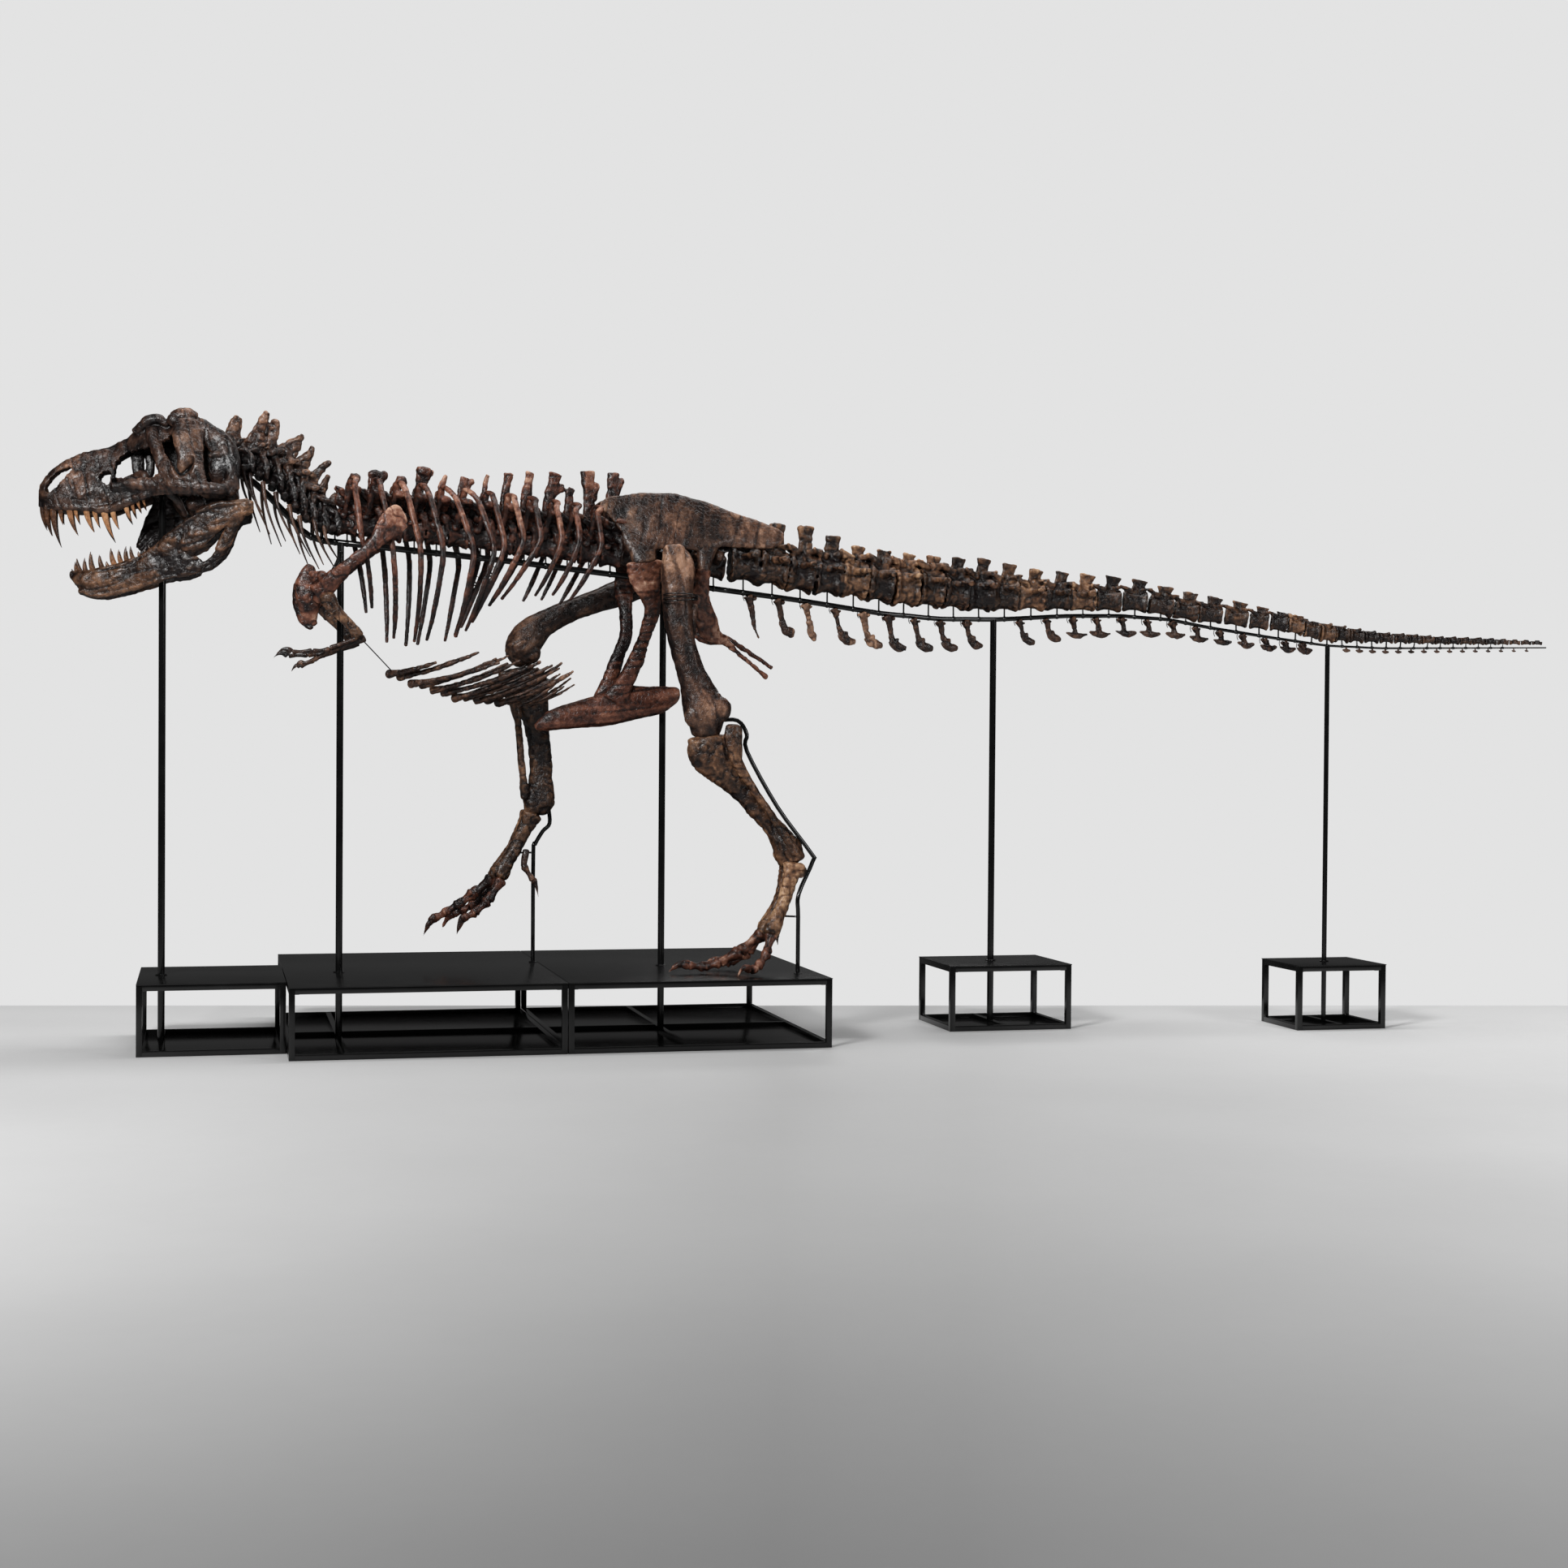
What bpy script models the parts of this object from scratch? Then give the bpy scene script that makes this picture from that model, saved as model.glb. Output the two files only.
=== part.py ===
"""Mounted tyrannosaur skeleton on its steel stand, life size, in metres.

Frame: the animal looks towards -X, its left side faces -Y, +Z is up and the floor is z = 0.
It is modelled with the mid-plane of trunk and skull at y = 0, the tail swinging a little to the
left, and the last step moves it so that the origin is the middle of its footprint.
Bones are lofts: oval rings set on a smooth path.  A ring is (x, y, z, half_up, half_side).
"""
import math

import bmesh
import bpy
from mathutils import Vector

# ---------------------------------------------------------------- driving sizes
GAP = 0.0003            # clearance kept where two pieces meet
TRIM = 0.0007           # clearance round a finished piece that trims its neighbour
PLATE_TOP = 0.49        # height of every platform of the stand
TUBE = 0.040            # square tube of the platform frames
PLATE = 0.006           # steel sheet on top of a platform
POLE_RADIUS = 0.024     # main upright poles
SLIM_POLE_RADIUS = 0.018
ROD_RADIUS = 0.015      # rods that carry the legs
POST_HALF = 0.006       # small posts between rail and vertebrae
FLAT = 0.02             # degrees under which neighbouring facets count as one
CRUMB = 2e-7            # volume of an offcut that is thrown away

PLATFORMS = (          # name, x from, x to, y from, y to
    ("head", -5.030, -4.046, -0.620, 0.610),
    ("main_front", -4.040, -2.172, -1.000, 1.500),
    ("main_rear", -2.166, -0.300, -1.000, 1.500),
    ("tail_front", 0.804, 1.762, -0.290, 0.495),
    ("tail_rear", 3.419, 4.149, -0.706, -0.090),
)
PLATE_LIP = 0.010       # how far the sheet stands out past the frame, front and back
FLOOR_SHEET = 0.012     # thickness of the panels in the platforms' floors
POLES = {
    "head": (-4.878, 0.0),
    "shoulder": (-3.660, 0.0),
    "hip": (-1.315, 0.105),
    "tail_front": (1.250, 0.098),
    "tail_rear": (3.790, -0.398),
}

PAINT = {}
BONE = (0.085, 0.055, 0.042, 1.0)
BONE_RED = (0.13, 0.065, 0.045, 1.0)
BONE_TAN = (0.22, 0.13, 0.075, 1.0)
STEEL = (0.012, 0.012, 0.013, 1.0)


# ---------------------------------------------------------------- small tools
def clear_scene():
    for thing in list(bpy.data.objects):
        bpy.data.objects.remove(thing, do_unlink=True)


def material(name, colour, roughness, metallic):
    made = bpy.data.materials.new(name)
    made.use_nodes = True
    shader = made.node_tree.nodes["Principled BSDF"]
    shader.inputs["Base Color"].default_value = colour
    shader.inputs["Roughness"].default_value = roughness
    shader.inputs["Metallic"].default_value = metallic
    return made


def profile(x, table):
    """Smooth value at x of a table of (x, value) rows."""
    if x <= table[0][0]:
        return table[0][1]
    for (xa, va), (xb, vb) in zip(table, table[1:]):
        if x <= xb:
            t = (x - xa) / (xb - xa)
            t = t * t * (3 - 2 * t) * 0.5 + t * 0.5
            return va + (vb - va) * t
    return table[-1][1]


def loft(rings, sides=6, across=(0, 1, 0), axis=None, up=None, grow=0.0, shape=None):
    """One closed body through oval rings (x, y, z, half_up, half_side).

    across is the direction of half_side; axis fixes the rings' normal, up their half_up.
    shape replaces the regular polygon by (up, side) corners in units of the half sizes.
    """
    places = [Vector(r[:3]) for r in rings]
    widen = 1.0 if shape else 0.5 + 0.5 / math.cos(math.pi / sides)
    corners = shape or [(math.cos(a), math.sin(a)) for a in
                        (2 * math.pi * (k + 0.5) / sides for k in range(sides))]
    mesh = bmesh.new()
    loops = []
    for i, row in enumerate(rings):
        ahead = places[min(i + 1, len(rings) - 1)] - places[max(i - 1, 0)]
        ahead = Vector(axis) if axis else ahead.normalized()
        side = Vector(across)
        if up:
            side = ahead.cross(Vector(up))
        side = (side - ahead * side.dot(ahead)).normalized()
        rise = side.cross(ahead).normalized()
        centre = places[i]
        if grow and i in (0, len(rings) - 1):
            centre = centre + ahead * (grow if i else -grow)
        half_up = (row[3] + grow) * widen
        half_side = (row[4] + grow) * widen
        loops.append([mesh.verts.new(centre + rise * (half_up * a) + side * (half_side * b))
                      for a, b in corners])
    skin(mesh, loops)
    return mesh


def skin(mesh, loops):
    """Close a stack of loops into one body."""
    count = len(loops[0])
    for low, high in zip(loops, loops[1:]):
        for k in range(count):
            j = (k + 1) % count
            mesh.faces.new((low[k], low[j], high[j]))
            mesh.faces.new((low[k], high[j], high[k]))
    mesh.faces.new(loops[0])
    mesh.faces.new(loops[-1])


def spike(base, tip, half_up, half_side, across=(0, 1, 0)):
    """A three-sided cone from its base to its tip."""
    ahead = (Vector(tip) - Vector(base)).normalized()
    side = Vector(across)
    side = (side - ahead * side.dot(ahead)).normalized()
    rise = side.cross(ahead)
    mesh = bmesh.new()
    ring = []
    for k in range(3):
        angle = 2 * math.pi * (k + 0.5) / 3
        ring.append(mesh.verts.new(Vector(base) + rise * (half_up * math.cos(angle))
                                   + side * (half_side * math.sin(angle))))
    top = mesh.verts.new(tip)
    for k in range(3):
        mesh.faces.new((ring[k], ring[(k + 1) % 3], top))
    mesh.faces.new(ring)
    return mesh


def tube(points, radius, sides=6, grow=0.0):
    return loft([(*p, radius, radius) for p in points], sides, grow=grow)


def block(x0, x1, y0, y1, z0, z1):
    mesh = bmesh.new()
    corners = [mesh.verts.new((x, y, z)) for x in (x0, x1) for y in (y0, y1) for z in (z0, z1)]
    for face in ((0, 1, 3, 2), (4, 6, 7, 5), (0, 4, 5, 1), (2, 3, 7, 6), (0, 2, 6, 4), (1, 5, 7, 3)):
        mesh.faces.new([corners[k] for k in face])
    return mesh


def prism(outline, y0, y1):
    """A straight-sided body over an outline in the XZ plane, from y0 to y1."""
    mesh = bmesh.new()
    near = [mesh.verts.new((x, y0, z)) for x, z in outline]
    far = [mesh.verts.new((x, y1, z)) for x, z in outline]
    count = len(outline)
    for k in range(count):
        j = (k + 1) % count
        mesh.faces.new((near[k], near[j], far[j], far[k]))
    mesh.faces.new(near)
    mesh.faces.new(far)
    return mesh


def mirrored(rings):
    return [(r[0], -r[1], *r[2:]) for r in rings]


def sided(rings, sign):
    """Rings are written for the left side, where y is negative."""
    return rings if sign < 0 else mirrored(rings)


def temporary(meshes, label):
    """One hidden object that holds several closed bodies, which may overlap."""
    whole = bpy.data.meshes.new(label)
    merged = bmesh.new()
    for mesh in meshes:
        bmesh.ops.recalc_face_normals(mesh, faces=mesh.faces)
        part = bpy.data.meshes.new("part")
        mesh.to_mesh(part)
        mesh.free()
        merged.from_mesh(part)
        bpy.data.meshes.remove(part)
    merged.to_mesh(whole)
    merged.free()
    holder = bpy.data.objects.new(label, whole)
    bpy.context.collection.objects.link(holder)
    return holder


def grown(piece):
    """A finished piece as a cutter, larger by the clearance all round."""
    mesh = bmesh.new()
    mesh.from_mesh(piece.data)
    mesh.normal_update()
    moves = [v.normal * (TRIM * v.calc_shell_factor()) for v in mesh.verts]
    for vert, move in zip(mesh.verts, moves):
        vert.co += move
    return mesh


def drop_crumbs(mesh):
    """Remove the offcuts that a cut left beside the piece."""
    waiting = set(mesh.verts)
    while waiting:
        island = {waiting.pop()}
        edge = list(island)
        while edge:
            vert = edge.pop()
            for link in vert.link_edges:
                other = link.other_vert(vert)
                if other not in island:
                    island.add(other)
                    edge.append(other)
        waiting -= island
        faces = {face for vert in island for face in vert.link_faces}
        volume = 0.0
        for face in faces:
            a, b, c = (v.co for v in face.verts)
            volume += a.dot(b.cross(c)) / 6
        if abs(volume) < CRUMB:
            bmesh.ops.delete(mesh, geom=list(island), context="VERTS")


def boolean(base, kind, tool):
    change = base.modifiers.new(kind.lower(), "BOOLEAN")
    change.operation = kind
    change.solver = "EXACT"
    change.use_self = True
    change.object = tool


def solid(name, bodies, paint, cuts=(), hollow=(), trims=()):
    """A named piece: the first body less the hollows, joined with the others, less the cuts.

    trims are finished pieces that this one rests on; it ends just short of each.
    """
    base = temporary(bodies[:1], name)
    steps = [("DIFFERENCE", hollow), ("UNION", bodies[1:]), ("DIFFERENCE", cuts)]
    steps += [("DIFFERENCE", [grown(piece)]) for piece in trims]
    tools = []
    for kind, group in steps:
        if group:
            tools.append(temporary(list(group), name + "_tool"))
            boolean(base, kind, tools[-1])
    for piece in trims:
        boolean(base, "DIFFERENCE", piece)
    graph = bpy.context.evaluated_depsgraph_get()
    made = bpy.data.meshes.new_from_object(base.evaluated_get(graph))
    for thing in (base, *tools):
        bpy.data.objects.remove(thing, do_unlink=True)
    made.name = name
    made.materials.clear()
    made.materials.append(paint)
    clean = bmesh.new()
    clean.from_mesh(made)
    bmesh.ops.remove_doubles(clean, verts=clean.verts, dist=1e-5)
    bmesh.ops.dissolve_limit(clean, angle_limit=math.radians(FLAT), verts=clean.verts, edges=clean.edges)
    bmesh.ops.dissolve_degenerate(clean, dist=1e-5, edges=clean.edges)
    bmesh.ops.triangulate(clean, faces=clean.faces)
    drop_crumbs(clean)
    clean.to_mesh(made)
    clean.free()
    made.shade_smooth()
    made.set_sharp_from_angle(angle=math.radians(35))
    piece = bpy.data.objects.new(name, made)
    bpy.context.collection.objects.link(piece)
    return piece


# ---------------------------------------------------------------- skull and lower jaw
SKULL_RINGS = (        # x, z low, z high, half width low, half width high
    (-5.698, 3.765, 3.845, 0.030, 0.022),
    (-5.655, 3.690, 3.930, 0.078, 0.045),
    (-5.560, 3.684, 4.020, 0.112, 0.056),
    (-5.280, 3.690, 4.140, 0.158, 0.068),
    (-5.120, 3.722, 4.205, 0.190, 0.085),
    (-5.010, 3.768, 4.325, 0.225, 0.115),
    (-4.850, 3.806, 4.358, 0.305, 0.160),
    (-4.815, 3.808, 4.424, 0.325, 0.180),
    (-4.680, 3.808, 4.432, 0.368, 0.200),
    (-4.440, 3.835, 4.225, 0.370, 0.180),
    (-4.375, 3.905, 4.165, 0.300, 0.150),
)
SKULL_CAVITY = (       # the same, for the hollow that the windows open into
    (-5.205, 3.700, 4.125, 0.134, 0.056), (-5.015, 3.768, 4.280, 0.186, 0.090),
    (-4.855, 3.806, 4.312, 0.264, 0.135), (-4.635, 3.810, 4.352, 0.328, 0.160),
)
NARIS = ((-5.662, 3.835), (-5.625, 3.925), (-5.550, 3.975), (-5.475, 4.005), (-5.545, 3.915),
         (-5.600, 3.850))
MAXILLARY_FENESTRA = ((-5.285, 3.955), (-5.255, 3.890), (-5.215, 3.895), (-5.225, 3.975))
PROMAXILLARY_FENESTRA = ((-5.195, 3.925), (-5.190, 3.870), (-5.170, 3.875), (-5.172, 3.925))
ANTORBITAL_FENESTRA = ((-5.185, 3.940), (-5.170, 4.055), (-5.080, 4.115), (-4.975, 4.125),
                       (-4.895, 3.925))
ORBIT = ((-4.868, 4.165), (-4.815, 4.200), (-4.770, 4.150), (-4.800, 4.060), (-4.780, 3.940),
         (-4.830, 3.960))
TEMPORAL_FENESTRA = ((-4.622, 4.225), (-4.490, 4.150), (-4.555, 4.060), (-4.480, 3.990),
                     (-4.500, 3.890), (-4.600, 3.900))
WINDOW_REACH = 0.6      # half length of the body that cuts a window through both sides
BRAINCASE = (-4.620, -4.400, -0.105, 0.105, 3.960, 4.300)
SYMPHYSIS = (-5.455, -5.380, -0.040, 0.040, 3.165, 3.235)
UPPER_ROW = ((-5.690, 0.030), (-5.640, 0.062), (-5.560, 0.092), (-5.400, 0.120), (-5.200, 0.148),
             (-5.000, 0.185))
UPPER_TEETH = (        # root x, length below the jaw edge
    (-5.665, 0.155), (-5.622, 0.225), (-5.570, 0.120), (-5.505, 0.170), (-5.455, 0.085),
    (-5.392, 0.155), (-5.338, 0.105), (-5.272, 0.190), (-5.215, 0.125), (-5.130, 0.095),
    (-5.078, 0.060),
)
TOOTH_LEAN = 0.22       # how far back a tooth's tip lies, over its length
LOWER_EDGE = ((-5.470, 3.245), (-5.310, 3.275), (-5.120, 3.350), (-4.950, 3.430))
LOWER_ROW = ((-5.475, 0.022), (-5.420, 0.058), (-5.320, 0.088), (-5.120, 0.128), (-4.950, 0.165))
LOWER_TEETH = (
    (-5.462, 0.060), (-5.432, 0.105), (-5.388, 0.125), (-5.338, 0.145), (-5.290, 0.110),
    (-5.245, 0.125), (-5.200, 0.135), (-5.152, 0.110), (-5.108, 0.095), (-5.062, 0.075),
    (-5.020, 0.050),
)


def skull_body(rings, drop=0.0):
    """Closed body over eight-sided sections that are broad below and narrow above."""
    mesh = bmesh.new()
    loops = []
    for x, low, high, broad, narrow in rings:
        low -= drop
        tall = high - low
        half = ((narrow * 0.62, high), (narrow * 1.08, high - tall * 0.13),
                (broad, low + tall * 0.36), (broad * 0.93, low))
        ring = [(-y, z) for y, z in half] + [(y, z) for y, z in reversed(half)]
        loops.append([mesh.verts.new((x, y, z)) for y, z in ring])
    skin(mesh, loops)
    return mesh


def tooth(x, y, z, length, down, size):
    """A leaning cone; down is -1 for an upper tooth and +1 for a lower one."""
    tip = (x + TOOTH_LEAN * length, y, z + down * length)
    return spike((x, y, z - down * 0.020), tip, size, size * 0.8)


def tooth_row(row, teeth, edge, down):
    bodies = []
    for x, length in teeth:
        for sign in (-1, 1):
            size = 0.012 + 0.035 * length
            bodies.append(tooth(x, sign * profile(x, row), profile(x, edge), length, down, size))
    return bodies


def quadrate(sign, grow=0.0):
    return loft(sided([(-4.470, -0.320, 3.990, 0.050, 0.040), (-4.415, -0.325, 3.795, 0.042, 0.055)],
                      sign), grow=grow)


ECTOPTERYGOID = [(-4.860, -0.275, 3.880), (-4.730, -0.170, 3.690)]


def condyle(grow=0.0):
    return loft([(-4.430, 0, 4.090, 0.050, 0.050), (-4.345, 0, 4.090, 0.034, 0.034)], grow=grow)


def skull():
    edge = [(r[0], r[1]) for r in SKULL_RINGS]
    bodies = [skull_body(SKULL_RINGS)]
    for sign in (-1, 1):
        root, tip = sided(ECTOPTERYGOID, sign)
        bodies += [quadrate(sign), spike(root, tip, 0.040, 0.030)]
    bodies.append(block(*BRAINCASE))
    bodies.append(condyle())
    bodies += tooth_row(UPPER_ROW, UPPER_TEETH, edge, -1)
    holes = [skull_body(SKULL_CAVITY, drop=0.060)]
    for outline in (NARIS, MAXILLARY_FENESTRA, PROMAXILLARY_FENESTRA, ANTORBITAL_FENESTRA, ORBIT,
                    TEMPORAL_FENESTRA):
        holes.append(prism(outline, -WINDOW_REACH, WINDOW_REACH))
    cuts = [rail_tube(RAIL[0][0], -4.20, GAP), pole_body("head", GAP)]
    return solid("skull", bodies, PAINT["dark"], cuts, holes)


def lower_jaw():
    bodies = []
    for sign in (-1, 1):
        bodies += [
            loft(sided([(-5.475, -0.022, 3.245, 0.034, 0.022), (-5.400, -0.062, 3.205, 0.078, 0.036),
                        (-5.150, -0.120, 3.232, 0.112, 0.040), (-4.980, -0.165, 3.295, 0.112, 0.034),
                        (-4.745, -0.240, 3.430, 0.180, 0.024), (-4.660, -0.265, 3.330, 0.060, 0.022)],
                       sign), sides=6, axis=(1, 0, 0)),                        # dentary
            loft(sided([(-4.830, -0.215, 3.500, 0.060, 0.022), (-4.560, -0.295, 3.650, 0.115, 0.026),
                        (-4.430, -0.325, 3.690, 0.110, 0.032), (-4.262, -0.345, 3.745, 0.040, 0.040)],
                       sign), sides=6, axis=(1, 0, 0)),                        # surangular
            loft(sided([(-4.720, -0.248, 3.300, 0.035, 0.020), (-4.590, -0.280, 3.335, 0.035, 0.020),
                        (-4.430, -0.322, 3.530, 0.045, 0.026), (-4.370, -0.335, 3.680, 0.045, 0.030)],
                       sign), sides=4),                                       # angular
        ]
    bodies.append(block(*SYMPHYSIS))
    bodies += tooth_row(LOWER_ROW, LOWER_TEETH, LOWER_EDGE, 1)
    return solid("lower_jaw", bodies, PAINT["tan"], [quadrate(-1, GAP), quadrate(1, GAP)])


# ---------------------------------------------------------------- rail, poles and platforms
RAIL = (               # x, z of the steel tube under the backbone
    (-4.460, 4.005), (-4.400, 3.995), (-4.330, 3.978), (-4.260, 3.940), (-4.180, 3.870),
    (-4.090, 3.780), (-4.010, 3.695), (-3.940, 3.622), (-3.870, 3.573), (-3.780, 3.546),
    (-3.690, 3.538), (-2.510, 3.440), (-1.620, 3.350), (-1.010, 3.280), (-0.330, 3.205),
    (0.320, 3.120), (0.810, 3.090), (1.280, 3.098), (1.820, 3.132), (2.240, 3.138),
    (2.600, 3.112), (2.940, 3.050), (3.420, 2.972), (3.790, 2.922), (4.200, 2.905),
    (4.800, 2.912), (5.450, 2.920),
)
SWING = ((0.300, 0.0), (1.250, 0.098), (1.900, 0.040), (2.700, -0.120), (3.790, -0.398),
         (4.600, -0.590), (5.450, -0.760))              # x, y of rail and tail
RAIL_RADIUS = ((-4.4, 0.023), (-1.5, 0.021), (1.2, 0.018), (2.9, 0.013), (4.2, 0.008), (5.4, 0.005))
RAIL_NAMES = ("neck", "trunk", "tail_front", "tail_rear")
RAIL_JOINTS = (-4.46, -3.680, -0.860, 2.340, 5.450)
HIP_BAR = (-1.275, 3.392, 0.300)                        # x, z and half length of the hip bar
RAIL_PATH = [(x, profile(x, SWING), z) for x, z in RAIL]


def rail_point(x):
    """Point of the rail's centre line at x."""
    for one, two in zip(RAIL_PATH, RAIL_PATH[1:]):
        if x <= two[0]:
            break
    share = (x - one[0]) / (two[0] - one[0])
    return tuple(a + (b - a) * share for a, b in zip(one, two))


def rail_z(x):
    return rail_point(x)[2]


def rail_tube(start, end, grow=0.0):
    """The rail between two x values."""
    marks = [start, *(x for x, _, _ in RAIL_PATH if start < x < end), end]
    rings = []
    for x in marks:
        radius = profile(x, RAIL_RADIUS)
        rings.append((*rail_point(x), radius, radius))
    return loft(rings, sides=6, grow=grow)


CLAMP_HALF = 0.030                                      # half length of the clamp on the hip pole
HEAD_POLE_TOP = 4.325                                   # ends in a socket in the skull's roof


def pole_top(name):
    x, _ = POLES[name]
    return HEAD_POLE_TOP if name == "head" else rail_z(x)


def pole_body(name, grow=0.0):
    x, y = POLES[name]
    radius = SLIM_POLE_RADIUS if name == "tail_rear" else POLE_RADIUS
    return tube([(x, y, PLATE_TOP + GAP), (x, y, pole_top(name))], radius, 8, grow=grow)


def pole(name, touched):
    """An upright pole, trimmed where the pieces that it carries rest on it."""
    x, _ = POLES[name]
    bodies = [pole_body(name)]
    if name == "hip":
        z = rail_z(x)
        bodies.append(block(x - CLAMP_HALF, x + CLAMP_HALF, 0.0, 0.125, z - 0.045, z - 0.004))
    if name == "shoulder":
        for sign in (-1, 1):
            bodies.append(shoulder_bracket(sign))
    return solid("stand_pole_" + name, bodies, PAINT["steel"], trims=touched)


def platform(name, x0, x1, y0, y1):
    """A table frame of square tube with a sheet top, a panelled floor and a pole's foot."""
    top = PLATE_TOP
    inner = (x0 + TUBE, x1 - TUBE, y0 + TUBE, y1 - TUBE)
    feet = [(x, y) for x, y in POLES.values() if x0 < x < x1]
    split_x = feet[0][0] if feet else 0.5 * (x0 + x1)
    split_y = 0.5 * (y0 + y1)
    half = TUBE / 2
    big = x1 - x0 > 1.5
    bays = [(inner[0], split_x - half), (split_x + half, inner[1])]
    lanes = [(inner[2], split_y - half), (split_y + half, inner[3])] if big else [inner[2:]]
    holes = [block(x0 - 1, x1 + 1, y0 + TUBE, y1 - TUBE, TUBE, top - TUBE),
             block(x0 + TUBE, x1 - TUBE, y0 - 1, y1 + 1, TUBE, top - TUBE)]
    for xa, xb in bays:
        for ya, yb in lanes:
            holes.append(block(xa, xb, ya, yb, FLOOR_SHEET, top - PLATE))
    bodies = [block(x0, x1, y0, y1, 0.0, top - 0.003),
              block(x0, x1, y0 - PLATE_LIP, y1 + PLATE_LIP, top - PLATE, top)]
    for x, y in feet:
        bodies.append(tube([(x, y, 0.020), (x, y, top - 0.002)], POLE_RADIUS, 6))
    if name == "main_rear":
        x, y = LEG_ROD_FEET["left"]
        bodies.append(tube([(x, y, 0.006), (x, y, top - 0.002)], ROD_RADIUS, 6))
    return solid("stand_base_" + name, bodies, PAINT["steel"], (), holes)


# ---------------------------------------------------------------- backbone
NECK = (               # centre x, centre z, spine tip x, spine tip z
    (-4.300, 4.085, -4.372, 4.420), (-4.195, 4.040, -4.175, 4.445), (-4.095, 3.968, -4.080, 4.385),
    (-4.008, 3.890, -3.925, 4.300), (-3.935, 3.812, -3.855, 4.205), (-3.865, 3.745, -3.750, 4.110),
    (-3.785, 3.700, -3.715, 4.020), (-3.700, 3.680, -3.690, 3.925),
)
NECK_FRONT_COUNT = 4
DORSALS = (-3.615, -1.730, 13)          # first x, last x, how many
SACRALS = (-1.580, -0.960, 5)
DORSAL_CENTRE = 0.142                   # centre of a centrum above the rail's centre line
SPINE_TOP = ((-3.60, 4.045), (-3.10, 4.090), (-2.90, 4.050), (-2.00, 4.100), (-1.70, 4.120))
CENTRE_Z = ((-0.733, 3.450), (-0.070, 3.370), (0.527, 3.318), (1.100, 3.280), (1.735, 3.262),
            (2.340, 3.245), (2.900, 3.150), (3.405, 3.085), (3.790, 3.008), (4.200, 2.978),
            (4.700, 2.962), (5.450, 2.952))
CENTRUM_HIGH = ((-0.733, 0.132), (0.527, 0.145), (1.100, 0.128), (1.735, 0.090), (2.340, 0.078),
                (2.900, 0.062), (3.405, 0.060), (3.790, 0.052), (4.200, 0.030), (4.700, 0.022),
                (5.450, 0.010))          # half heights
TAIL_TOP = ((-0.733, 3.700), (-0.430, 3.775), (-0.250, 3.745), (0.170, 3.606), (0.700, 3.560),
            (1.170, 3.560), (1.550, 3.485), (2.230, 3.440), (2.760, 3.325), (3.120, 3.255),
            (3.500, 3.165), (3.850, 3.050), (4.480, 3.000), (5.150, 2.962))
PITCH = ((-0.70, 0.222), (0.20, 0.198), (1.20, 0.210), (2.30, 0.196), (3.10, 0.188), (3.40, 0.130),
         (3.80, 0.115), (4.60, 0.100), (5.40, 0.085))
WAIST = 0.84                            # a centrum's waist over its ends
DISC = 0.004                            # a length of backbone starts this far inside the one before
TAIL_START = -0.735
LAST_POST = 5.200                       # the last post stands before here
SMALL_TAIL = 3.700                      # vertebrae past here are low knobs
LAST_WINGS = 2.000                      # vertebrae past here have no side processes
WING = 0.034                            # half height of a side process at its root
WING_SWEEP = 0.015                      # how far back and up its end lies
TAIL_ENDS = (0.630, 2.040, 3.700, 5.450)


def make_vertebra(at, ahead, pitch, high, wide, top, **more):
    """The sizes of one vertebra, as the functions below use them."""
    return dict(at=Vector(at), ahead=Vector(ahead).normalized(), pitch=pitch, high=high, wide=wide,
                top=Vector(top), spine=more["spine"], thick=more["thick"],
                reach=more.get("reach", 0.0), split=more.get("split", False))


def column(vertebrae, grow=0.0, waists=True, side=0):
    """The row of centra as one body: wide at each disc and narrow at each waist.

    side is 0 for the whole row, or the sign of y for the half that one side of the trunk keeps.
    """
    rings = []
    for k, v in enumerate(vertebrae):
        half = v["ahead"] * (v["pitch"] / 2)
        if k == 0:
            rings.append((*(v["at"] - half - v["ahead"] * DISC), v["high"], v["wide"]))
        else:
            before = vertebrae[k - 1]
            rings.append((*before["at"].lerp(v["at"], 0.5), 0.5 * (before["high"] + v["high"]),
                          0.5 * (before["wide"] + v["wide"])))
        if waists:
            rings.append((*v["at"], v["high"] * WAIST, v["wide"] * WAIST))
    last = vertebrae[-1]
    rings.append((*(last["at"] + last["ahead"] * (last["pitch"] / 2)), last["high"], last["wide"]))
    if not side:
        return loft(rings, sides=6, grow=grow)
    rings = [(x, side * GAP / 2, z, high, wide) for x, _, z, high, wide in rings]
    return loft(rings, shape=half_shape(side, 0.5), grow=grow)


def half_shape(side, upper):
    """Corners of a section whose flat inner face lies on the mid-plane."""
    return [(1, 0), (upper, side), (-upper, side), (-1, 0)]


def processes(v, side=0):
    """Arch with spine, and side processes, of one vertebra."""
    at, top = v["at"], v["top"]
    base = at.lerp(top, 0.12)
    spine = [(*base, v["pitch"] * 0.34, v["wide"] * 0.45), (*top, v["spine"] * 0.60, v["thick"] * 1.2)]
    if side:
        spine = [(x, side * GAP / 2, z, high, wide) for x, _, z, high, wide in spine]
        bodies = [loft(spine, shape=half_shape(side, 1.0))]
    else:
        bodies = [loft(spine, sides=4)]
    if v["reach"]:
        x, y, z = at + Vector((WING_SWEEP, 0, v["high"] * 0.55))
        root = (x, y, z, WING, v["spine"] * 0.42)
        ends = [(x + WING_SWEEP, y + side * v["reach"], z + WING_SWEEP, WING * 0.62, v["spine"] * 0.26)
                for side in (-1, 1)]
        bodies.append(loft([ends[0], root, ends[1]], sides=3, across=(1, 0, 0)))
    return bodies


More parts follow.
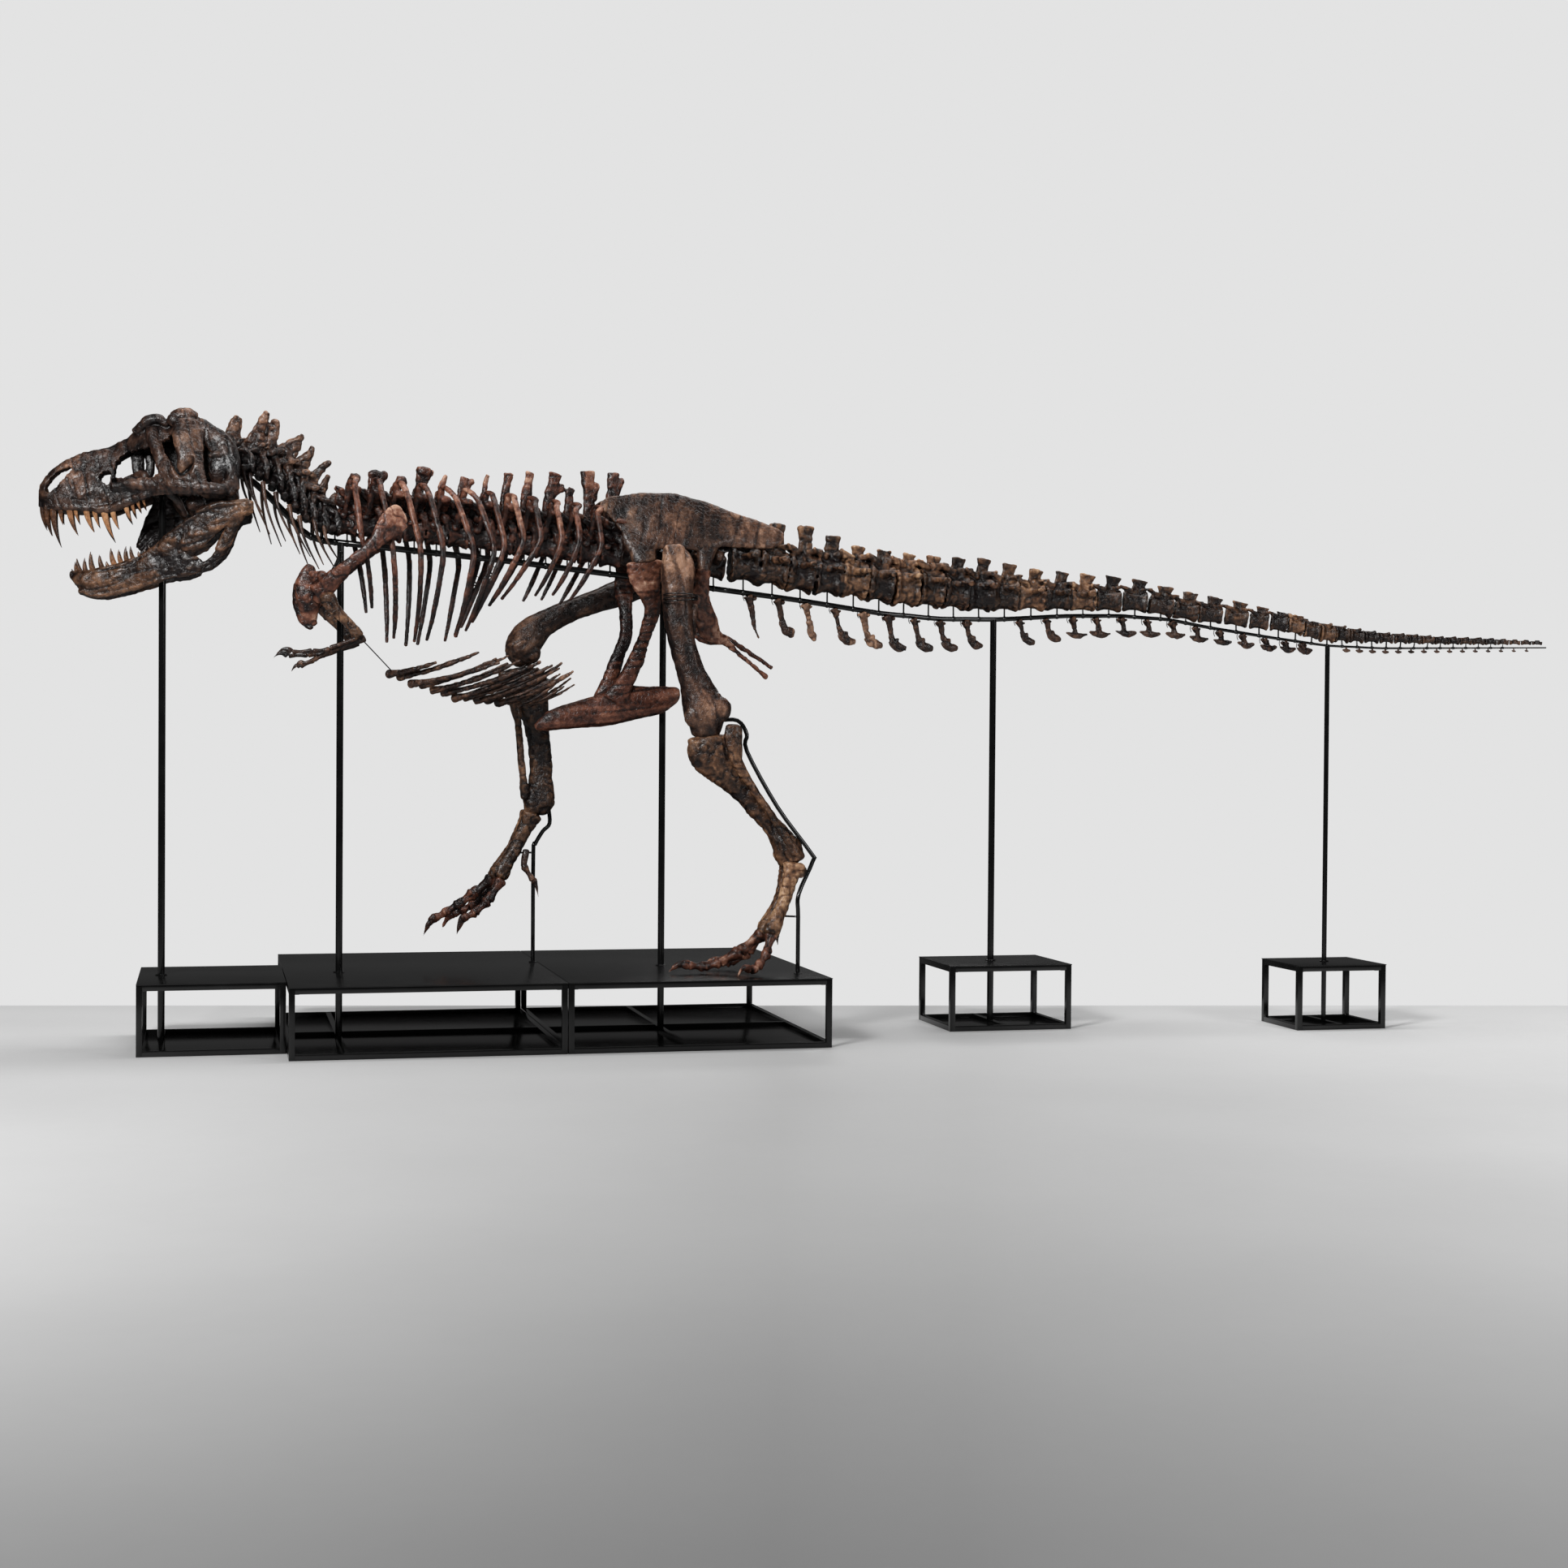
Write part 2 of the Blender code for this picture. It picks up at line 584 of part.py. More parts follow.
def neck_vertebrae():
    out = []
    for i, (x, z, tip_x, tip_z) in enumerate(NECK):
        before = NECK[max(i - 1, 0)]
        after = NECK[min(i + 1, len(NECK) - 1)]
        ahead = (after[0] - before[0], 0, after[1] - before[1])
        pitch = math.hypot(ahead[0], ahead[2]) / (2 if 0 < i < len(NECK) - 1 else 1)
        out.append(make_vertebra((x, 0, z), ahead, pitch, 0.078, 0.085, (tip_x, 0, tip_z),
                                 spine=0.095, thick=0.034))
    return out


def even_row(row):
    first, last, count = row
    return [first + (last - first) * i / (count - 1) for i in range(count)]


def trunk_vertebrae():
    out = []
    xs = even_row(DORSALS)
    for x in xs:
        slope = (rail_z(x + 0.1) - rail_z(x - 0.1)) / 0.2
        z = rail_z(x) + DORSAL_CENTRE
        top = profile(x, SPINE_TOP)
        out.append(make_vertebra((x, 0, z), (1, 0, slope), xs[1] - xs[0], 0.098, 0.085,
                                 (x + 0.02, 0, top), spine=0.105, thick=0.024, split=True))
    return out


def sacral_vertebrae():
    out = []
    xs = even_row(SACRALS)
    for x in xs:
        z = rail_z(x) + DORSAL_CENTRE + 0.012
        out.append(make_vertebra((x, 0, z), (1, 0, -0.10), xs[1] - xs[0], 0.092, 0.090,
                                 (x + 0.02, 0, 3.865), spine=0.150, thick=0.024))
    return out


def tail_vertebrae():
    out = []
    x = TAIL_START
    while x < TAIL_ENDS[-1] - 0.03:
        pitch = profile(x, PITCH)
        high = profile(x, CENTRUM_HIGH)
        step = 0.5 * pitch
        ahead = (2 * step, profile(x + step, SWING) - profile(x - step, SWING),
                 profile(x + step, CENTRE_Z) - profile(x - step, CENTRE_Z))
        at = (x, profile(x, SWING), profile(x, CENTRE_Z))
        top = (x + 0.35 * pitch, at[1], profile(x + 0.2 * pitch, TAIL_TOP))
        out.append(make_vertebra(at, ahead, pitch, high, high * 0.90, top,
                                 spine=pitch * 0.46, thick=0.3 * high + 0.004,
                                 reach=0.0 if x > LAST_WINGS else min(0.21, 1.45 * high + 0.015)))
        x += 0.5 * (pitch + profile(x + pitch, PITCH))
    return out


def post(v):
    """A short post from the rail up into a centrum, trimmed later by the bone's surface.

    Under the trunk it ends below the keel where the two halves meet.
    """
    size = min(POST_HALF, v["high"] * 0.2)
    depth = v["high"] + 0.0015 if v["split"] else v["high"] * 0.70
    top = v["at"] - Vector((0, 0, depth))
    return loft([(*rail_point(top.x), size, size), (*top, size, size)], sides=3)


# ---------------------------------------------------------------- ribs
RIBS = (               # x of head, x at the widest, x of tip, z of tip, half width of the cage
    (-3.615, -3.545, -3.460, 3.050, 0.400), (-3.458, -3.330, -3.310, 2.840, 0.440),
    (-3.301, -3.140, -3.170, 2.820, 0.470), (-3.144, -2.985, -3.085, 2.830, 0.490),
    (-2.987, -2.800, -2.920, 2.850, 0.500), (-2.830, -2.660, -2.830, 2.890, 0.500),
    (-2.672, -2.560, -2.770, 2.960, 0.495), (-2.515, -2.425, -2.650, 3.080, 0.480),
    (-2.358, -2.300, -2.560, 3.130, 0.460), (-2.201, -2.145, -2.320, 3.160, 0.430),
    (-2.044, -2.015, -2.190, 3.170, 0.390), (-1.887, -1.850, -2.060, 3.140, 0.340),
)


def rib(row, sign):
    """Two-headed rib: out from the side process, down round the chest and in at its tip."""
    head, widest, tip_x, tip_z, half = row
    base = rail_z(head) + DORSAL_CENTRE
    shoulder = base + 0.255
    tall = shoulder - tip_z
    rings = [
        (head + 0.010, -0.030, base + 0.190, 0.024, 0.030),
        (head + 0.030, -0.235, shoulder - 0.020, 0.018, 0.028),
        (0.30 * head + 0.70 * widest, -0.93 * half, shoulder - 0.26 * tall, 0.016, 0.028),
        (0.60 * widest + 0.40 * tip_x + 0.015, -0.99 * half, shoulder - 0.62 * tall, 0.013, 0.026),
        (tip_x, -0.74 * half, tip_z, 0.010, 0.018),
    ]
    return loft(sided(rings, sign), sides=3, across=(1, 0, 0))


def cervical_rib(v, sign, length):
    """Needle that lies back and down beside the neck."""
    x, _, z = v["at"]
    root, tip = sided([(x + 0.010, -0.050, z - 0.005),
                       (x + 0.030 + 0.50 * length, -0.130, z - 0.09 - 0.85 * length)], sign)
    return spike(root, tip, 0.024, 0.022)


def neck(name, vertebrae, before):
    bodies = [column(vertebrae)]
    for k, v in enumerate(vertebrae):
        bodies += processes(v)
        for sign in (-1, 1):
            bodies.append(cervical_rib(v, sign, CERVICAL_RIB_LENGTHS[name][k]))
    return solid(name, bodies, PAINT["dark"], trims=before)


CERVICAL_RIB_LENGTHS = {"neck_front": (0.16, 0.26, 0.34, 0.36), "neck_rear": (0.32, 0.30, 0.26, 0.20)}


def trunk(side, sign, vertebrae, before):
    """One side of the rib cage, on its half of the trunk's backbone."""
    bodies = [column(vertebrae, waists=False, side=sign)]
    for v in vertebrae:
        bodies += processes(v, side=sign)
    for row in RIBS:
        bodies.append(rib(row, sign))
    return solid("trunk_" + side, bodies, PAINT["red"], trims=[before])


# ---------------------------------------------------------------- pelvis
ILIUM_LEAN = (0.28, 0.96)               # the blades' tops lean towards each other
SACRAL_ARM_Z = 3.640
ILIUM = [(-1.822, -0.125, 3.850, 0.016, 0.008), (-1.760, -0.130, 3.835, 0.085, 0.014),
         (-1.660, -0.150, 3.775, 0.160, 0.020), (-1.520, -0.175, 3.745, 0.215, 0.026),
         (-1.280, -0.180, 3.745, 0.210, 0.030), (-1.060, -0.170, 3.715, 0.195, 0.028),
         (-0.920, -0.155, 3.715, 0.145, 0.026), (-0.720, -0.135, 3.690, 0.105, 0.024),
         (-0.550, -0.120, 3.655, 0.085, 0.024), (-0.465, -0.115, 3.660, 0.035, 0.018)]


def ilium_blade(sign, grow=0.0):
    out, rise = ILIUM_LEAN
    return loft(sided(ILIUM, sign), sides=6, axis=(1, 0, 0), up=(0, -out * sign, rise), grow=grow)


def pubic_peduncle(sign):
    return loft(sided([(-1.545, -0.225, 3.640, 0.095, 0.045), (-1.520, -0.240, 3.428, 0.088, 0.060)],
                      sign))


def ischial_peduncle(sign):
    return loft(sided([(-1.060, -0.215, 3.600, 0.070, 0.040), (-1.085, -0.235, 3.375, 0.045, 0.045)],
                      sign))


def ilium(side, sign):
    crest = loft(sided([(-1.470, -0.245, 3.540, 0.030, 0.030), (-1.310, -0.290, 3.610, 0.030, 0.050),
                        (-1.120, -0.250, 3.560, 0.030, 0.030)], sign), sides=6)
    bodies = [ilium_blade(sign), pubic_peduncle(sign), ischial_peduncle(sign), crest]
    socket = loft([(-1.275, 0.0, 3.435, 0.145, 0.145), (-1.275, 0.6 * sign, 3.435, 0.145, 0.145)],
                  sides=10)
    return solid("ilium_" + side, bodies, PAINT["dark"], [socket])


def pubis_shaft(sign, grow=0.0):
    rings = [(-1.500, -0.235, 3.450, 0.110, 0.050), (-1.490, -0.218, 3.290, 0.112, 0.048),
             (-1.500, -0.140, 3.050, 0.062, 0.045), (-1.575, -0.095, 2.860, 0.056, 0.045),
             (-1.720, -0.040, 2.450, 0.110, 0.045)]
    return loft(sided(rings, sign), sides=5, grow=grow)


def pubic_boot(grow=0.0):
    rings = [(-2.268, 0, 2.248, 0.022, 0.030), (-2.190, 0, 2.285, 0.072, 0.048),
             (-1.860, 0, 2.355, 0.115, 0.062), (-1.690, 0, 2.400, 0.140, 0.066),
             (-1.340, 0, 2.450, 0.100, 0.056), (-1.215, 0, 2.495, 0.048, 0.040)]
    return loft(rings, sides=6, axis=(1, 0, 0), grow=grow)


def pubis(blades):
    bodies = [pubic_boot(), pubis_shaft(-1), pubis_shaft(1)]
    return solid("pubis", bodies, PAINT["red"], [pole_body("hip", GAP)], trims=blades)


def ischium(blades):
    bodies = []
    for sign in (-1, 1):
        bodies.append(loft(sided([
            (-1.100, -0.230, 3.400, 0.070, 0.045), (-1.085, -0.200, 3.270, 0.095, 0.042),
            (-1.050, -0.160, 3.120, 0.080, 0.038), (-0.975, -0.110, 2.990, 0.055, 0.036),
            (-0.780, -0.040, 2.830, 0.044, 0.032), (-0.560, -0.022, 2.665, 0.034, 0.026)],
            sign), sides=5))
    return solid("ischium", bodies, PAINT["red"], trims=blades)


def blade_side(x, z):
    """How far out from the mid-plane the ilium's blade stands at x and z."""
    for one, two in zip(ILIUM, ILIUM[1:]):
        if x <= two[0]:
            break
    share = (x - one[0]) / (two[0] - one[0])
    middle = -one[1] + (one[1] - two[1]) * share
    height = one[2] + (two[2] - one[2]) * share
    return middle + (height - z) * ILIUM_LEAN[0] / ILIUM_LEAN[1]


def sacrum(vertebrae, before):
    bodies = [column(vertebrae, waists=False)]
    crest = [(v["at"].x, 0, v["at"].z + 0.20, 0.165, 0.022) for v in (vertebrae[0], vertebrae[-1])]
    bodies.append(loft(crest, sides=4, axis=(1, 0, 0)))
    for v in vertebrae[::2]:
        x = v["at"].x
        for sign in (-1, 1):
            bodies.append(loft([(x, 0.02 * sign, SACRAL_ARM_Z - 0.06, 0.050, 0.045),
                                (x, blade_side(x, SACRAL_ARM_Z) * sign, SACRAL_ARM_Z, 0.040, 0.045)],
                               sides=4, across=(1, 0, 0)))
    return solid("sacrum", bodies, PAINT["dark"], trims=before)


# ---------------------------------------------------------------- legs
LEG_ROD_FEET = {"left": (-0.466, -0.660), "right": (-2.205, 0.540)}
LEG_SIGN = {"left": -1, "right": 1}
FEMUR = {
    "left": [(-1.275, -0.165, 3.465, 0.070, 0.065), (-1.275, -0.290, 3.462, 0.088, 0.085),
             (-1.305, -0.400, 3.400, 0.120, 0.085), (-1.315, -0.430, 3.020, 0.104, 0.078),
             (-1.215, -0.440, 2.650, 0.100, 0.080), (-1.150, -0.445, 2.460, 0.142, 0.105),
             (-1.105, -0.450, 2.330, 0.145, 0.120), (-1.110, -0.450, 2.215, 0.100, 0.100)],
    "right": [(-1.275, 0.165, 3.450, 0.070, 0.065), (-1.275, 0.290, 3.435, 0.088, 0.085),
              (-1.390, 0.400, 3.350, 0.110, 0.085), (-1.560, 0.430, 3.260, 0.100, 0.080),
              (-1.760, 0.450, 3.195, 0.082, 0.076),
              (-2.120, 0.475, 3.030, 0.090, 0.080), (-2.255, 0.480, 2.930, 0.125, 0.105),
              (-2.310, 0.480, 2.820, 0.125, 0.120), (-2.300, 0.480, 2.735, 0.080, 0.095)],
}
TIBIA = {
    "left": [(-1.040, -0.455, 2.165, 0.155, 0.090), (-1.035, -0.455, 2.095, 0.200, 0.095),
             (-0.985, -0.458, 1.985, 0.158, 0.080), (-0.865, -0.465, 1.835, 0.100, 0.062),
             (-0.725, -0.472, 1.670, 0.075, 0.055), (-0.590, -0.480, 1.510, 0.072, 0.060),
             (-0.505, -0.488, 1.385, 0.112, 0.092), (-0.472, -0.492, 1.290, 0.098, 0.092)],
    "right": [(-2.290, 0.485, 2.655, 0.150, 0.090), (-2.285, 0.485, 2.560, 0.185, 0.095),
              (-2.235, 0.485, 2.430, 0.135, 0.080), (-2.190, 0.485, 2.220, 0.092, 0.062),
              (-2.160, 0.490, 1.980, 0.085, 0.056), (-2.160, 0.495, 1.800, 0.100, 0.066),
              (-2.175, 0.498, 1.690, 0.118, 0.094), (-2.185, 0.500, 1.620, 0.080, 0.086)],
}
FIBULA = {
    "left": [(-0.925, -0.560, 2.255, 0.062, 0.030), (-0.930, -0.565, 2.170, 0.068, 0.032),
             (-0.905, -0.562, 2.010, 0.045, 0.028), (-0.790, -0.560, 1.830, 0.028, 0.022),
             (-0.640, -0.566, 1.610, 0.024, 0.020), (-0.500, -0.578, 1.405, 0.032, 0.026),
             (-0.470, -0.582, 1.345, 0.044, 0.028)],
    "right": [(-2.385, 0.395, 2.600, 0.055, 0.026), (-2.380, 0.393, 2.500, 0.058, 0.028),
              (-2.350, 0.395, 2.330, 0.032, 0.024), (-2.325, 0.400, 2.060, 0.026, 0.020),
              (-2.300, 0.408, 1.860, 0.024, 0.020), (-2.292, 0.418, 1.780, 0.034, 0.026),
              (-2.288, 0.424, 1.720, 0.030, 0.026)],
}
ANKLE = {              # metatarsus: top, middle, bottom of the middle bone
    "left": ((-0.478, -0.500, 1.262), (-0.545, -0.510, 1.010), (-0.685, -0.520, 0.775)),
    "right": ((-2.232, 0.505, 1.590), (-2.330, 0.510, 1.390), (-2.500, 0.515, 1.135)),
}
TOES = {               # joints of toes 2, 3 and 4, from the metatarsus to the claw's tip
    "left": {
        2: ((-0.660, -0.420, 0.780), (-0.760, -0.350, 0.620), (-0.880, -0.290, 0.545),
            (-0.960, -0.255, 0.545), (-1.060, -0.220, 0.500)),
        3: ((-0.690, -0.520, 0.770), (-0.860, -0.520, 0.640), (-1.010, -0.520, 0.565),
            (-1.120, -0.520, 0.540), (-1.230, -0.520, 0.548), (-1.380, -0.520, 0.502)),
        4: ((-0.650, -0.610, 0.770), (-0.700, -0.680, 0.640), (-0.765, -0.740, 0.570),
            (-0.820, -0.790, 0.540), (-0.870, -0.830, 0.545), (-0.960, -0.890, 0.500)),
    },
    "right": {
        2: ((-2.460, 0.420, 1.120), (-2.560, 0.380, 0.960), (-2.660, 0.360, 0.880),
            (-2.740, 0.350, 0.840), (-2.795, 0.345, 0.705)),
        3: ((-2.510, 0.515, 1.120), (-2.650, 0.525, 1.010), (-2.760, 0.530, 0.930),
            (-2.850, 0.535, 0.870), (-2.925, 0.540, 0.830), (-3.020, 0.545, 0.690)),
        4: ((-2.470, 0.605, 1.120), (-2.560, 0.650, 0.980), (-2.640, 0.690, 0.910),
            (-2.710, 0.720, 0.870), (-2.770, 0.745, 0.840), (-2.860, 0.780, 0.720)),
    },
}
HALLUX = {
    "left": ((-0.560, -0.375, 0.900), (-0.555, -0.345, 0.820), (-0.545, -0.335, 0.740),
             (-0.535, -0.335, 0.660)),
    "right": ((-2.280, 0.395, 1.330), (-2.300, 0.375, 1.220), (-2.230, 0.360, 1.110),
              (-2.190, 0.355, 0.985)),
}
LEG_RODS = {
    "left": ((-1.020, -0.450, 2.300), (-0.880, -0.480, 2.300), (-0.815, -0.500, 2.200),
             (-0.815, -0.505, 2.080), (-0.590, -0.520, 1.680), (-0.345, -0.545, 1.350),
             (-0.335, -0.560, 1.290), (-0.462, -0.655, 1.060), (-0.466, -0.660, 0.4903)),
    "right": ((-2.100, 0.500, 1.660), (-2.090, 0.500, 1.530), (-2.140, 0.510, 1.470),
              (-2.195, 0.530, 1.370), (-2.205, 0.540, 1.300), (-2.205, 0.540, 0.4903)),
}


def leg_bone(table, side, grow=0.0, sides=6):
    return loft(table[side], sides=sides, across=(0, 1, 0), grow=grow)


def femur(side):
    bodies = [leg_bone(FEMUR, side)]
    if side == "left":
        bodies.append(loft([(-1.400, -0.440, 3.500, 0.040, 0.050), (-1.350, -0.430, 3.300, 0.060, 0.060)],
                           sides=6))                                            # lesser trochanter
    else:
        bodies.append(loft([(-1.400, 0.440, 3.440, 0.050, 0.050), (-1.500, 0.430, 3.300, 0.060, 0.060)],
                           sides=6))
    return solid("femur_" + side, bodies, PAINT["dark"], [hip_bar(GAP), leg_rod_body(side, GAP)])


def tibia(side):
    bodies = [leg_bone(TIBIA, side)]
    return solid("tibia_" + side, bodies, PAINT["tan"],
                 [leg_rod_body(side, GAP), leg_bone(FEMUR, side, GAP)])


def fibula(side):
    bodies = [leg_bone(FIBULA, side, sides=5)]
    return solid("fibula_" + side, bodies, PAINT["tan"], [leg_bone(TIBIA, side, GAP)])


def metatarsals(side, grow=0.0):
    """Three long bones side by side; the middle one is pinched between the others at its top."""
    top, middle, low = ANKLE[side]
    bodies = []
    for offset, spread in ((-1, 0.095), (0, 0.0), (1, 0.092)):
        width = 0.030 if offset == 0 else 0.042
        rings = [
            (top[0], top[1] + offset * 0.052, top[2], 0.078, width + 0.006),
            (middle[0], middle[1] + offset * 0.058, middle[2], 0.056, width),
            (low[0] + abs(offset) * 0.030, low[1] + offset * spread, low[2] + abs(offset) * 0.012,
             0.060, 0.050),
        ]
        bodies.append(loft(rings, sides=5, grow=grow))
    return bodies


def metatarsus(side):
    bodies = metatarsals(side)
    cuts = [leg_bone(TIBIA, side, GAP), leg_rod_body(side, GAP), leg_bar(side, GAP)]
    return solid("metatarsus_" + side, bodies, PAINT["tan"], cuts)


def toe(side, number):
    """Phalanges with thick joints, ended by a curved claw."""
    joints = [Vector(p) for p in TOES[side][number]]
    first = 0.054 if number == 3 else 0.046
    rings = []
    for k, (a, b) in enumerate(zip(joints[:-2], joints[1:-1])):
        size = first * (1 - 0.10 * k)
        rings += [(*a.lerp(b, 0.06), size, size * 0.90), (*a.lerp(b, 0.55), size * 0.62, size * 0.66)]
    base, tip = joints[-2], joints[-1]
    size = first * (1 - 0.10 * len(joints[:-2]))
    middle = base.lerp(tip, 0.55) + Vector((0, 0, 0.018))
    rings += [(*base, size, size * 0.75), (*middle, size * 0.62, size * 0.5), (*tip, 0.005, 0.005)]
    cuts = metatarsals(side, GAP)
    if side == "left":
        cuts.append(block(*FOOT_ROOM, 0.0, PLATE_TOP + GAP))
    return solid(f"toe_{number}_{side}", [loft(rings, sides=5)], PAINT["red"], cuts)


def hallux(side):
    joints = HALLUX[side]
    sizes = (0.030, 0.022, 0.024, 0.005)
    rings = [(*p, s, s * 0.8) for p, s in zip(joints, sizes)]
    return solid("hallux_" + side, [loft(rings, sides=4)], PAINT["dark"], metatarsals(side, GAP))


FOOT_ROOM = (-2.0, 0.0, -1.0, 0.0)      # x and y range of the plate that the left foot stands on
BARS = {"left": ((-0.600, -0.560, 0.900), (-0.466, -0.660, 0.900)),
        "right": ((-2.400, 0.515, 1.310), (-2.200, 0.538, 1.310))}


def leg_bar(side, grow=0.0):
    return tube(BARS[side], 0.007, grow=grow)


def leg_rod_body(side, grow=0.0):
    return tube(LEG_RODS[side], ROD_RADIUS, 6, grow=grow)


def hip_bar(grow=0.0):
    x, z, half = HIP_BAR
    return tube([(x, -half, z), (x, half, z)], 0.018, 6, grow=grow)


# ---------------------------------------------------------------- arms
SCAPULA = [(-3.275, -0.455, 3.700, 0.085, 0.014), (-3.345, -0.470, 3.635, 0.092, 0.018),
           (-3.455, -0.480, 3.500, 0.050, 0.022), (-3.600, -0.465, 3.370, 0.044, 0.026),
           (-3.735, -0.410, 3.245, 0.062, 0.036), (-3.830, -0.360, 3.150, 0.075, 0.040)]
CORACOID = [(-3.880, -0.300, 3.335, 0.030, 0.022), (-3.905, -0.310, 3.230, 0.075, 0.030),
            (-3.895, -0.320, 3.120, 0.088, 0.032), (-3.885, -0.310, 3.020, 0.062, 0.026),
            (-3.850, -0.290, 2.935, 0.022, 0.018)]
HUMERUS = [(-3.775, -0.400, 3.130, 0.056, 0.040), (-3.735, -0.405, 3.060, 0.050, 0.034),
           (-3.655, -0.405, 2.975, 0.036, 0.030), (-3.590, -0.400, 2.905, 0.036, 0.030),
           (-3.555, -0.395, 2.860, 0.044, 0.040)]
FOREARM = [(-3.540, -0.390, 2.848, 0.034, 0.034), (-3.610, -0.385, 2.822, 0.028, 0.030),
           (-3.690, -0.380, 2.785, 0.024, 0.028), (-3.745, -0.375, 2.762, 0.028, 0.030)]
FINGERS = (
    [(-3.750, -0.378, 2.762, 0.024, 0.026), (-3.860, -0.380, 2.752, 0.015, 0.016),
     (-3.905, -0.380, 2.748, 0.020, 0.018), (-4.000, -0.375, 2.742, 0.013, 0.013),
     (-4.050, -0.372, 2.752, 0.020, 0.014), (-4.115, -0.370, 2.722, 0.004, 0.004)],
    [(-3.750, -0.350, 2.755, 0.024, 0.024), (-3.820, -0.330, 2.715, 0.014, 0.014),
     (-3.860, -0.322, 2.700, 0.018, 0.016), (-3.935, -0.310, 2.660, 0.018, 0.012),
     (-3.990, -0.305, 2.620, 0.004, 0.004)],
)


def shoulder_bracket(sign, grow=0.0):
    """Arm of the shoulder pole that carries one shoulder blade."""
    x, _ = POLES["shoulder"]
    return tube([(x, sign * 0.005, 3.470), (x - 0.02, sign * 0.16, 3.400),
                 (x - 0.060, sign * 0.370, 3.325)], 0.012, grow=grow)


def arm(side, cage):
    sign = LEG_SIGN[side]
    blade = solid("scapula_" + side, [loft(sided(SCAPULA, sign)), loft(sided(CORACOID, sign))],
                  PAINT["red"], [shoulder_bracket(sign, GAP)], trims=[cage])
    upper = solid("humerus_" + side, [loft(sided(HUMERUS, sign))], PAINT["tan"], trims=[blade])
    lower = solid("forearm_" + side, [loft(sided(FOREARM, sign), sides=5)], PAINT["dark"],
                  trims=[upper])
    solid("hand_" + side, [loft(sided(f, sign), sides=4) for f in FINGERS], PAINT["dark"],
          trims=[lower])


# ---------------------------------------------------------------- belly ribs
GASTRALIA = (-3.270, -2.300, 9)         # first x, last x, how many pairs
GASTRALIA_KEEL = ((-3.30, 2.605), (-3.10, 2.515), (-2.80, 2.430), (-2.30, 2.385))


def gastralia_bodies():
    """Belly ribs: a bumpy keel, and rods that rise back and out from it."""
    first, last, count = GASTRALIA
    keel = []
    rods = []
    for k in range(count):
        x = first + (last - first) * k / (count - 1)
        z = profile(x, GASTRALIA_KEEL)
        share = k / (count - 1)
        run = 0.30 + 0.22 * math.sin(math.pi * min(1, share * 1.3)) - 0.10 * share
        rise = 0.15 + 0.10 * math.sin(math.pi * min(1, share + 0.25))
        spread = 0.20 + 0.16 * math.sin(math.pi * (0.2 + 0.6 * share))
        keel.append((x, 0, z, 0.020, 0.028))
        for sign in (-1, 1):
            rings = [(x, 0.008 * -sign, z, 0.016, 0.016),
                     (x + 0.45 * run, -0.62 * spread, z + 0.32 * rise, 0.014, 0.014),
                     (x + run, -spread, z + rise, 0.008, 0.008)]
            rods.append(loft(sided(rings, sign), sides=3))
    return [loft(keel, sides=4, axis=(1, 0, 0)), *rods]


def gastralia():
    return solid("gastralia", gastralia_bodies(), PAINT["dark"], [pubic_boot(GAP)])


def belly_wire():
    wire = tube([(-3.545, -0.395, 2.850), (-3.290, -0.020, 2.622)], 0.004, 6)
    upper = loft(HUMERUS, sides=6, grow=GAP)
    lower = loft(FOREARM, sides=6, grow=GAP)
    front = gastralia_bodies()[:3]
    return solid("stand_wire_belly", [wire], PAINT["steel"], [upper, lower, *front])


# ---------------------------------------------------------------- tail and rails
CHEVRONS = (-0.660, 3.700, 23)           # first x, last x, how many; a pole stands in one gap
CHEVRON_LOW = ((-0.70, 2.905), (-0.43, 2.915), (-0.20, 2.835), (0.45, 2.800), (0.85, 2.850),
               (1.50, 2.905), (2.20, 2.950), (2.80, 2.930), (3.40, 2.870), (3.70, 2.845))
TINY_CHEVRONS = (3.930, 5.300, 15)
CUT_LENGTH = 0.3                         # what is cut off each end of a length of rail
CUT_ROOM = (-1.2, 1.2, 2.0, 4.4)         # y and z range of that cut


def chevron(x):
    """A haemal arch that hangs under the rail on a wire, its foot hooked back."""
    y = rail_point(x)[1]
    high = rail_z(x - 0.03) - profile(x, RAIL_RADIUS) - 0.012
    low = profile(x, CHEVRON_LOW)
    tall = high - low
    hook = 0.030 + 0.55 * min(tall, 0.20)
    if x < -0.5:
        hook = 0.060
    wire = (x - 0.042, y, rail_z(x), 0.006, 0.006)
    if x > 1.9:                          # skid-shaped, with a toe in front of the stem
        foot = [(x - 0.065, y, low + 0.28 * tall, 0.016, 0.009),
                (x + 0.065, y, low + 0.12 * tall, 0.022, 0.011)]
        stem = [wire, (x - 0.030, y, low + 0.25 * tall, 0.014, 0.010)]
        return [loft(foot, sides=3), loft(stem, sides=3)]
    return [loft([wire, (x - 0.040, y, high - 0.10 * tall, 0.018, 0.024),
                  (x - 0.045 + hook, y, low + 0.14 * tall, 0.032, 0.011)], sides=3)]


def tiny_chevron(x):
    _, y, z = rail_point(x)
    size = 0.020 - 0.007 * (x - 3.9)
    return spike((x, y, z - 0.022 - size), (x, y, z + 0.003), size * 1.2, 0.006)


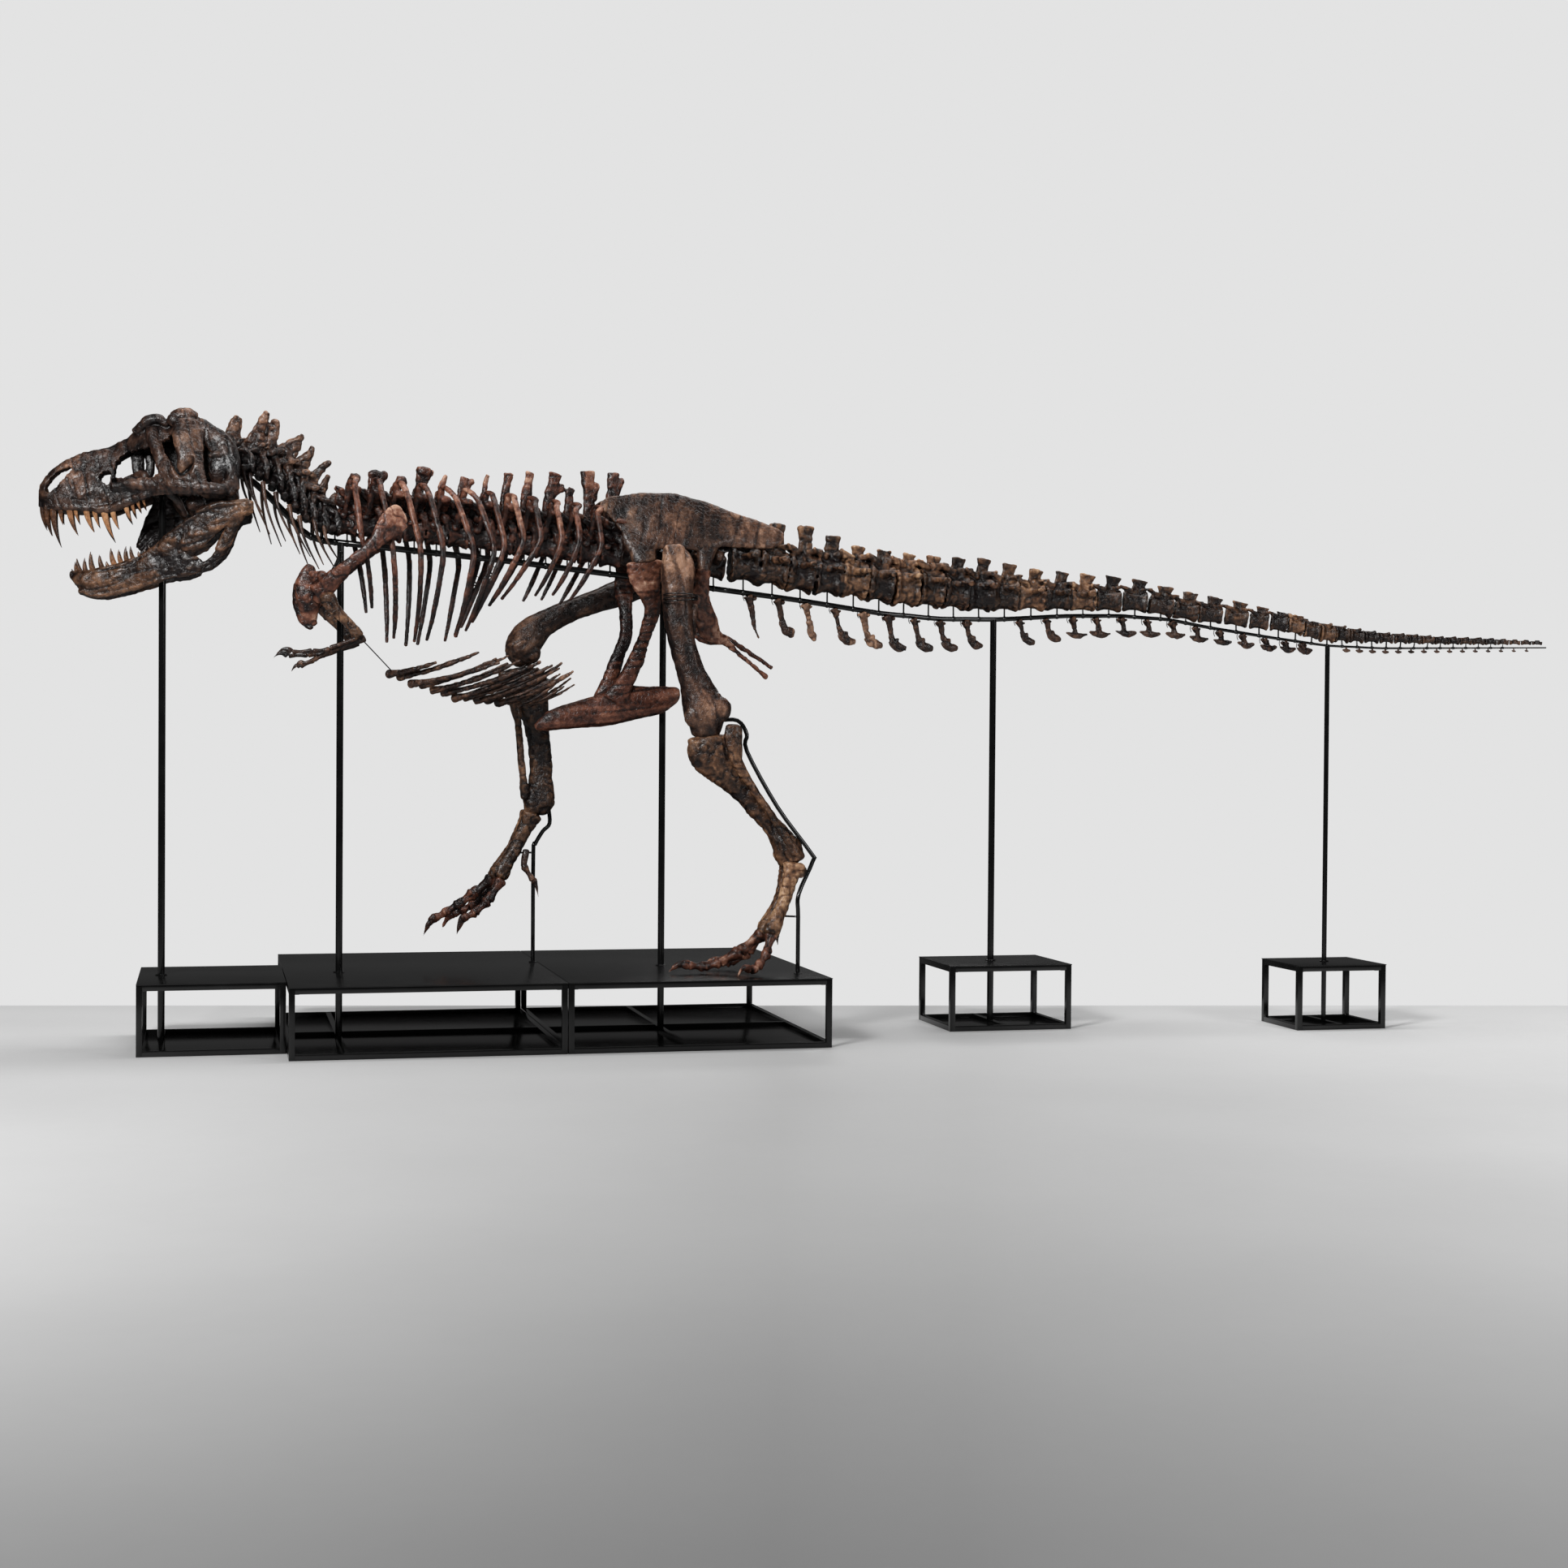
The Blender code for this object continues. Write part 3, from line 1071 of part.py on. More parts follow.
def rail(k, vertebrae, bones):
    """One length of the rail with its posts, and with the chevrons that hang under it."""
    label = RAIL_NAMES[k]
    start, end = RAIL_JOINTS[k], RAIL_JOINTS[k + 1]
    reach = 0.05
    bodies = [rail_tube(start - (reach if k else 0), end + (reach if k < 3 else 0))]
    bodies += [post(v) for v in vertebrae[::2] if start < v["at"].x < min(end, LAST_POST)]
    if label == "trunk":
        x, z, half = HIP_BAR
        bodies.append(hip_bar())
        bodies.append(block(x - 0.015, x + 0.015, -0.015, 0.015, rail_z(x), z))
    for x in even_row(CHEVRONS):
        clear = all(abs(x - px) > 0.11 for px, _ in POLES.values())
        if start < x - 0.05 and x < end - 0.02 and clear:
            bodies += chevron(x)
    if label == "tail_rear":
        for x in even_row(TINY_CHEVRONS):
            bodies.append(tiny_chevron(x))
    cuts = []
    half = GAP / 2
    if k:
        cuts.append(block(start - CUT_LENGTH, start + half, *CUT_ROOM))
    if k < 3:
        cuts.append(block(end - half, end + CUT_LENGTH, *CUT_ROOM))
    return solid("stand_rail_" + label, bodies, PAINT["steel"], cuts, trims=bones)


def whip(vertebrae):
    """The tail's thin end: low knobs in a row, each a disc's width high."""
    rings = []
    for v in vertebrae:
        half = v["ahead"] * (v["pitch"] * 0.22)
        knob = 0.5 * (v["top"].z - v["at"].z + v["high"])
        centre = v["at"] + Vector((0, 0, knob - v["high"]))
        low = v["at"] - v["ahead"] * (v["pitch"] * 0.42)
        rings.append((*low, v["high"] * 0.80, v["high"] * 0.70))
        rings.append((*(centre + half), knob, v["high"] * 1.05))
    return loft(rings, sides=4, axis=(1, 0, 0))


def tail_length(number, vertebrae, before):
    bodies = [whip(vertebrae)]
    if vertebrae[0]["at"].x < SMALL_TAIL:
        bodies = [column(vertebrae)]
        for v in vertebrae:
            bodies += processes(v)
    return solid(f"tail_{number}", bodies, PAINT["dark"], trims=before)


def stand_on_origin():
    """Place every piece so that the origin is the middle of the whole footprint, on the floor."""
    pieces = list(bpy.data.objects)
    xs = [vert.co.x for piece in pieces for vert in piece.data.vertices]
    ys = [vert.co.y for piece in pieces for vert in piece.data.vertices]
    shift = Vector((-(min(xs) + max(xs)) / 2, -(min(ys) + max(ys)) / 2, 0))
    for piece in pieces:
        piece.location = shift


def build():
    clear_scene()
    PAINT["dark"] = material("bone_dark", BONE, 0.38, 0.0)
    PAINT["red"] = material("bone_red", BONE_RED, 0.40, 0.0)
    PAINT["tan"] = material("bone_tan", BONE_TAN, 0.42, 0.0)
    PAINT["steel"] = material("steel_black", STEEL, 0.30, 0.3)
    for name, *box in PLATFORMS:
        platform(name, *box)

    head = skull()
    lower_jaw()
    necks = neck_vertebrae()
    dorsals = trunk_vertebrae()
    sacrals = sacral_vertebrae()
    caudals = tail_vertebrae()
    blades = [ilium(side, sign) for side, sign in LEG_SIGN.items()]
    front = neck("neck_front", necks[:NECK_FRONT_COUNT], [head])
    rear = neck("neck_rear", necks[NECK_FRONT_COUNT:], [front])
    cages = [trunk(side, sign, dorsals, rear) for side, sign in LEG_SIGN.items()]
    middle = sacrum(sacrals, blades + cages)
    bones = [head, front, rear, *cages, middle]
    before = [middle, *blades]
    start = TAIL_START - 0.1
    for number, end in enumerate(TAIL_ENDS, 1):
        length = tail_length(number, [v for v in caudals if start < v["at"].x <= end], before)
        bones.append(length)
        before = [length]
        start = end

    backbone = necks + dorsals + sacrals + caudals
    tails = bones[6:]
    touched = ([head, front, rear], [rear, middle], tails[:3], tails[1:])
    rails = [rail(k, backbone, touched[k]) for k in range(len(RAIL_NAMES))]
    pubis(blades)
    ischium(blades)
    for name in POLES:
        pole(name, [] if name == "head" else rails)
    for (side, sign), cage in zip(LEG_SIGN.items(), cages):
        femur(side)
        tibia(side)
        fibula(side)
        metatarsus(side)
        for number in TOES[side]:
            toe(side, number)
        hallux(side)
        arm(side, cage)
        solid("stand_rod_leg_" + side, [leg_rod_body(side), leg_bar(side)], PAINT["steel"])
    gastralia()
    belly_wire()
    stand_on_origin()


build()
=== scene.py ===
import math

import bmesh
import bpy
import numpy as np
from mathutils import Matrix, Vector


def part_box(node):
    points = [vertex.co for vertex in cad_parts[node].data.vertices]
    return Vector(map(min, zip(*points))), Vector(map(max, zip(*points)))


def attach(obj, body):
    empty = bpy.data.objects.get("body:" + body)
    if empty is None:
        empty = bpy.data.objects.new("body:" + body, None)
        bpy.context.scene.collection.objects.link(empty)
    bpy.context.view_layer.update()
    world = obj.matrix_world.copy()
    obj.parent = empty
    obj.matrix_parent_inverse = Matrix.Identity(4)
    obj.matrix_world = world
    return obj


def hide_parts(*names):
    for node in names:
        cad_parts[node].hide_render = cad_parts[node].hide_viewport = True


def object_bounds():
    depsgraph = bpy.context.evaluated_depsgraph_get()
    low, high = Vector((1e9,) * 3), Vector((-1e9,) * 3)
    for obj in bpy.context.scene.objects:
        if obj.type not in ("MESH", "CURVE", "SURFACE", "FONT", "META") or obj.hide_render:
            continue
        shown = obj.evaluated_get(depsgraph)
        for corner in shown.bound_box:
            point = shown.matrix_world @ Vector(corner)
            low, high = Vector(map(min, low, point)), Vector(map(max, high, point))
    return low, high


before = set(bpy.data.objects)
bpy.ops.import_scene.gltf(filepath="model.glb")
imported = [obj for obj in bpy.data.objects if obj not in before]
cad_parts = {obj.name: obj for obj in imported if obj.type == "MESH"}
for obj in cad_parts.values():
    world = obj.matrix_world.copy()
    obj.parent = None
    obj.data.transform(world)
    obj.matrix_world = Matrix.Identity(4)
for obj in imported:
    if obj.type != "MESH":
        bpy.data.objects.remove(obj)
CAD_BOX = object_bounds()

# The bones are written in the animal's own frame: it looks towards -X, its left side faces -Y.
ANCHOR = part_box("stand_base_main_front")[0]
SHIFT = np.array([ANCHOR.x + 4.040, ANCHOR.y + 1.010, 0.0])
CAD_LOW, CAD_HIGH = (np.array([float(v) for v in corner]) for corner in CAD_BOX)


# ---------------------------------------------------------------- mesh tools
def mm(*rows):
    """Millimetres, in rows however deep, as tuples of metres."""
    return tuple(mm(*row) if isinstance(row, tuple) else row / 1000 for row in rows)


def unit(v):
    v = np.asarray(v, float)
    return v / np.linalg.norm(v)


def spline(rows, per=6):
    """Catmull-Rom curve through rows of numbers."""
    rows = np.asarray(rows, float)
    if len(rows) == 2:
        return rows[0] + (rows[1] - rows[0]) * np.linspace(0, 1, per + 1)[:, None]
    ends = np.vstack([2 * rows[0] - rows[1], rows, 2 * rows[-1] - rows[-2]])
    t = np.linspace(0, 1, per, endpoint=False)[:, None]
    out = []
    for a, b, c, d in zip(ends, ends[1:], ends[2:], ends[3:]):
        out.append(0.5 * (2 * b + (c - a) * t + (2 * a - 5 * b + 4 * c - d) * t ** 2
                          + (3 * b - a - 3 * c + d) * t ** 3))
    out.append(rows[-1:])
    return np.vstack(out)


def profile(x, table):
    """Smooth value at x of a table of (x, value) rows."""
    if x <= table[0][0]:
        return table[0][1]
    for (xa, va), (xb, vb) in zip(table, table[1:]):
        if x <= xb:
            t = (x - xa) / (xb - xa)
            t = t * t * (3 - 2 * t) * 0.5 + t * 0.5
            return va + (vb - va) * t
    return table[-1][1]


def skin(loops, caps=True):
    """Triangles over a stack of loops, (rings, corners, 3)."""
    rings, count, _ = loops.shape
    verts = loops.reshape(-1, 3)
    k = np.arange(count)
    j = (k + 1) % count
    tris = []
    for i in range(rings - 1):
        a, b = i * count, (i + 1) * count
        tris.append(np.stack([a + k, a + j, b + j], 1))
        tris.append(np.stack([a + k, b + j, b + k], 1))
    if caps:
        first, last = len(verts), len(verts) + 1
        verts = np.vstack([verts, loops[0].mean(0), loops[-1].mean(0)])
        b = (rings - 1) * count
        tris.append(np.stack([np.full(count, first), j, k], 1))
        tris.append(np.stack([np.full(count, last), b + k, b + j], 1))
    return verts, np.vstack(tris)


def sweep(rows, across=(0, 1, 0), seg=18, per=6, power=2.0, cap=0.6, axis=None, up=None, warp=None):
    """A smooth closed body through oval rings (x, y, z, half up, half side).

    cap is how far each end bulges, over its mean half size; warp(share, angles) scales the section.
    """
    rows = spline(rows, per)
    rows[:, 3:] = np.maximum(rows[:, 3:], 0.0015)
    centre = rows[:, :3]
    ahead = np.gradient(centre, axis=0)
    ahead /= np.linalg.norm(ahead, axis=1)[:, None]
    if axis is not None:
        ahead = np.tile(unit(axis), (len(rows), 1))
    if up is not None:
        side = np.cross(ahead, np.asarray(up, float))
    else:
        side = np.tile(np.asarray(across, float), (len(rows), 1))
    side = side - ahead * (side * ahead).sum(1)[:, None]
    side /= np.linalg.norm(side, axis=1)[:, None]
    rise = np.cross(side, ahead)
    angles = np.arange(seg) * (2 * math.pi / seg)
    c, s = np.cos(angles), np.sin(angles)
    r = (np.abs(c) ** power + np.abs(s) ** power) ** (-1 / power)
    loops = []
    count = len(rows)
    for i in range(count):
        scale = r if warp is None else r * warp(i / (count - 1), angles)
        loops.append(centre[i] + np.outer(c * scale * rows[i, 3], rise[i])
                     + np.outer(s * scale * rows[i, 4], side[i]))
    loops = np.array(loops)
    if cap > 0:
        steps = (0.35, 0.7, 0.92)
        head, tail = [], []
        for end, store, way in ((0, head, -1), (-1, tail, 1)):
            reach = cap * 0.5 * (rows[end, 3] + rows[end, 4])
            for share in steps:
                shrink = math.sqrt(1 - share ** 2)
                store.append(centre[end] + ahead[end] * (way * reach * share)
                             + (loops[end] - centre[end]) * shrink)
        loops = np.array(head[::-1] + list(loops) + tail)
    return skin(loops)


def blob(centre, radii, axes=None, seg=16):
    """A closed oval lump."""
    axes = np.eye(3) if axes is None else np.asarray(axes, float)
    lat = np.linspace(-0.5 * math.pi, 0.5 * math.pi, seg // 2 + 1)[1:-1]
    a = np.arange(seg) * (2 * math.pi / seg)
    loops = []
    for t in lat:
        local = np.stack([np.full(seg, math.sin(t)), math.cos(t) * np.cos(a),
                          math.cos(t) * np.sin(a)], 1)
        loops.append(np.asarray(centre, float) + (local * radii) @ axes)
    return skin(np.array(loops))


def rod(*rows, **more):
    """A sweep whose rings are in millimetres."""
    return sweep(mm(*rows), **more)


def lump(*sizes):
    """A blob from its centre and half sizes in millimetres."""
    return blob(mm(*sizes[:3]), mm(*sizes[3:]))


def mirror(body):
    verts, tris = body
    return verts * (1, -1, 1), tris[:, ::-1]


def both(bodies):
    return list(bodies) + [mirror(b) for b in bodies]


def sided(bodies, sign):
    """Bodies are written for the left side, where y is negative."""
    return list(bodies) if sign < 0 else [mirror(b) for b in bodies]


def joined(bodies):
    verts, tris, start = [], [], 0
    for v, t in bodies:
        verts.append(v)
        tris.append(t + start)
        start += len(v)
    return np.vstack(verts), np.vstack(tris)


def solid_mesh(name, bodies):
    """A mesh of all the bodies."""
    verts, tris = joined(bodies)
    mesh = bpy.data.meshes.new(name)
    mesh.vertices.add(len(verts))
    mesh.vertices.foreach_set("co", np.asarray(verts, np.float32).ravel())
    mesh.loops.add(3 * len(tris))
    mesh.loops.foreach_set("vertex_index", np.asarray(tris, np.int32).ravel())
    mesh.polygons.add(len(tris))
    mesh.polygons.foreach_set("loop_start", np.arange(0, 3 * len(tris), 3, dtype=np.int32))
    mesh.update(calc_edges=True)
    mesh.validate()
    return mesh


HASH_STEPS = (73856093, 19349663, 83492791)
HASH_SEED = 7919
HASH_STIR = 73244475


def noise(co, size, seed):
    """Smooth noise from -1 to 1 with hills about size across."""
    cell = co / size
    corner = np.floor(cell).astype(np.int64)
    part = cell - corner
    part = part * part * (3 - 2 * part)
    total = np.zeros(len(co))
    for k in range(8):
        step = np.array([k & 1, k >> 1 & 1, k >> 2 & 1])
        key = (((corner + step) * HASH_STEPS).sum(1) + seed * HASH_SEED) & 0xffffffff
        key = ((key ^ (key >> 15)) * HASH_STIR) & 0xffffffff
        key = ((key ^ (key >> 13)) * HASH_STIR) & 0xffffffff
        total += ((key & 0xffff) / 32767.5 - 1) * np.where(step, part, 1 - part).prod(1)
    return total


def through(name, mesh, *modifiers):
    """The mesh after its modifiers, each a name, a kind and its settings. The old mesh goes."""
    thing = bpy.data.objects.new(name, mesh)
    bpy.context.collection.objects.link(thing)
    for label, kind, settings in modifiers:
        one = thing.modifiers.new(label, kind)
        for key, value in settings.items():
            setattr(one, key, value)
    graph = bpy.context.evaluated_depsgraph_get()
    made = bpy.data.meshes.new_from_object(thing.evaluated_get(graph))
    bpy.data.objects.remove(thing, do_unlink=True)
    bpy.data.meshes.remove(mesh)
    made.name = name
    return made


HILL_SIZE, HILL_HIGH = 0.13, 0.0042
KNOT_SIZES, KNOT_HIGH = (0.052, 0.023), 0.0042
CRACK_SIZE, CRACK_DEEP = 0.060, 0.0032
LINE_SIZE, LINE_HIGH = 0.021, 0.0016
STRETCH = 0.84              # how far cracks and lines are drawn out along the grain
KEPT = 0.66                 # share of the triangles that a melted skin keeps
MOST_TRIANGLES = 186000     # in one piece


def fused(name, bodies, voxel, smooth=3, rough=1.0, grain=None):
    """The bodies melted into one skin, with hills, knots and cracks. Returns a mesh.

    rough is a number, or a function of the points; cracks run along grain.
    """
    made = through(name, solid_mesh(name + "_raw", bodies),
                   ("melt", "REMESH", {"mode": "VOXEL", "voxel_size": voxel}),
                   ("relax", "SMOOTH", {"factor": 0.5, "iterations": smooth}))
    co = coords(made)
    normals = np.zeros(co.size, np.float32)
    made.vertices.foreach_get("normal", normals)
    long = co
    if grain is not None:
        grain = unit(grain)
        long = co - np.outer(co @ grain, grain) * STRETCH
    hills = noise(co, HILL_SIZE, 1)
    knots = 0.6 * noise(co, KNOT_SIZES[0], 2) + 0.5 * noise(co, KNOT_SIZES[1], 3)
    cracks = np.minimum(3.5 * np.abs(noise(long, CRACK_SIZE, 4)), 1) - 0.7
    lines = noise(long, LINE_SIZE, 5)
    rise = HILL_HIGH * hills + KNOT_HIGH * knots + CRACK_DEEP * cracks + LINE_HIGH * lines
    depth = rough(co) if callable(rough) else rough
    co += normals.reshape(-1, 3) * (depth * rise)[:, None]
    set_coords(made, co)
    # The relief also goes into the colour: paler on raised knots and darker in sunk cracks and lines. This is
    # painted light and shade, together with the dark of real cracks.
    set_values(made, "relief", 0.13 * knots + 0.20 * cracks + 0.10 * lines - 0.03)
    made.calc_loop_triangles()
    share = min(KEPT, MOST_TRIANGLES / len(made.loop_triangles))
    return through(name, made, ("fewer", "DECIMATE", {"ratio": share}))


def coords(mesh):
    co = np.zeros(len(mesh.vertices) * 3, np.float32)
    mesh.vertices.foreach_get("co", co)
    return co.reshape(-1, 3).astype(float)


def set_coords(mesh, co):
    mesh.vertices.foreach_set("co", co.astype(np.float32).ravel())
    mesh.update()


def set_values(mesh, name, values):
    """One number for each point, for the paints to read."""
    mesh.attributes.new(name, "FLOAT", "POINT").data.foreach_set("value", values.astype(np.float32))


def dress(name, mesh, paint, nodes=(), tint=None):
    """A finished piece: smooth, painted, riding on the one body, standing for its CAD nodes."""
    co = coords(mesh)
    if tint is not None:
        values = np.asarray(tint(co), float)
        # The relief's painted light and shade joins the tint here.
        if "relief" in mesh.attributes:
            relief = np.zeros(len(co), np.float32)
            mesh.attributes["relief"].data.foreach_get("value", relief)
            values = values + relief
            mesh.attributes.remove(mesh.attributes["relief"])
        set_values(mesh, "tint", np.clip(values, 0, 1))
    set_coords(mesh, np.clip(co + SHIFT, CAD_LOW, CAD_HIGH))
    mesh.shade_smooth()
    mesh.materials.clear()
    mesh.materials.append(paint)
    piece = bpy.data.objects.new(name, mesh)
    bpy.context.collection.objects.link(piece)
    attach(piece, "root")
    if nodes:
        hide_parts(*nodes)
    return piece


def bone(name, bodies, slot, tint, voxel, smooth, rough=1.0, grain=None, paint=None):
    """A melted bone that stands for the node of its own name."""
    mesh = fused(name, bodies, voxel, smooth, rough, grain)
    return dress(name, mesh, paint or PAINTS[slot], [name], tint)


def bump_at(co, centre, radius):
    """A soft spot round a place, alike on both sides."""
    away = np.stack([co[:, 0] - centre[0], np.abs(co[:, 1]) - abs(centre[1]), co[:, 2] - centre[2]], 1)
    return np.exp(-(away ** 2).sum(1) / (radius * radius))


def spots(co, *rows):
    """Soft spots added up: place and radius in millimetres, then strength."""
    return sum(strength * bump_at(co, mm(*at), radius / 1000) for *at, radius, strength in rows)


def ramp_up(value, start, length):
    """0 before start, 1 from start + length on."""
    return np.clip((value - start) / length, 0, 1)


# ---------------------------------------------------------------- paints
class Paint:
    """A material, with short calls that add its nodes."""

    def __init__(self, name):
        self.made = bpy.data.materials.new(name)
        self.made.use_nodes = True
        self.nodes, self.links = self.made.node_tree.nodes, self.made.node_tree.links
        self.shader = self.nodes["Principled BSDF"]
        self.place = self.nodes.new("ShaderNodeTexCoord").outputs["Object"]

    def feed(self, sockets, values):
        """Numbers, colours or the outputs of other nodes into named sockets."""
        for key, value in values.items():
            if isinstance(value, bpy.types.NodeSocket):
                self.links.new(value, sockets[key])
            else:
                sockets[key].default_value = value

    def add(self, kind, values, **settings):
        one = self.nodes.new("ShaderNode" + kind)
        for key, value in settings.items():
            setattr(one, key, value)
        self.feed(one.inputs, values)
        return one

    def noise(self, scale, detail=2.0, roughness=0.5):
        """Soft noise over the surface, about 0.5."""
        sizes = {"Vector": self.place, "Scale": scale, "Detail": detail, "Roughness": roughness}
        return self.add("TexNoise", sizes).outputs["Fac"]

    def maths(self, kind, first, second):
        return self.add("Math", {0: first, 1: second}, operation=kind).outputs[0]

    def sway(self, value, reach):
        """A value about 0.5 made to swing about zero."""
        return self.maths("MULTIPLY", self.maths("SUBTRACT", value, 0.5), reach)

    def ramp(self, level, stops):
        """Colours over a level, from (level, colour) stops."""
        one = self.add("ValToRGB", {"Fac": level})
        band = one.color_ramp.elements
        for k, (at, colour) in ((0, stops[0]), (1, stops[-1])):
            band[k].position, band[k].color = at, (*colour, 1)
        for at, colour in stops[1:-1]:
            band.new(at).color = (*colour, 1)
        return one.outputs["Color"]

    def finish(self, height, strength, distance, looks):
        """The bump and the shader's own inputs. Returns the material."""
        relief = self.add("Bump", {"Height": height, "Strength": strength, "Distance": distance})
        self.feed(self.shader.inputs, {"Normal": relief.outputs["Normal"], **looks})
        return self.made


PURPLE = (0.95, 0.78, 0.80, 1)


def bone_paint(name, stops, shine=0.29, bump=0.60):
    """Fossil bone: colours run from painted shade in the hollows to paler edges, with mineral patches and
    fine cracks.
    """
    paint = Paint(name)
    patch, grain = paint.noise(6.5, 5.0, 0.62), paint.noise(46.0, 6.0, 0.66)
    fine, hue = paint.noise(170.0, 4.0, 0.6), paint.noise(3.1, 3.0)
    crack = paint.add("TexVoronoi", {"Vector": paint.place, "Scale": 34.0}, feature="DISTANCE_TO_EDGE")
    # Pointiness puts painted shade into the hollows and makes the edges paler.
    hollow_shade_and_edges = paint.nodes.new("ShaderNodeNewGeometry").outputs["Pointiness"]
    level = paint.add("Attribute", {}, attribute_name="tint").outputs["Fac"]
    for value, reach in ((patch, 0.95), (grain, 0.62), (hollow_shade_and_edges, 3.4)):
        level = paint.maths("ADD", level, paint.sway(value, reach))
    blend = {"A": paint.ramp(level, stops), "B": PURPLE, "Factor": paint.maths("MULTIPLY", hue, 1.1)}
    colour = paint.add("Mix", blend, data_type="RGBA", blend_type="MULTIPLY").outputs["Result"]
    edge = paint.maths("MINIMUM", paint.maths("MULTIPLY", crack.outputs["Distance"], 5.0), 0.5)
    height = paint.maths("ADD", paint.maths("MULTIPLY", fine, 0.5), edge)
    gloss = paint.maths("ADD", paint.maths("MULTIPLY", grain, 0.34), shine - 0.14)
    looks = {"Base Color": colour, "Roughness": gloss, "Specular IOR Level": 0.25, "Coat Weight": 0.07,
             "Coat Roughness": 0.14}
    return paint.finish(paint.maths("ADD", height, grain), bump, 0.004, looks)


def steel_paint(name, colour, rough, waves):
    """Black gloss paint over steel, with the faint waves and dust of a brushed coat."""
    paint = Paint(name)
    wave, dust = paint.noise(5.0), paint.noise(7.0, 3.0)
    dusty = [v * 1.8 + 0.001 for v in colour]
    gloss = paint.add("MapRange", {"Value": dust, "To Min": rough * 0.9, "To Max": rough * 1.15})
    looks = {"Base Color": paint.ramp(dust, ((0.35, colour), (0.75, dusty))),
             "Roughness": gloss.outputs["Result"], "Specular IOR Level": 0.35}
    return paint.finish(wave, waves, 0.01, looks)


DARK_STOPS = (
    (0.10, (0.003, 0.002, 0.002)), (0.30, (0.013, 0.007, 0.005)), (0.50, (0.042, 0.023, 0.015)),
    (0.70, (0.112, 0.062, 0.037)), (0.96, (0.340, 0.215, 0.135)))
RED_STOPS = ((0.10, (0.004, 0.002, 0.002)), (0.30, (0.016, 0.007, 0.005)), (0.50, (0.064, 0.024, 0.014)),
             (0.70, (0.160, 0.068, 0.040)), (0.96, (0.410, 0.265, 0.180)))
TAN_STOPS = ((0.10, (0.004, 0.002, 0.002)), (0.30, (0.022, 0.012, 0.007)), (0.50, (0.074, 0.039, 0.021)),
             (0.70, (0.190, 0.105, 0.054)), (0.96, (0.460, 0.310, 0.175)))
TOOTH_STOPS = ((0.05, (0.010, 0.006, 0.005)), (0.35, (0.060, 0.030, 0.016)), (0.60, (0.250, 0.125, 0.056)),
               (0.95, (0.560, 0.350, 0.180)))
PAINTS = {
    "bone_dark": bone_paint("bone_dark_paint", DARK_STOPS),
    "bone_red": bone_paint("bone_red_paint", RED_STOPS),
    "bone_tan": bone_paint("bone_tan_paint", TAN_STOPS),
}
TOOTH = bone_paint("tooth_paint", TOOTH_STOPS, 0.24, 0.25)
STEEL = steel_paint("steel_black_paint", (0.0022, 0.0022, 0.0022), 0.15, 0.02)
SHEET = steel_paint("steel_sheet_paint", (0.004, 0.004, 0.004), 0.20, 0.04)


# ---------------------------------------------------------------- skull
# x, z low, z high, half width low, half width high
SKULL = mm(
    (-5698, 3768, 3850, 28, 20), (-5686, 3728, 3885, 52, 30), (-5655, 3700, 3930, 78, 42),
    (-5600, 3694, 3990, 100, 52), (-5520, 3694, 4048, 120, 58), (-5414, 3694, 4090, 140, 62),
    (-5291, 3684, 4128, 156, 68), (-5219, 3688, 4145, 166, 74), (-5137, 3718, 4193, 186, 82),
    (-5075, 3744, 4250, 204, 96), (-5034, 3760, 4305, 218, 110), (-4972, 3786, 4346, 244, 126),
    (-4920, 3800, 4354, 272, 142), (-4848, 3806, 4334, 304, 158), (-4800, 3808, 4360, 330, 176),
    (-4740, 3808, 4385, 352, 192), (-4680, 3806, 4385, 366, 200), (-4600, 3808, 4350, 374, 200),
    (-4530, 3816, 4310, 374, 194), (-4471, 3826, 4262, 368, 184), (-4410, 3850, 4205, 342, 168),
    (-4372, 3880, 4165, 310, 150))
NARIS = mm(
    (-5652, 3823), (-5652, 3862), (-5630, 3905), (-5585, 3952), (-5525, 3990), (-5460, 4004), (-5494, 3961),
    (-5545, 3906), (-5590, 3857), (-5625, 3821))
MAXILLARY = mm(
    (-5296, 3916), (-5280, 3959), (-5249, 3976), (-5223, 3964), (-5224, 3918), (-5233, 3876),
    (-5265, 3888))
SMALL_WINDOW = mm(
    (-5203, 3926), (-5184, 3919), (-5172, 3880), (-5182, 3858), (-5207, 3866), (-5215, 3894))
ANTORBITAL = mm(
    (-5199, 3994), (-5184, 4042), (-5133, 4094), (-5072, 4121), (-4979, 4140), (-4957, 4132), (-4946, 4088),
    (-4917, 4010), (-4894, 3952), (-4968, 3920), (-5030, 3925), (-5071, 3940), (-5132, 3925), (-5173, 3922),
    (-5196, 3952))
ORBIT = mm(
    (-4880, 4162), (-4860, 4192), (-4815, 4222), (-4795, 4190), (-4790, 4140), (-4770, 4085), (-4710, 4070),
    (-4664, 4060), (-4668, 3990), (-4690, 3945), (-4740, 3926), (-4790, 3945), (-4828, 4031),
    (-4859, 4094))
TEMPORAL = mm(
    (-4622, 4235), (-4576, 4250), (-4504, 4206), (-4440, 4115), (-4418, 4040), (-4430, 3943), (-4461, 3889),
    (-4534, 3868), (-4577, 3890), (-4598, 4022), (-4612, 4106))
WINDOWS = (NARIS, MAXILLARY, SMALL_WINDOW, ANTORBITAL, ORBIT, TEMPORAL)
ROOF_HOLE = (-4.565, 0.098, 0.078, 0.052)      # centre x, y and half sizes of the hole in the roof
SHELL = 0.030


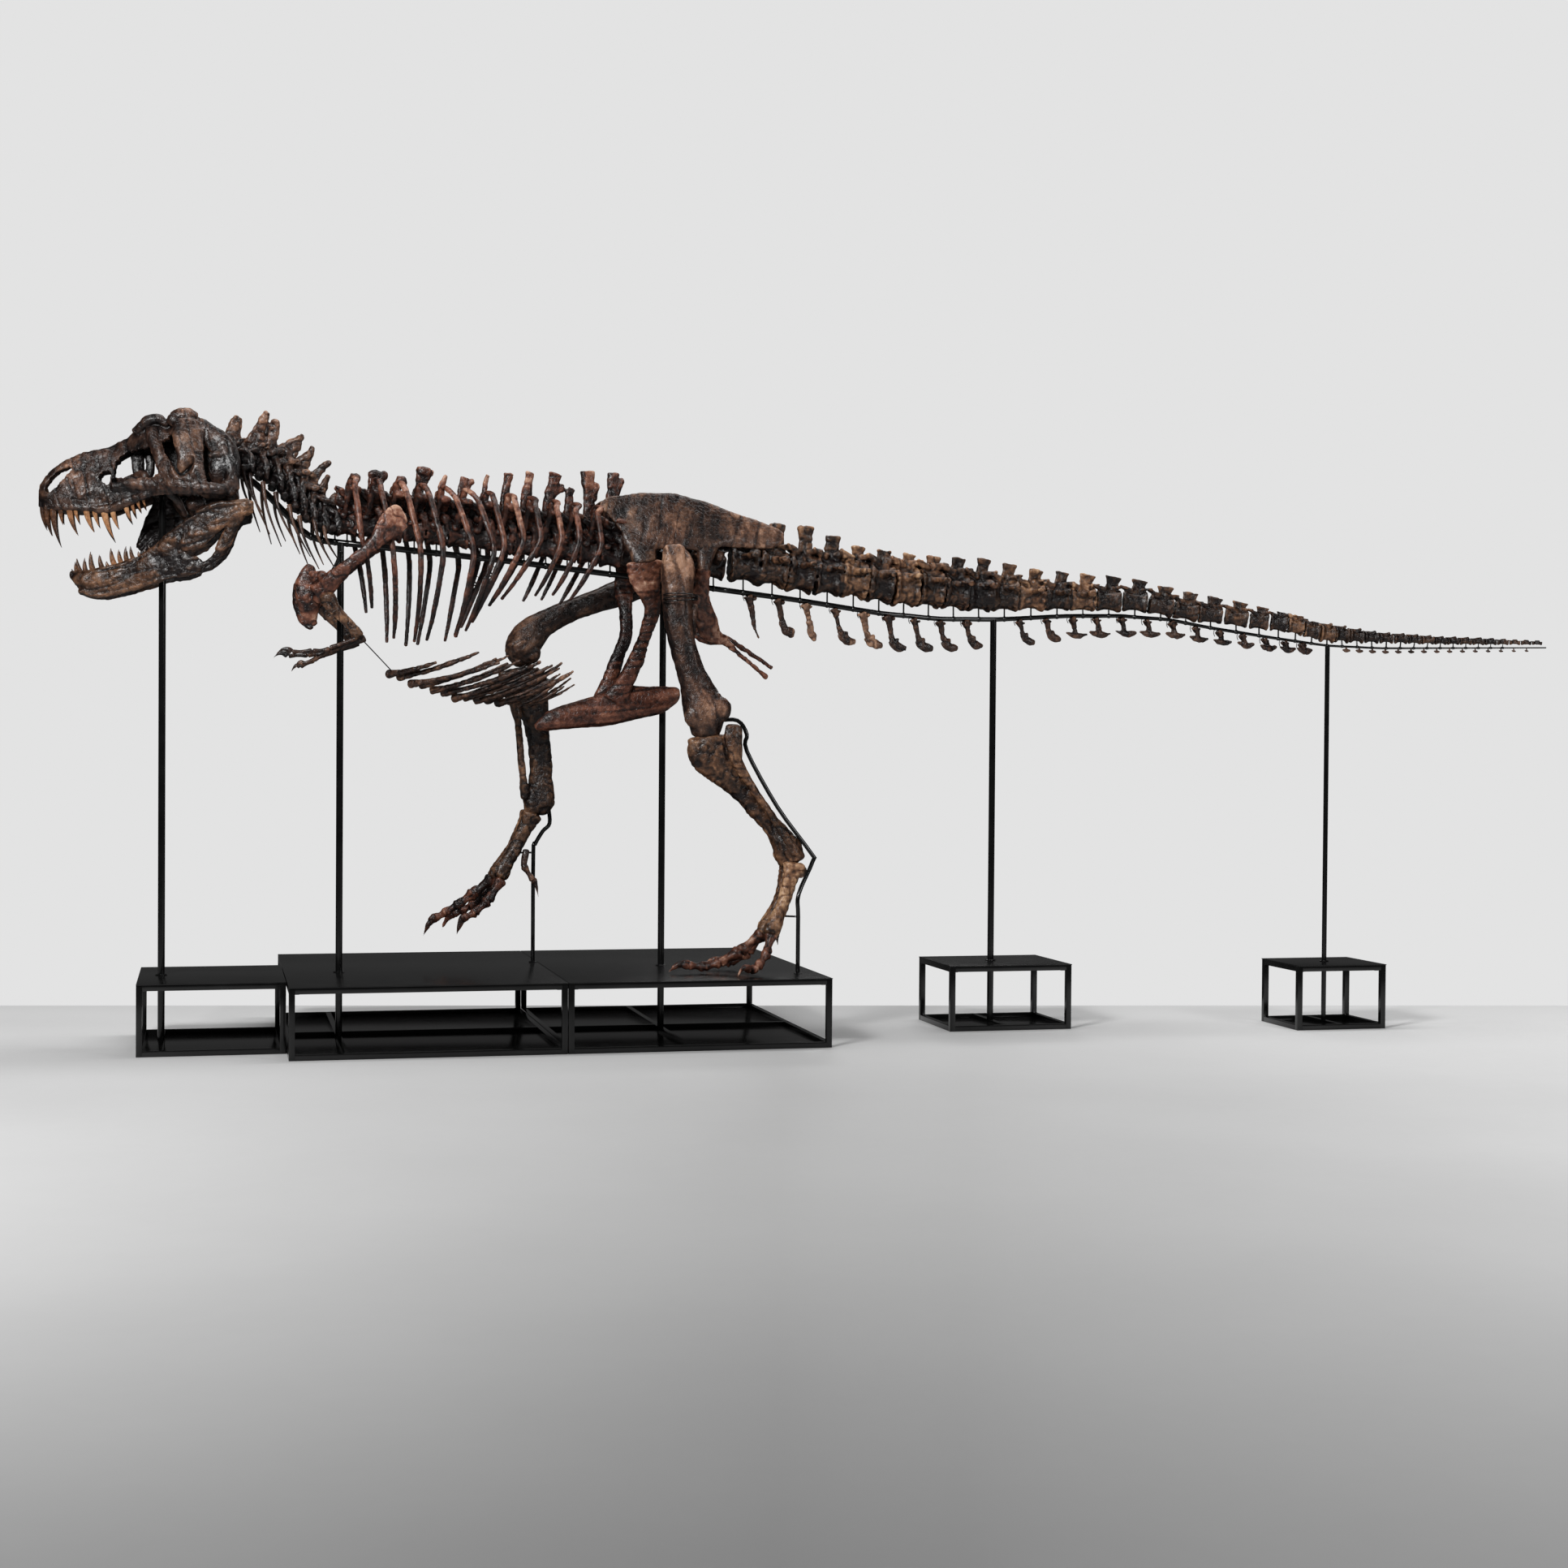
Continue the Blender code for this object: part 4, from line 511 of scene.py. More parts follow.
def inside(points, outline):
    """Which (x, z) points lie in the outline."""
    x, z = points[:, 0], points[:, 1]
    hit = np.zeros(len(points), bool)
    for (xa, za), (xb, zb) in zip(outline, outline[1:] + outline[:1]):
        crosses = (za > z) != (zb > z)
        where = xa + (z - za) * (xb - xa) / ((zb - za) or 1e-9)
        hit ^= crosses & (x < where)
    return hit


def smooth_outline(outline):
    ring = np.array(outline + outline[:3])
    dense = spline(ring, 5)
    return [tuple(p) for p in dense[5:5 + 5 * len(outline)]]


def skull_shell():
    """The outer bone as a sheet over smooth sections, with its windows cut, made thick inwards."""
    rings = spline(SKULL, 14)
    half_count = 46
    grid = []
    for x, low, high, broad, narrow in rings:
        tall = high - low
        half = [(0.0, high + 0.004), (narrow * 0.62, high - 0.004), (narrow * 1.05, high - tall * 0.10),
                (narrow * 0.55 + broad * 0.50, low + tall * 0.64), (broad * 0.99, low + tall * 0.36),
                (broad * 0.99, low + tall * 0.16), (broad * 0.93, low)]
        curve = spline(half, 8)
        curve = curve[np.linspace(0, len(curve) - 1, half_count).astype(int)]
        ring = np.vstack([curve[::-1] * (-1, 1), curve[1:]])
        grid.append(np.column_stack([np.full(len(ring), x), ring]))
    grid = np.array(grid)
    rows, cols, _ = grid.shape
    normal = np.cross(np.gradient(grid, axis=1), np.gradient(grid, axis=0))
    normal /= np.linalg.norm(normal, axis=2)[:, :, None] + 1e-12
    outward = (normal * (grid - grid.mean(1)[:, None])).sum(2).mean()
    normal *= 1 if outward > 0 else -1
    inner = grid - normal * SHELL
    middle = 0.25 * (grid[:-1, :-1] + grid[1:, :-1] + grid[:-1, 1:] + grid[1:, 1:])
    flat = middle.reshape(-1, 3)
    keep = np.ones(len(flat), bool)
    for outline in WINDOWS:
        keep &= ~(inside(flat[:, [0, 2]], smooth_outline(outline)) & (np.abs(flat[:, 1]) > 0.015))
    x, y, rx, ry = ROOF_HOLE
    oval = ((flat[:, 0] - x) / rx) ** 2 + ((np.abs(flat[:, 1]) - y) / ry) ** 2
    keep &= ~((oval < 1) & (flat[:, 2] > 4.2))
    i, j = np.divmod(np.nonzero(keep)[0], cols - 1)
    a, b, c, d = i * cols + j, i * cols + j + 1, (i + 1) * cols + j + 1, (i + 1) * cols + j
    quads = np.stack([a, b, c, d], 1)
    edges = np.concatenate([quads[:, [k, (k + 1) % 4]] for k in range(4)])
    count = rows * cols
    keys = edges[:, 0] * count + edges[:, 1]
    back = edges[:, 1] * count + edges[:, 0]
    rim = edges[~np.isin(keys, back)]
    tris = [quads[:, [0, 1, 2]], quads[:, [0, 2, 3]]]
    tris += [quads[:, [2, 1, 0]] + count, quads[:, [3, 2, 0]] + count]
    tris += [np.stack([rim[:, 1], rim[:, 0], rim[:, 0] + count], 1),
             np.stack([rim[:, 1], rim[:, 0] + count, rim[:, 1] + count], 1)]
    return np.vstack([grid.reshape(-1, 3), inner.reshape(-1, 3)]), np.vstack(tris)


def tooth(root, tip, size, bend=0.12):
    """A curved, slightly flattened cone from its root to its tip."""
    root, tip = np.array(root, float), np.array(tip, float)
    lean = np.array([-1.0, 0, 0]) * bend * np.linalg.norm(tip - root)
    rows = []
    for t in (0.0, 0.25, 0.5, 0.75, 0.93, 1.0):
        at = root + (tip - root) * t + lean * 4 * t * (1 - t) * 0.5
        thick = size * (1 - t ** 1.7) + 0.0012
        rows.append((*at, thick, thick * 0.72))
    return sweep(rows, seg=12, per=3, cap=0.2)


# root x, half breadth of the row, root z, tip x, tip z, half thickness
UPPER_TEETH = mm(
    (-5672, 30, 3735, -5640, 3560, 17), (-5640, 52, 3730, -5608, 3522, 19),
    (-5597, 74, 3725, -5554, 3469, 22), (-5548, 90, 3722, -5532, 3596, 16),
    (-5492, 104, 3722, -5441, 3535, 21), (-5452, 112, 3722, -5431, 3624, 15),
    (-5382, 126, 3720, -5328, 3549, 21), (-5325, 134, 3716, -5297, 3595, 18),
    (-5262, 142, 3706, -5199, 3514, 23), (-5205, 150, 3706, -5166, 3578, 18),
    (-5117, 166, 3734, -5079, 3630, 17), (-5076, 174, 3752, -5055, 3680, 13),
    (-5040, 180, 3770, -5019, 3707, 12), (-5004, 186, 3784, -4988, 3735, 10))
LOWER_TEETH = mm(
    (-5460, 22, 3262, -5480, 3302, 11), (-5442, 36, 3268, -5456, 3350, 13),
    (-5416, 52, 3272, -5446, 3372, 15), (-5384, 62, 3270, -5392, 3377, 16),
    (-5335, 76, 3282, -5353, 3420, 18), (-5273, 90, 3300, -5295, 3399, 17),
    (-5236, 96, 3314, -5247, 3356, 13), (-5195, 106, 3332, -5218, 3445, 18),
    (-5150, 114, 3346, -5166, 3436, 16), (-5113, 122, 3360, -5118, 3460, 15),
    (-5071, 134, 3376, -5087, 3460, 14), (-5025, 144, 3388, -5035, 3425, 12),
    (-4985, 156, 3405, -4990, 3440, 11), (-4952, 166, 3430, -4968, 3467, 10))


def tooth_row(teeth, inward):
    """Both sides' teeth; the left and right rows differ a little in length."""
    out = []
    for k, (x, y, z, tip_x, tip_z, size) in enumerate(teeth):
        for sign in (-1, 1):
            length = 1.0 if sign < 0 else 0.86 + 0.2 * ((k * 7) % 3) / 2
            tip = (x + (tip_x - x) * length, sign * (y - inward), z + (tip_z - z) * length)
            out.append(tooth((x, sign * y, z), tip, size))
    return out


def skull():
    left = [
        rod((-5682, -30, 3745, 30, 22), (-5600, -78, 3722, 30, 24), (-5400, -122, 3716, 30, 24),
            (-5230, -148, 3712, 32, 24), (-5090, -182, 3768, 34, 24), (-4960, -225, 3812, 30, 24)),
        rod((-5200, -165, 3860, 30, 22), (-5060, -205, 3880, 40, 24), (-4930, -240, 3872, 46, 28),
            (-4800, -300, 3872, 54, 32), (-4640, -345, 3858, 48, 32), (-4450, -362, 3848, 36, 28)),
        rod((-4935, -155, 4260, 50, 30), (-4938, -190, 4180, 38, 30), (-4900, -222, 4108, 36, 32),
            (-4872, -245, 4023, 34, 32), (-4822, -270, 3950, 40, 34)),
        rod((-5060, -110, 4250, 30, 28), (-4975, -135, 4322, 36, 36), (-4905, -150, 4338, 34, 36),
            (-4840, -160, 4300, 24, 28)),
        lump(-4735, -165, 4360, 98, 62, 60),
        lump(-4800, -190, 4330, 50, 40, 50),
        rod((-4715, -215, 4310, 90, 35), (-4712, -262, 4205, 96, 34), (-4708, -290, 4120, 86, 32),
            (-4722, -305, 4050, 62, 30), (-4742, -308, 3990, 34, 24), (-4748, -305, 3965, 15, 16), seg=26,
            power=2.3),
        rod((-4655, -345, 3900, 85, 24), (-4640, -335, 3970, 50, 22), (-4625, -318, 4060, 26, 18),
            (-4622, -288, 4160, 22, 18), (-4625, -252, 4250, 26, 22)),
        rod((-4640, -210, 4300, 58, 28), (-4560, -240, 4228, 72, 26), (-4480, -275, 4150, 84, 26),
            (-4430, -300, 4060, 74, 26), (-4412, -315, 3960, 52, 30), (-4405, -325, 3860, 48, 36), seg=24),
        lump(-4500, -285, 3985, 72, 40, 100),
        rod((-4560, -305, 4075, 14, 14), (-4520, -300, 4092, 26, 18), (-4470, -300, 4080, 20, 18)),
        rod((-4440, -335, 3900, 50, 30), (-4420, -335, 3830, 44, 40)),
        rod((-5055, -30, 4150, 52, 20), (-5045, -40, 4050, 44, 16), (-5035, -50, 3940, 34, 16)),
        rod((-4972, -20, 4160, 34, 18), (-4960, -40, 4020, 30, 15), (-4985, -40, 3910, 26, 15)),
        lump(-4650, -200, 3765, 70, 28, 62),
        lump(-4515, -165, 4060, 90, 40, 150),
        lump(-4480, -215, 3965, 70, 45, 85),
        rod((-4400, -50, 4125, 60, 22), (-4385, -160, 4095, 55, 20), (-4392, -270, 4040, 50, 16),
            across=(1, 0, 0)),
        rod((-5330, -30, 3790, 20, 12), (-5080, -55, 3850, 26, 14), (-4860, -95, 3880, 34, 18),
            (-4640, -150, 3880, 44, 20), (-4470, -250, 3900, 50, 24)),
        rod((-4900, -265, 3850, 34, 24), (-4835, -235, 3835, 34, 24), (-4775, -200, 3775, 26, 22),
            (-4722, -170, 3682, 16, 16)),
        rod((-5160, -60, 3880, 20, 14), (-5010, -150, 3960, 30, 20), (-4985, -175, 3880, 20, 20)),
        rod((-4640, -130, 4330, 30, 24), (-4540, -160, 4280, 24, 20), (-4440, -170, 4215, 30, 24)),
    ]
    middle = [
        rod((-5690, 0, 3790, 60, 34), (-5660, 0, 3800, 70, 50), axis=(1, 0, 0)),
        rod((-5640, 0, 3915, 22, 30), (-5540, 0, 4010, 26, 38), (-5400, 0, 4075, 28, 44),
            (-5250, 0, 4112, 28, 46), (-5120, 0, 4180, 30, 50)),
        rod((-4690, 0, 4330, 60, 30), (-4560, 0, 4250, 80, 20), (-4420, 0, 4180, 70, 30)),
        rod((-4680, 0, 4140, 100, 80), (-4540, 0, 4110, 125, 98), (-4410, 0, 4110, 115, 90),
            axis=(1, 0, 0)),
        rod((-4430, -150, 4190, 50, 24), (-4415, 0, 4215, 52, 26), (-4430, 150, 4190, 50, 24),
            across=(1, 0, 0)),
        lump(-4375, 0, 4090, 38, 44, 44),
        rod((-4870, 0, 4080, 110, 12), (-4780, 0, 4085, 140, 16), (-4620, 0, 4090, 150, 20),
            axis=(1, 0, 0)),
    ]
    bodies = [skull_shell(), *middle, *both(left)]

    def rough(co):
        return 1.0 + spots(co, (-5400, -130, 3860, 240, 0.9), (-4720, -280, 4120, 140, -0.5))

    def tint(co):
        x, z = co[:, 0], co[:, 2]
        level = 0.28 + 0.12 * noise(co, 0.15, 21) + spots(co, *SKULL_SPOTS)
        # Painted shade inside the skull: the middle parts between its two sides are darker.
        level -= 0.30 * (np.abs(co[:, 1]) < 0.075) * (z < 4.20) * (x > -5.12)
        return level - 0.12 * (x > -4.60) * (z > 3.9)

    bone("skull", bodies, "bone_dark", tint, 0.0058, 3, rough, (-0.25, 0, 1))


SKULL_SPOTS = (        # place and radius in millimetres, strength
    (-5480, -130, 3920, 130, 0.13), (-4740, -150, 4420, 90, 0.42), (-4710, -300, 4160, 130, 0.26),
    (-4740, -310, 3990, 50, 0.34), (-5030, -200, 3900, 70, 0.28), (-4500, -310, 4090, 50, 0.36),
    (-5500, -60, 4050, 120, 0.20), (-4930, -180, 4160, 90, 0.16),
)
JAW_SPOTS = (
    (-5280, -100, 3170, 170, 0.25), (-4980, -170, 3220, 100, 0.20), (-4620, -320, 3520, 160, 0.16),
    (-4330, -360, 3760, 100, 0.24), (-4800, -230, 3300, 100, -0.14), (-5470, -20, 3200, 60, -0.12),
)


def lower_jaw():
    left = [
        rod((-5478, -20, 3262, 30, 20), (-5440, -40, 3239, 50, 30), (-5400, -60, 3208, 75, 34),
            (-5340, -74, 3196, 93, 36), (-5250, -92, 3207, 104, 37), (-5120, -122, 3246, 106, 37),
            (-5000, -158, 3290, 102, 33), (-4925, -182, 3335, 124, 28), (-4860, -205, 3374, 146, 24),
            (-4800, -225, 3354, 113, 20), (-4700, -252, 3336, 80, 17), (-4620, -268, 3334, 44, 15),
            axis=(1, 0, 0), power=2.6, seg=26),
        rod((-4862, -210, 3515, 18, 14), (-4800, -232, 3520, 58, 20), (-4700, -268, 3541, 116, 22),
            (-4605, -298, 3596, 137, 22), (-4540, -312, 3634, 124, 24), (-4450, -328, 3684, 84, 26),
            (-4350, -342, 3723, 62, 34), (-4285, -346, 3744, 40, 36), axis=(1, 0, 0), power=2.6, seg=26),
        rod((-4800, -240, 3566, 16, 18), (-4700, -276, 3636, 18, 20), (-4600, -306, 3708, 20, 24),
            (-4500, -330, 3746, 22, 30), (-4400, -344, 3758, 22, 34), (-4310, -346, 3770, 26, 40)),
        rod((-4660, -262, 3312, 24, 14), (-4570, -282, 3350, 24, 16), (-4510, -296, 3402, 30, 18),
            (-4468, -306, 3468, 46, 20), (-4425, -318, 3560, 40, 22), (-4375, -332, 3650, 32, 24),
            (-4330, -342, 3720, 34, 28), seg=20),
        rod((-5420, -58, 3150, 20, 26), (-5300, -86, 3122, 22, 30), (-5120, -124, 3160, 22, 30),
            (-4960, -168, 3212, 20, 26), (-4800, -226, 3256, 16, 20)),
        rod((-5440, -40, 3270, 16, 18), (-5300, -84, 3290, 18, 24), (-5120, -124, 3345, 18, 24),
            (-4960, -165, 3420, 18, 20), (-4870, -200, 3500, 16, 18)),
        lump(-4325, -345, 3742, 52, 46, 48),
        rod((-4330, -345, 3700, 30, 30), (-4285, -345, 3712, 26, 26)),
    ]
    middle = [rod((-5472, 0, 3250, 26, 16), (-5440, 0, 3222, 50, 30), (-5390, 0, 3190, 55, 40),
                  axis=(1, 0, 0))]
    far = [rod((-5020, 160, 3430, 36, 20), (-4920, 190, 3530, 62, 20), (-4840, 220, 3605, 86, 22),
               (-4740, 260, 3665, 86, 22), (-4640, 290, 3695, 62, 22), (-4500, 325, 3735, 40, 28),
               axis=(1, 0, 0))]
    far.append(rod((-5056, 185, 3490, 22, 14), (-5020, 195, 3555, 75, 16), (-4985, 205, 3625, 80, 18),
                   (-4940, 208, 3700, 98, 20), (-4900, 212, 3735, 70, 20), (-4840, 225, 3750, 62, 20),
                   (-4760, 245, 3770, 70, 20), (-4640, 275, 3770, 56, 20), (-4560, 300, 3765, 40, 20),
                   axis=(1, 0, 0), seg=24))
    far.append(rod((-5040, 172, 3485, 30, 14), (-4975, 186, 3530, 78, 16), (-4905, 200, 3590, 100, 18),
                   (-4830, 216, 3650, 90, 18), axis=(1, 0, 0), seg=24))
    def tint(co):
        level = 0.27 + 0.12 * noise(co, 0.15, 22) + spots(co, *JAW_SPOTS)
        # Painted shade: the far side of the jaw is darker.
        return level - 0.26 * (co[:, 1] > 0.02)

    bone("lower_jaw", middle + far + both(left), "bone_tan", tint, 0.0058, 2, 1.6, (1, 0, 0.25))


def all_teeth():
    def upper(co):
        back = ramp_up(co[:, 0], -5.58, 0.14)
        # Painted shade: the teeth of the far side are darker.
        return 0.12 + 0.38 * back - 0.36 * ramp_up(-co[:, 2], -3.61, 0.2) - 0.2 * (co[:, 1] > 0)

    def lower(co):
        # Painted shade: the teeth of the far side are darker.
        return 0.234 - 0.36 * ramp_up(co[:, 2], 3.388, 0.16) - 0.2 * (co[:, 1] > 0)

    for name, teeth, inward, tint in (("teeth_upper", UPPER_TEETH, 0.004, upper),
                                      ("teeth_lower", LOWER_TEETH, -0.002, lower)):
        dress(name, solid_mesh(name, tooth_row(teeth, inward)), TOOTH, (), tint)


# ---------------------------------------------------------------- backbone
# x, z of the steel tube under the backbone
RAIL = mm(
    (-4460, 4005), (-4400, 3995), (-4330, 3978), (-4260, 3940), (-4180, 3870), (-4090, 3780), (-4010, 3695),
    (-3940, 3622), (-3870, 3573), (-3780, 3546), (-3690, 3538), (-2510, 3440), (-1620, 3350), (-1010, 3280),
    (-330, 3205), (320, 3120), (810, 3090), (1280, 3098), (1820, 3132), (2240, 3138), (2600, 3112),
    (2940, 3050), (3420, 2972), (3790, 2922), (4200, 2905), (4800, 2912), (5450, 2920))
SWING = mm(
    (300, 0), (1250, 98), (1900, 40), (2700, -120), (3790, -398), (4600, -590), (5450, -760))
RAIL_RADIUS = mm(
    (-4400, 23), (-1500, 21), (1200, 18), (2900, 13), (4200, 8), (5400, 5))
# centre x and z; then the spine from root to tip as x, z, half width
NECK = mm(
    ((-4300, 4085), ((-4411, 4235, 58), (-4398, 4300, 47), (-4382, 4355, 46), (-4366, 4392, 34))),
    ((-4195, 4040), ((-4255, 4215, 70), (-4228, 4300, 48), (-4196, 4375, 40), (-4172, 4428, 18))),
    ((-4095, 3968), ((-4155, 4190, 54), (-4136, 4270, 42), (-4124, 4340, 38), (-4118, 4372, 26))),
    ((-4008, 3890), ((-4060, 4130, 85), (-4000, 4190, 58), (-3950, 4245, 28), (-3927, 4282, 20))),
    ((-3935, 3812), ((-3945, 4060, 70), (-3898, 4120, 42), (-3870, 4168, 23), (-3858, 4198, 18))),
    ((-3865, 3745), ((-3870, 3960, 55), (-3825, 4025, 34), (-3770, 4075, 23), (-3738, 4098, 17))),
    ((-3785, 3700), ((-3800, 3880, 40), (-3770, 3945, 30), (-3748, 4000, 16))),
    ((-3700, 3680), ((-3735, 3790, 42), (-3712, 3848, 30), (-3696, 3888, 16))))
# head x and z, tip x and z
NECK_RIBS = mm(
    (-4340, 4030, -4204, 3714), (-4290, 3985, -4154, 3569), (-4200, 3930, -4075, 3485),
    (-4115, 3860, -3976, 3508), (-4020, 3775, -3876, 3420), (-3950, 3700, -3816, 3335),
    (-3850, 3680, -3711, 3348), (-3780, 3640, -3681, 3400))
NECK_TINT = (0.42, 0.44, 0.36, 0.38, 0.34, 0.40, 0.34, 0.36)
DORSALS = (-3.615, -1.730, 13)
SACRALS = (-1.580, -0.960, 5)
DORSAL_CENTRE = 0.142                   # of a vertebra above the rail
SACRAL_CENTRE = DORSAL_CENTRE + 0.012
CENTRE_Z = mm(
    (-733, 3450), (-70, 3370), (527, 3318), (1100, 3280), (1735, 3262), (2340, 3245), (2900, 3150),
    (3405, 3085), (3790, 3008), (4200, 2978), (4700, 2962), (5450, 2952))
CENTRUM_HIGH = mm(
    (-733, 132), (527, 145), (1100, 128), (1735, 90), (2340, 78), (2900, 62), (3405, 60), (3790, 52),
    (4200, 30), (4700, 22), (5450, 10))
TAIL_TOP = mm(
    (-733, 3700), (-430, 3775), (-250, 3745), (170, 3606), (700, 3560), (1170, 3560), (1550, 3485),
    (2230, 3440), (2760, 3325), (3120, 3255), (3500, 3165), (3850, 3050), (4480, 3000), (5150, 2962))
PITCH = mm(
    (-700, 222), (200, 198), (1200, 210), (2300, 196), (3100, 188), (3400, 130), (3800, 115), (4600, 100),
    (5400, 85))
TAIL_START = -0.735
KNOBS_FROM = 3.70                       # from here the vertebrae are low knobs
WINGS_TO = 2.0                          # up to here they have side processes
TAIL_PARTS = (                          # last x, voxel, smoothing, roughness
    (0.630, 0.0075, 2, 1.70), (2.040, 0.0066, 2, 1.53), (3.700, 0.0056, 2, 1.105), (5.450, 0.0034, 1, 0.425))
TAIL_TAN = (4, 6, 11, 13, 22, 24)       # the paler bones of the tail
# head x; shaft and foot as steps from the head in x and z
CHEVRONS = mm(
    (-684, (22, -139), (71, -304)), (-466, (28, -155), (98, -252)), (-252, (23, -129), (61, -253)),
    (-25, (22, -124), (83, -228)), (192, (23, -141), (72, -224)), (388, (23, -141), (73, -224)),
    (604, (20, -120), (70, -205)), (812, (20, -110), (70, -190)), (1027, (18, -95), (68, -170)),
    (1460, (14, -85), (62, -150)), (1671, (12, -80), (55, -140)), (1873, (10, -70), (30, -130)),
    (2056, (10, -66), (28, -125)), (2251, (10, -62), (26, -118)), (2440, (10, -58), (26, -110)),
    (2630, (10, -54), (26, -102)), (2812, (10, -50), (26, -94)), (2990, (10, -46), (26, -86)),
    (3160, (10, -42), (26, -78)), (3325, (10, -38), (26, -72)), (3470, (10, -34), (24, -64)),
    (3600, (8, -30), (22, -56)))
TINY_CHEVRONS = (3.930, 5.300, 15)
PALE_CHEVRONS = (2, 4)
SKIDS_FROM = 1.8
POLES = {"head": (-4.878, 0.0), "shoulder": (-3.660, 0.0), "hip": (-1.315, 0.105),
         "tail_front": (1.250, 0.098), "tail_rear": (3.790, -0.398)}
RAIL_PATH = [(x, profile(x, SWING), z) for x, z in RAIL]


def rail_point(x):
    for one, two in zip(RAIL_PATH, RAIL_PATH[1:]):
        if x <= two[0]:
            break
    share = (x - one[0]) / (two[0] - one[0])
    return tuple(a + (b - a) * share for a, b in zip(one, two))


def even_row(row):
    first, last, count = row
    return [first + (last - first) * i / (count - 1) for i in range(count)]


class Place:
    """The local axes of one vertebra: u along the back, v to the right side, w up."""

    def __init__(self, at, ahead):
        self.at = np.asarray(at, float)
        self.u = unit(ahead)
        self.v = unit(np.array([0, 1.0, 0]) - self.u * self.u[1])
        self.w = np.cross(self.u, self.v)

    def __call__(self, u, v, w):
        return self.at + self.u * u + self.v * v + self.w * w

    def rows(self, rows):
        return [(*self(*row[:3]), row[3], row[4]) for row in rows]


def centrum(here, length, high, wide, waist=0.80):
    """A spool with rolled rims that hang low, and a hollow in each flank."""
    half = length / 2
    shape = ((-1.0, 0.90), (-0.93, 1.00), (-0.74, 0.985), (-0.45, waist + 0.05), (0, waist),
             (0.45, waist + 0.05), (0.74, 0.985), (0.93, 1.00), (1.0, 0.90))
    rows = here.rows([(half * t, 0, 0, high * s, wide * s) for t, s in shape])

    def form(share, angles):
        low = np.clip(-np.cos(angles), 0, 1) ** 2
        flank = np.abs(np.sin(angles)) * (np.cos(angles) > -0.5)
        end = abs(2 * share - 1) ** 3
        return 1 + 0.15 * end * low - 0.12 * (1 - end) * flank

    return sweep(rows, across=here.v, seg=26, per=3, power=2.3, cap=0.0, axis=here.u, warp=form)


def prong(here, rows):
    """A short process through local rows, one on each side."""
    out = []
    for side in (-1, 1):
        out.append(sweep(here.rows([(u, side * v, w, high, wide) for u, v, w, high, wide in rows]),
                         across=here.v, seg=12, per=4))
    return out


def arch(here, pitch, high, wide, top, root, tip_half, thick):
    """Arch, joint processes and spine above one centrum."""
    local = np.asarray(top, float) - here.at
    lean, rise = local @ here.u, local @ here.w
    shoulder = min(1.22 * high, rise - 0.42 * (rise - 0.55 * high))
    bodies = [sweep(here.rows([(-0.44 * pitch, 0, 0.72 * high, 0.26 * high, 0.46 * wide),
                               (-0.05 * pitch, 0, shoulder - 0.36 * high, 0.34 * high, 0.42 * wide),
                               (0.44 * pitch, 0, 0.80 * high, 0.26 * high, 0.36 * wide)]),
                    across=here.v, power=2.4, cap=0.3, seg=20)]
    start = shoulder - 0.25 * high
    steps = ((0.0, 1.10, 1.5), (0.30, 0.90, 0.95), (0.65, 0.86, 0.85), (0.92, 1.0, 1.15), (1.0, 1.0, 1.15))
    foot, rows = 0.06 * pitch, []
    for t, share, side in steps:
        half = (root + (tip_half - root) * t) * share
        rows.append((foot + (lean - foot) * t, 0, start + (rise - 0.004 - start) * t, half, thick * side))
    bodies.append(sweep(here.rows(rows), across=here.v, power=4.0, cap=0.06, seg=28, per=4))
    size = 0.15 * high
    bodies += prong(here, [(-0.16 * pitch, 0.34 * wide, shoulder - 0.12 * high, 1.5 * size, 1.2 * size),
                           (-0.44 * pitch, 0.42 * wide, shoulder + 0.06 * high, 1.2 * size, 1.1 * size),
                           (-0.64 * pitch, 0.40 * wide, shoulder + 0.24 * high, 0.7 * size, 0.8 * size)])
    bodies += prong(here, [(0.10 * pitch, 0.16 * wide, shoulder + 0.02 * high, 1.4 * size, 1.1 * size),
                           (0.40 * pitch, 0.24 * wide, shoulder + 0.10 * high, 1.0 * size, 1.1 * size),
                           (0.62 * pitch, 0.26 * wide, shoulder + 0.20 * high, 0.6 * size, 0.8 * size)])
    return bodies


def wing(here, side, root, tip, deep, broad):
    """A side process: root and tip are local (u, v, w); deep is half its height, broad half its length."""
    middle = [(a + b) / 2 for a, b in zip(root, tip)]
    rows = [(root[0], side * root[1], root[2], deep, broad),
            (middle[0], side * middle[1], middle[2], deep * 0.62, broad * 0.78),
            (tip[0], side * tip[1], tip[2], deep * 0.66, broad * 0.86)]
    return sweep(here.rows(rows), across=here.u, seg=14, per=4, power=2.3, cap=0.5)


def nearest_tint(centres, values, spread=0.0):
    """Tint of the bone whose centre is nearest along the back, with painted light and shade: paler above the
    centres and darker below them, by spread.
    """
    centres, values = np.asarray(centres, float), np.asarray(values, float)

    def tint(co):
        away = np.abs(co[:, None, 0] - centres[None, :, 0])
        high = co[:, 2] - np.interp(co[:, 0], centres[:, 0], centres[:, 2])
        return values[away.argmin(1)] + spread * np.clip(high / 0.3, -0.5, 1)

    return tint


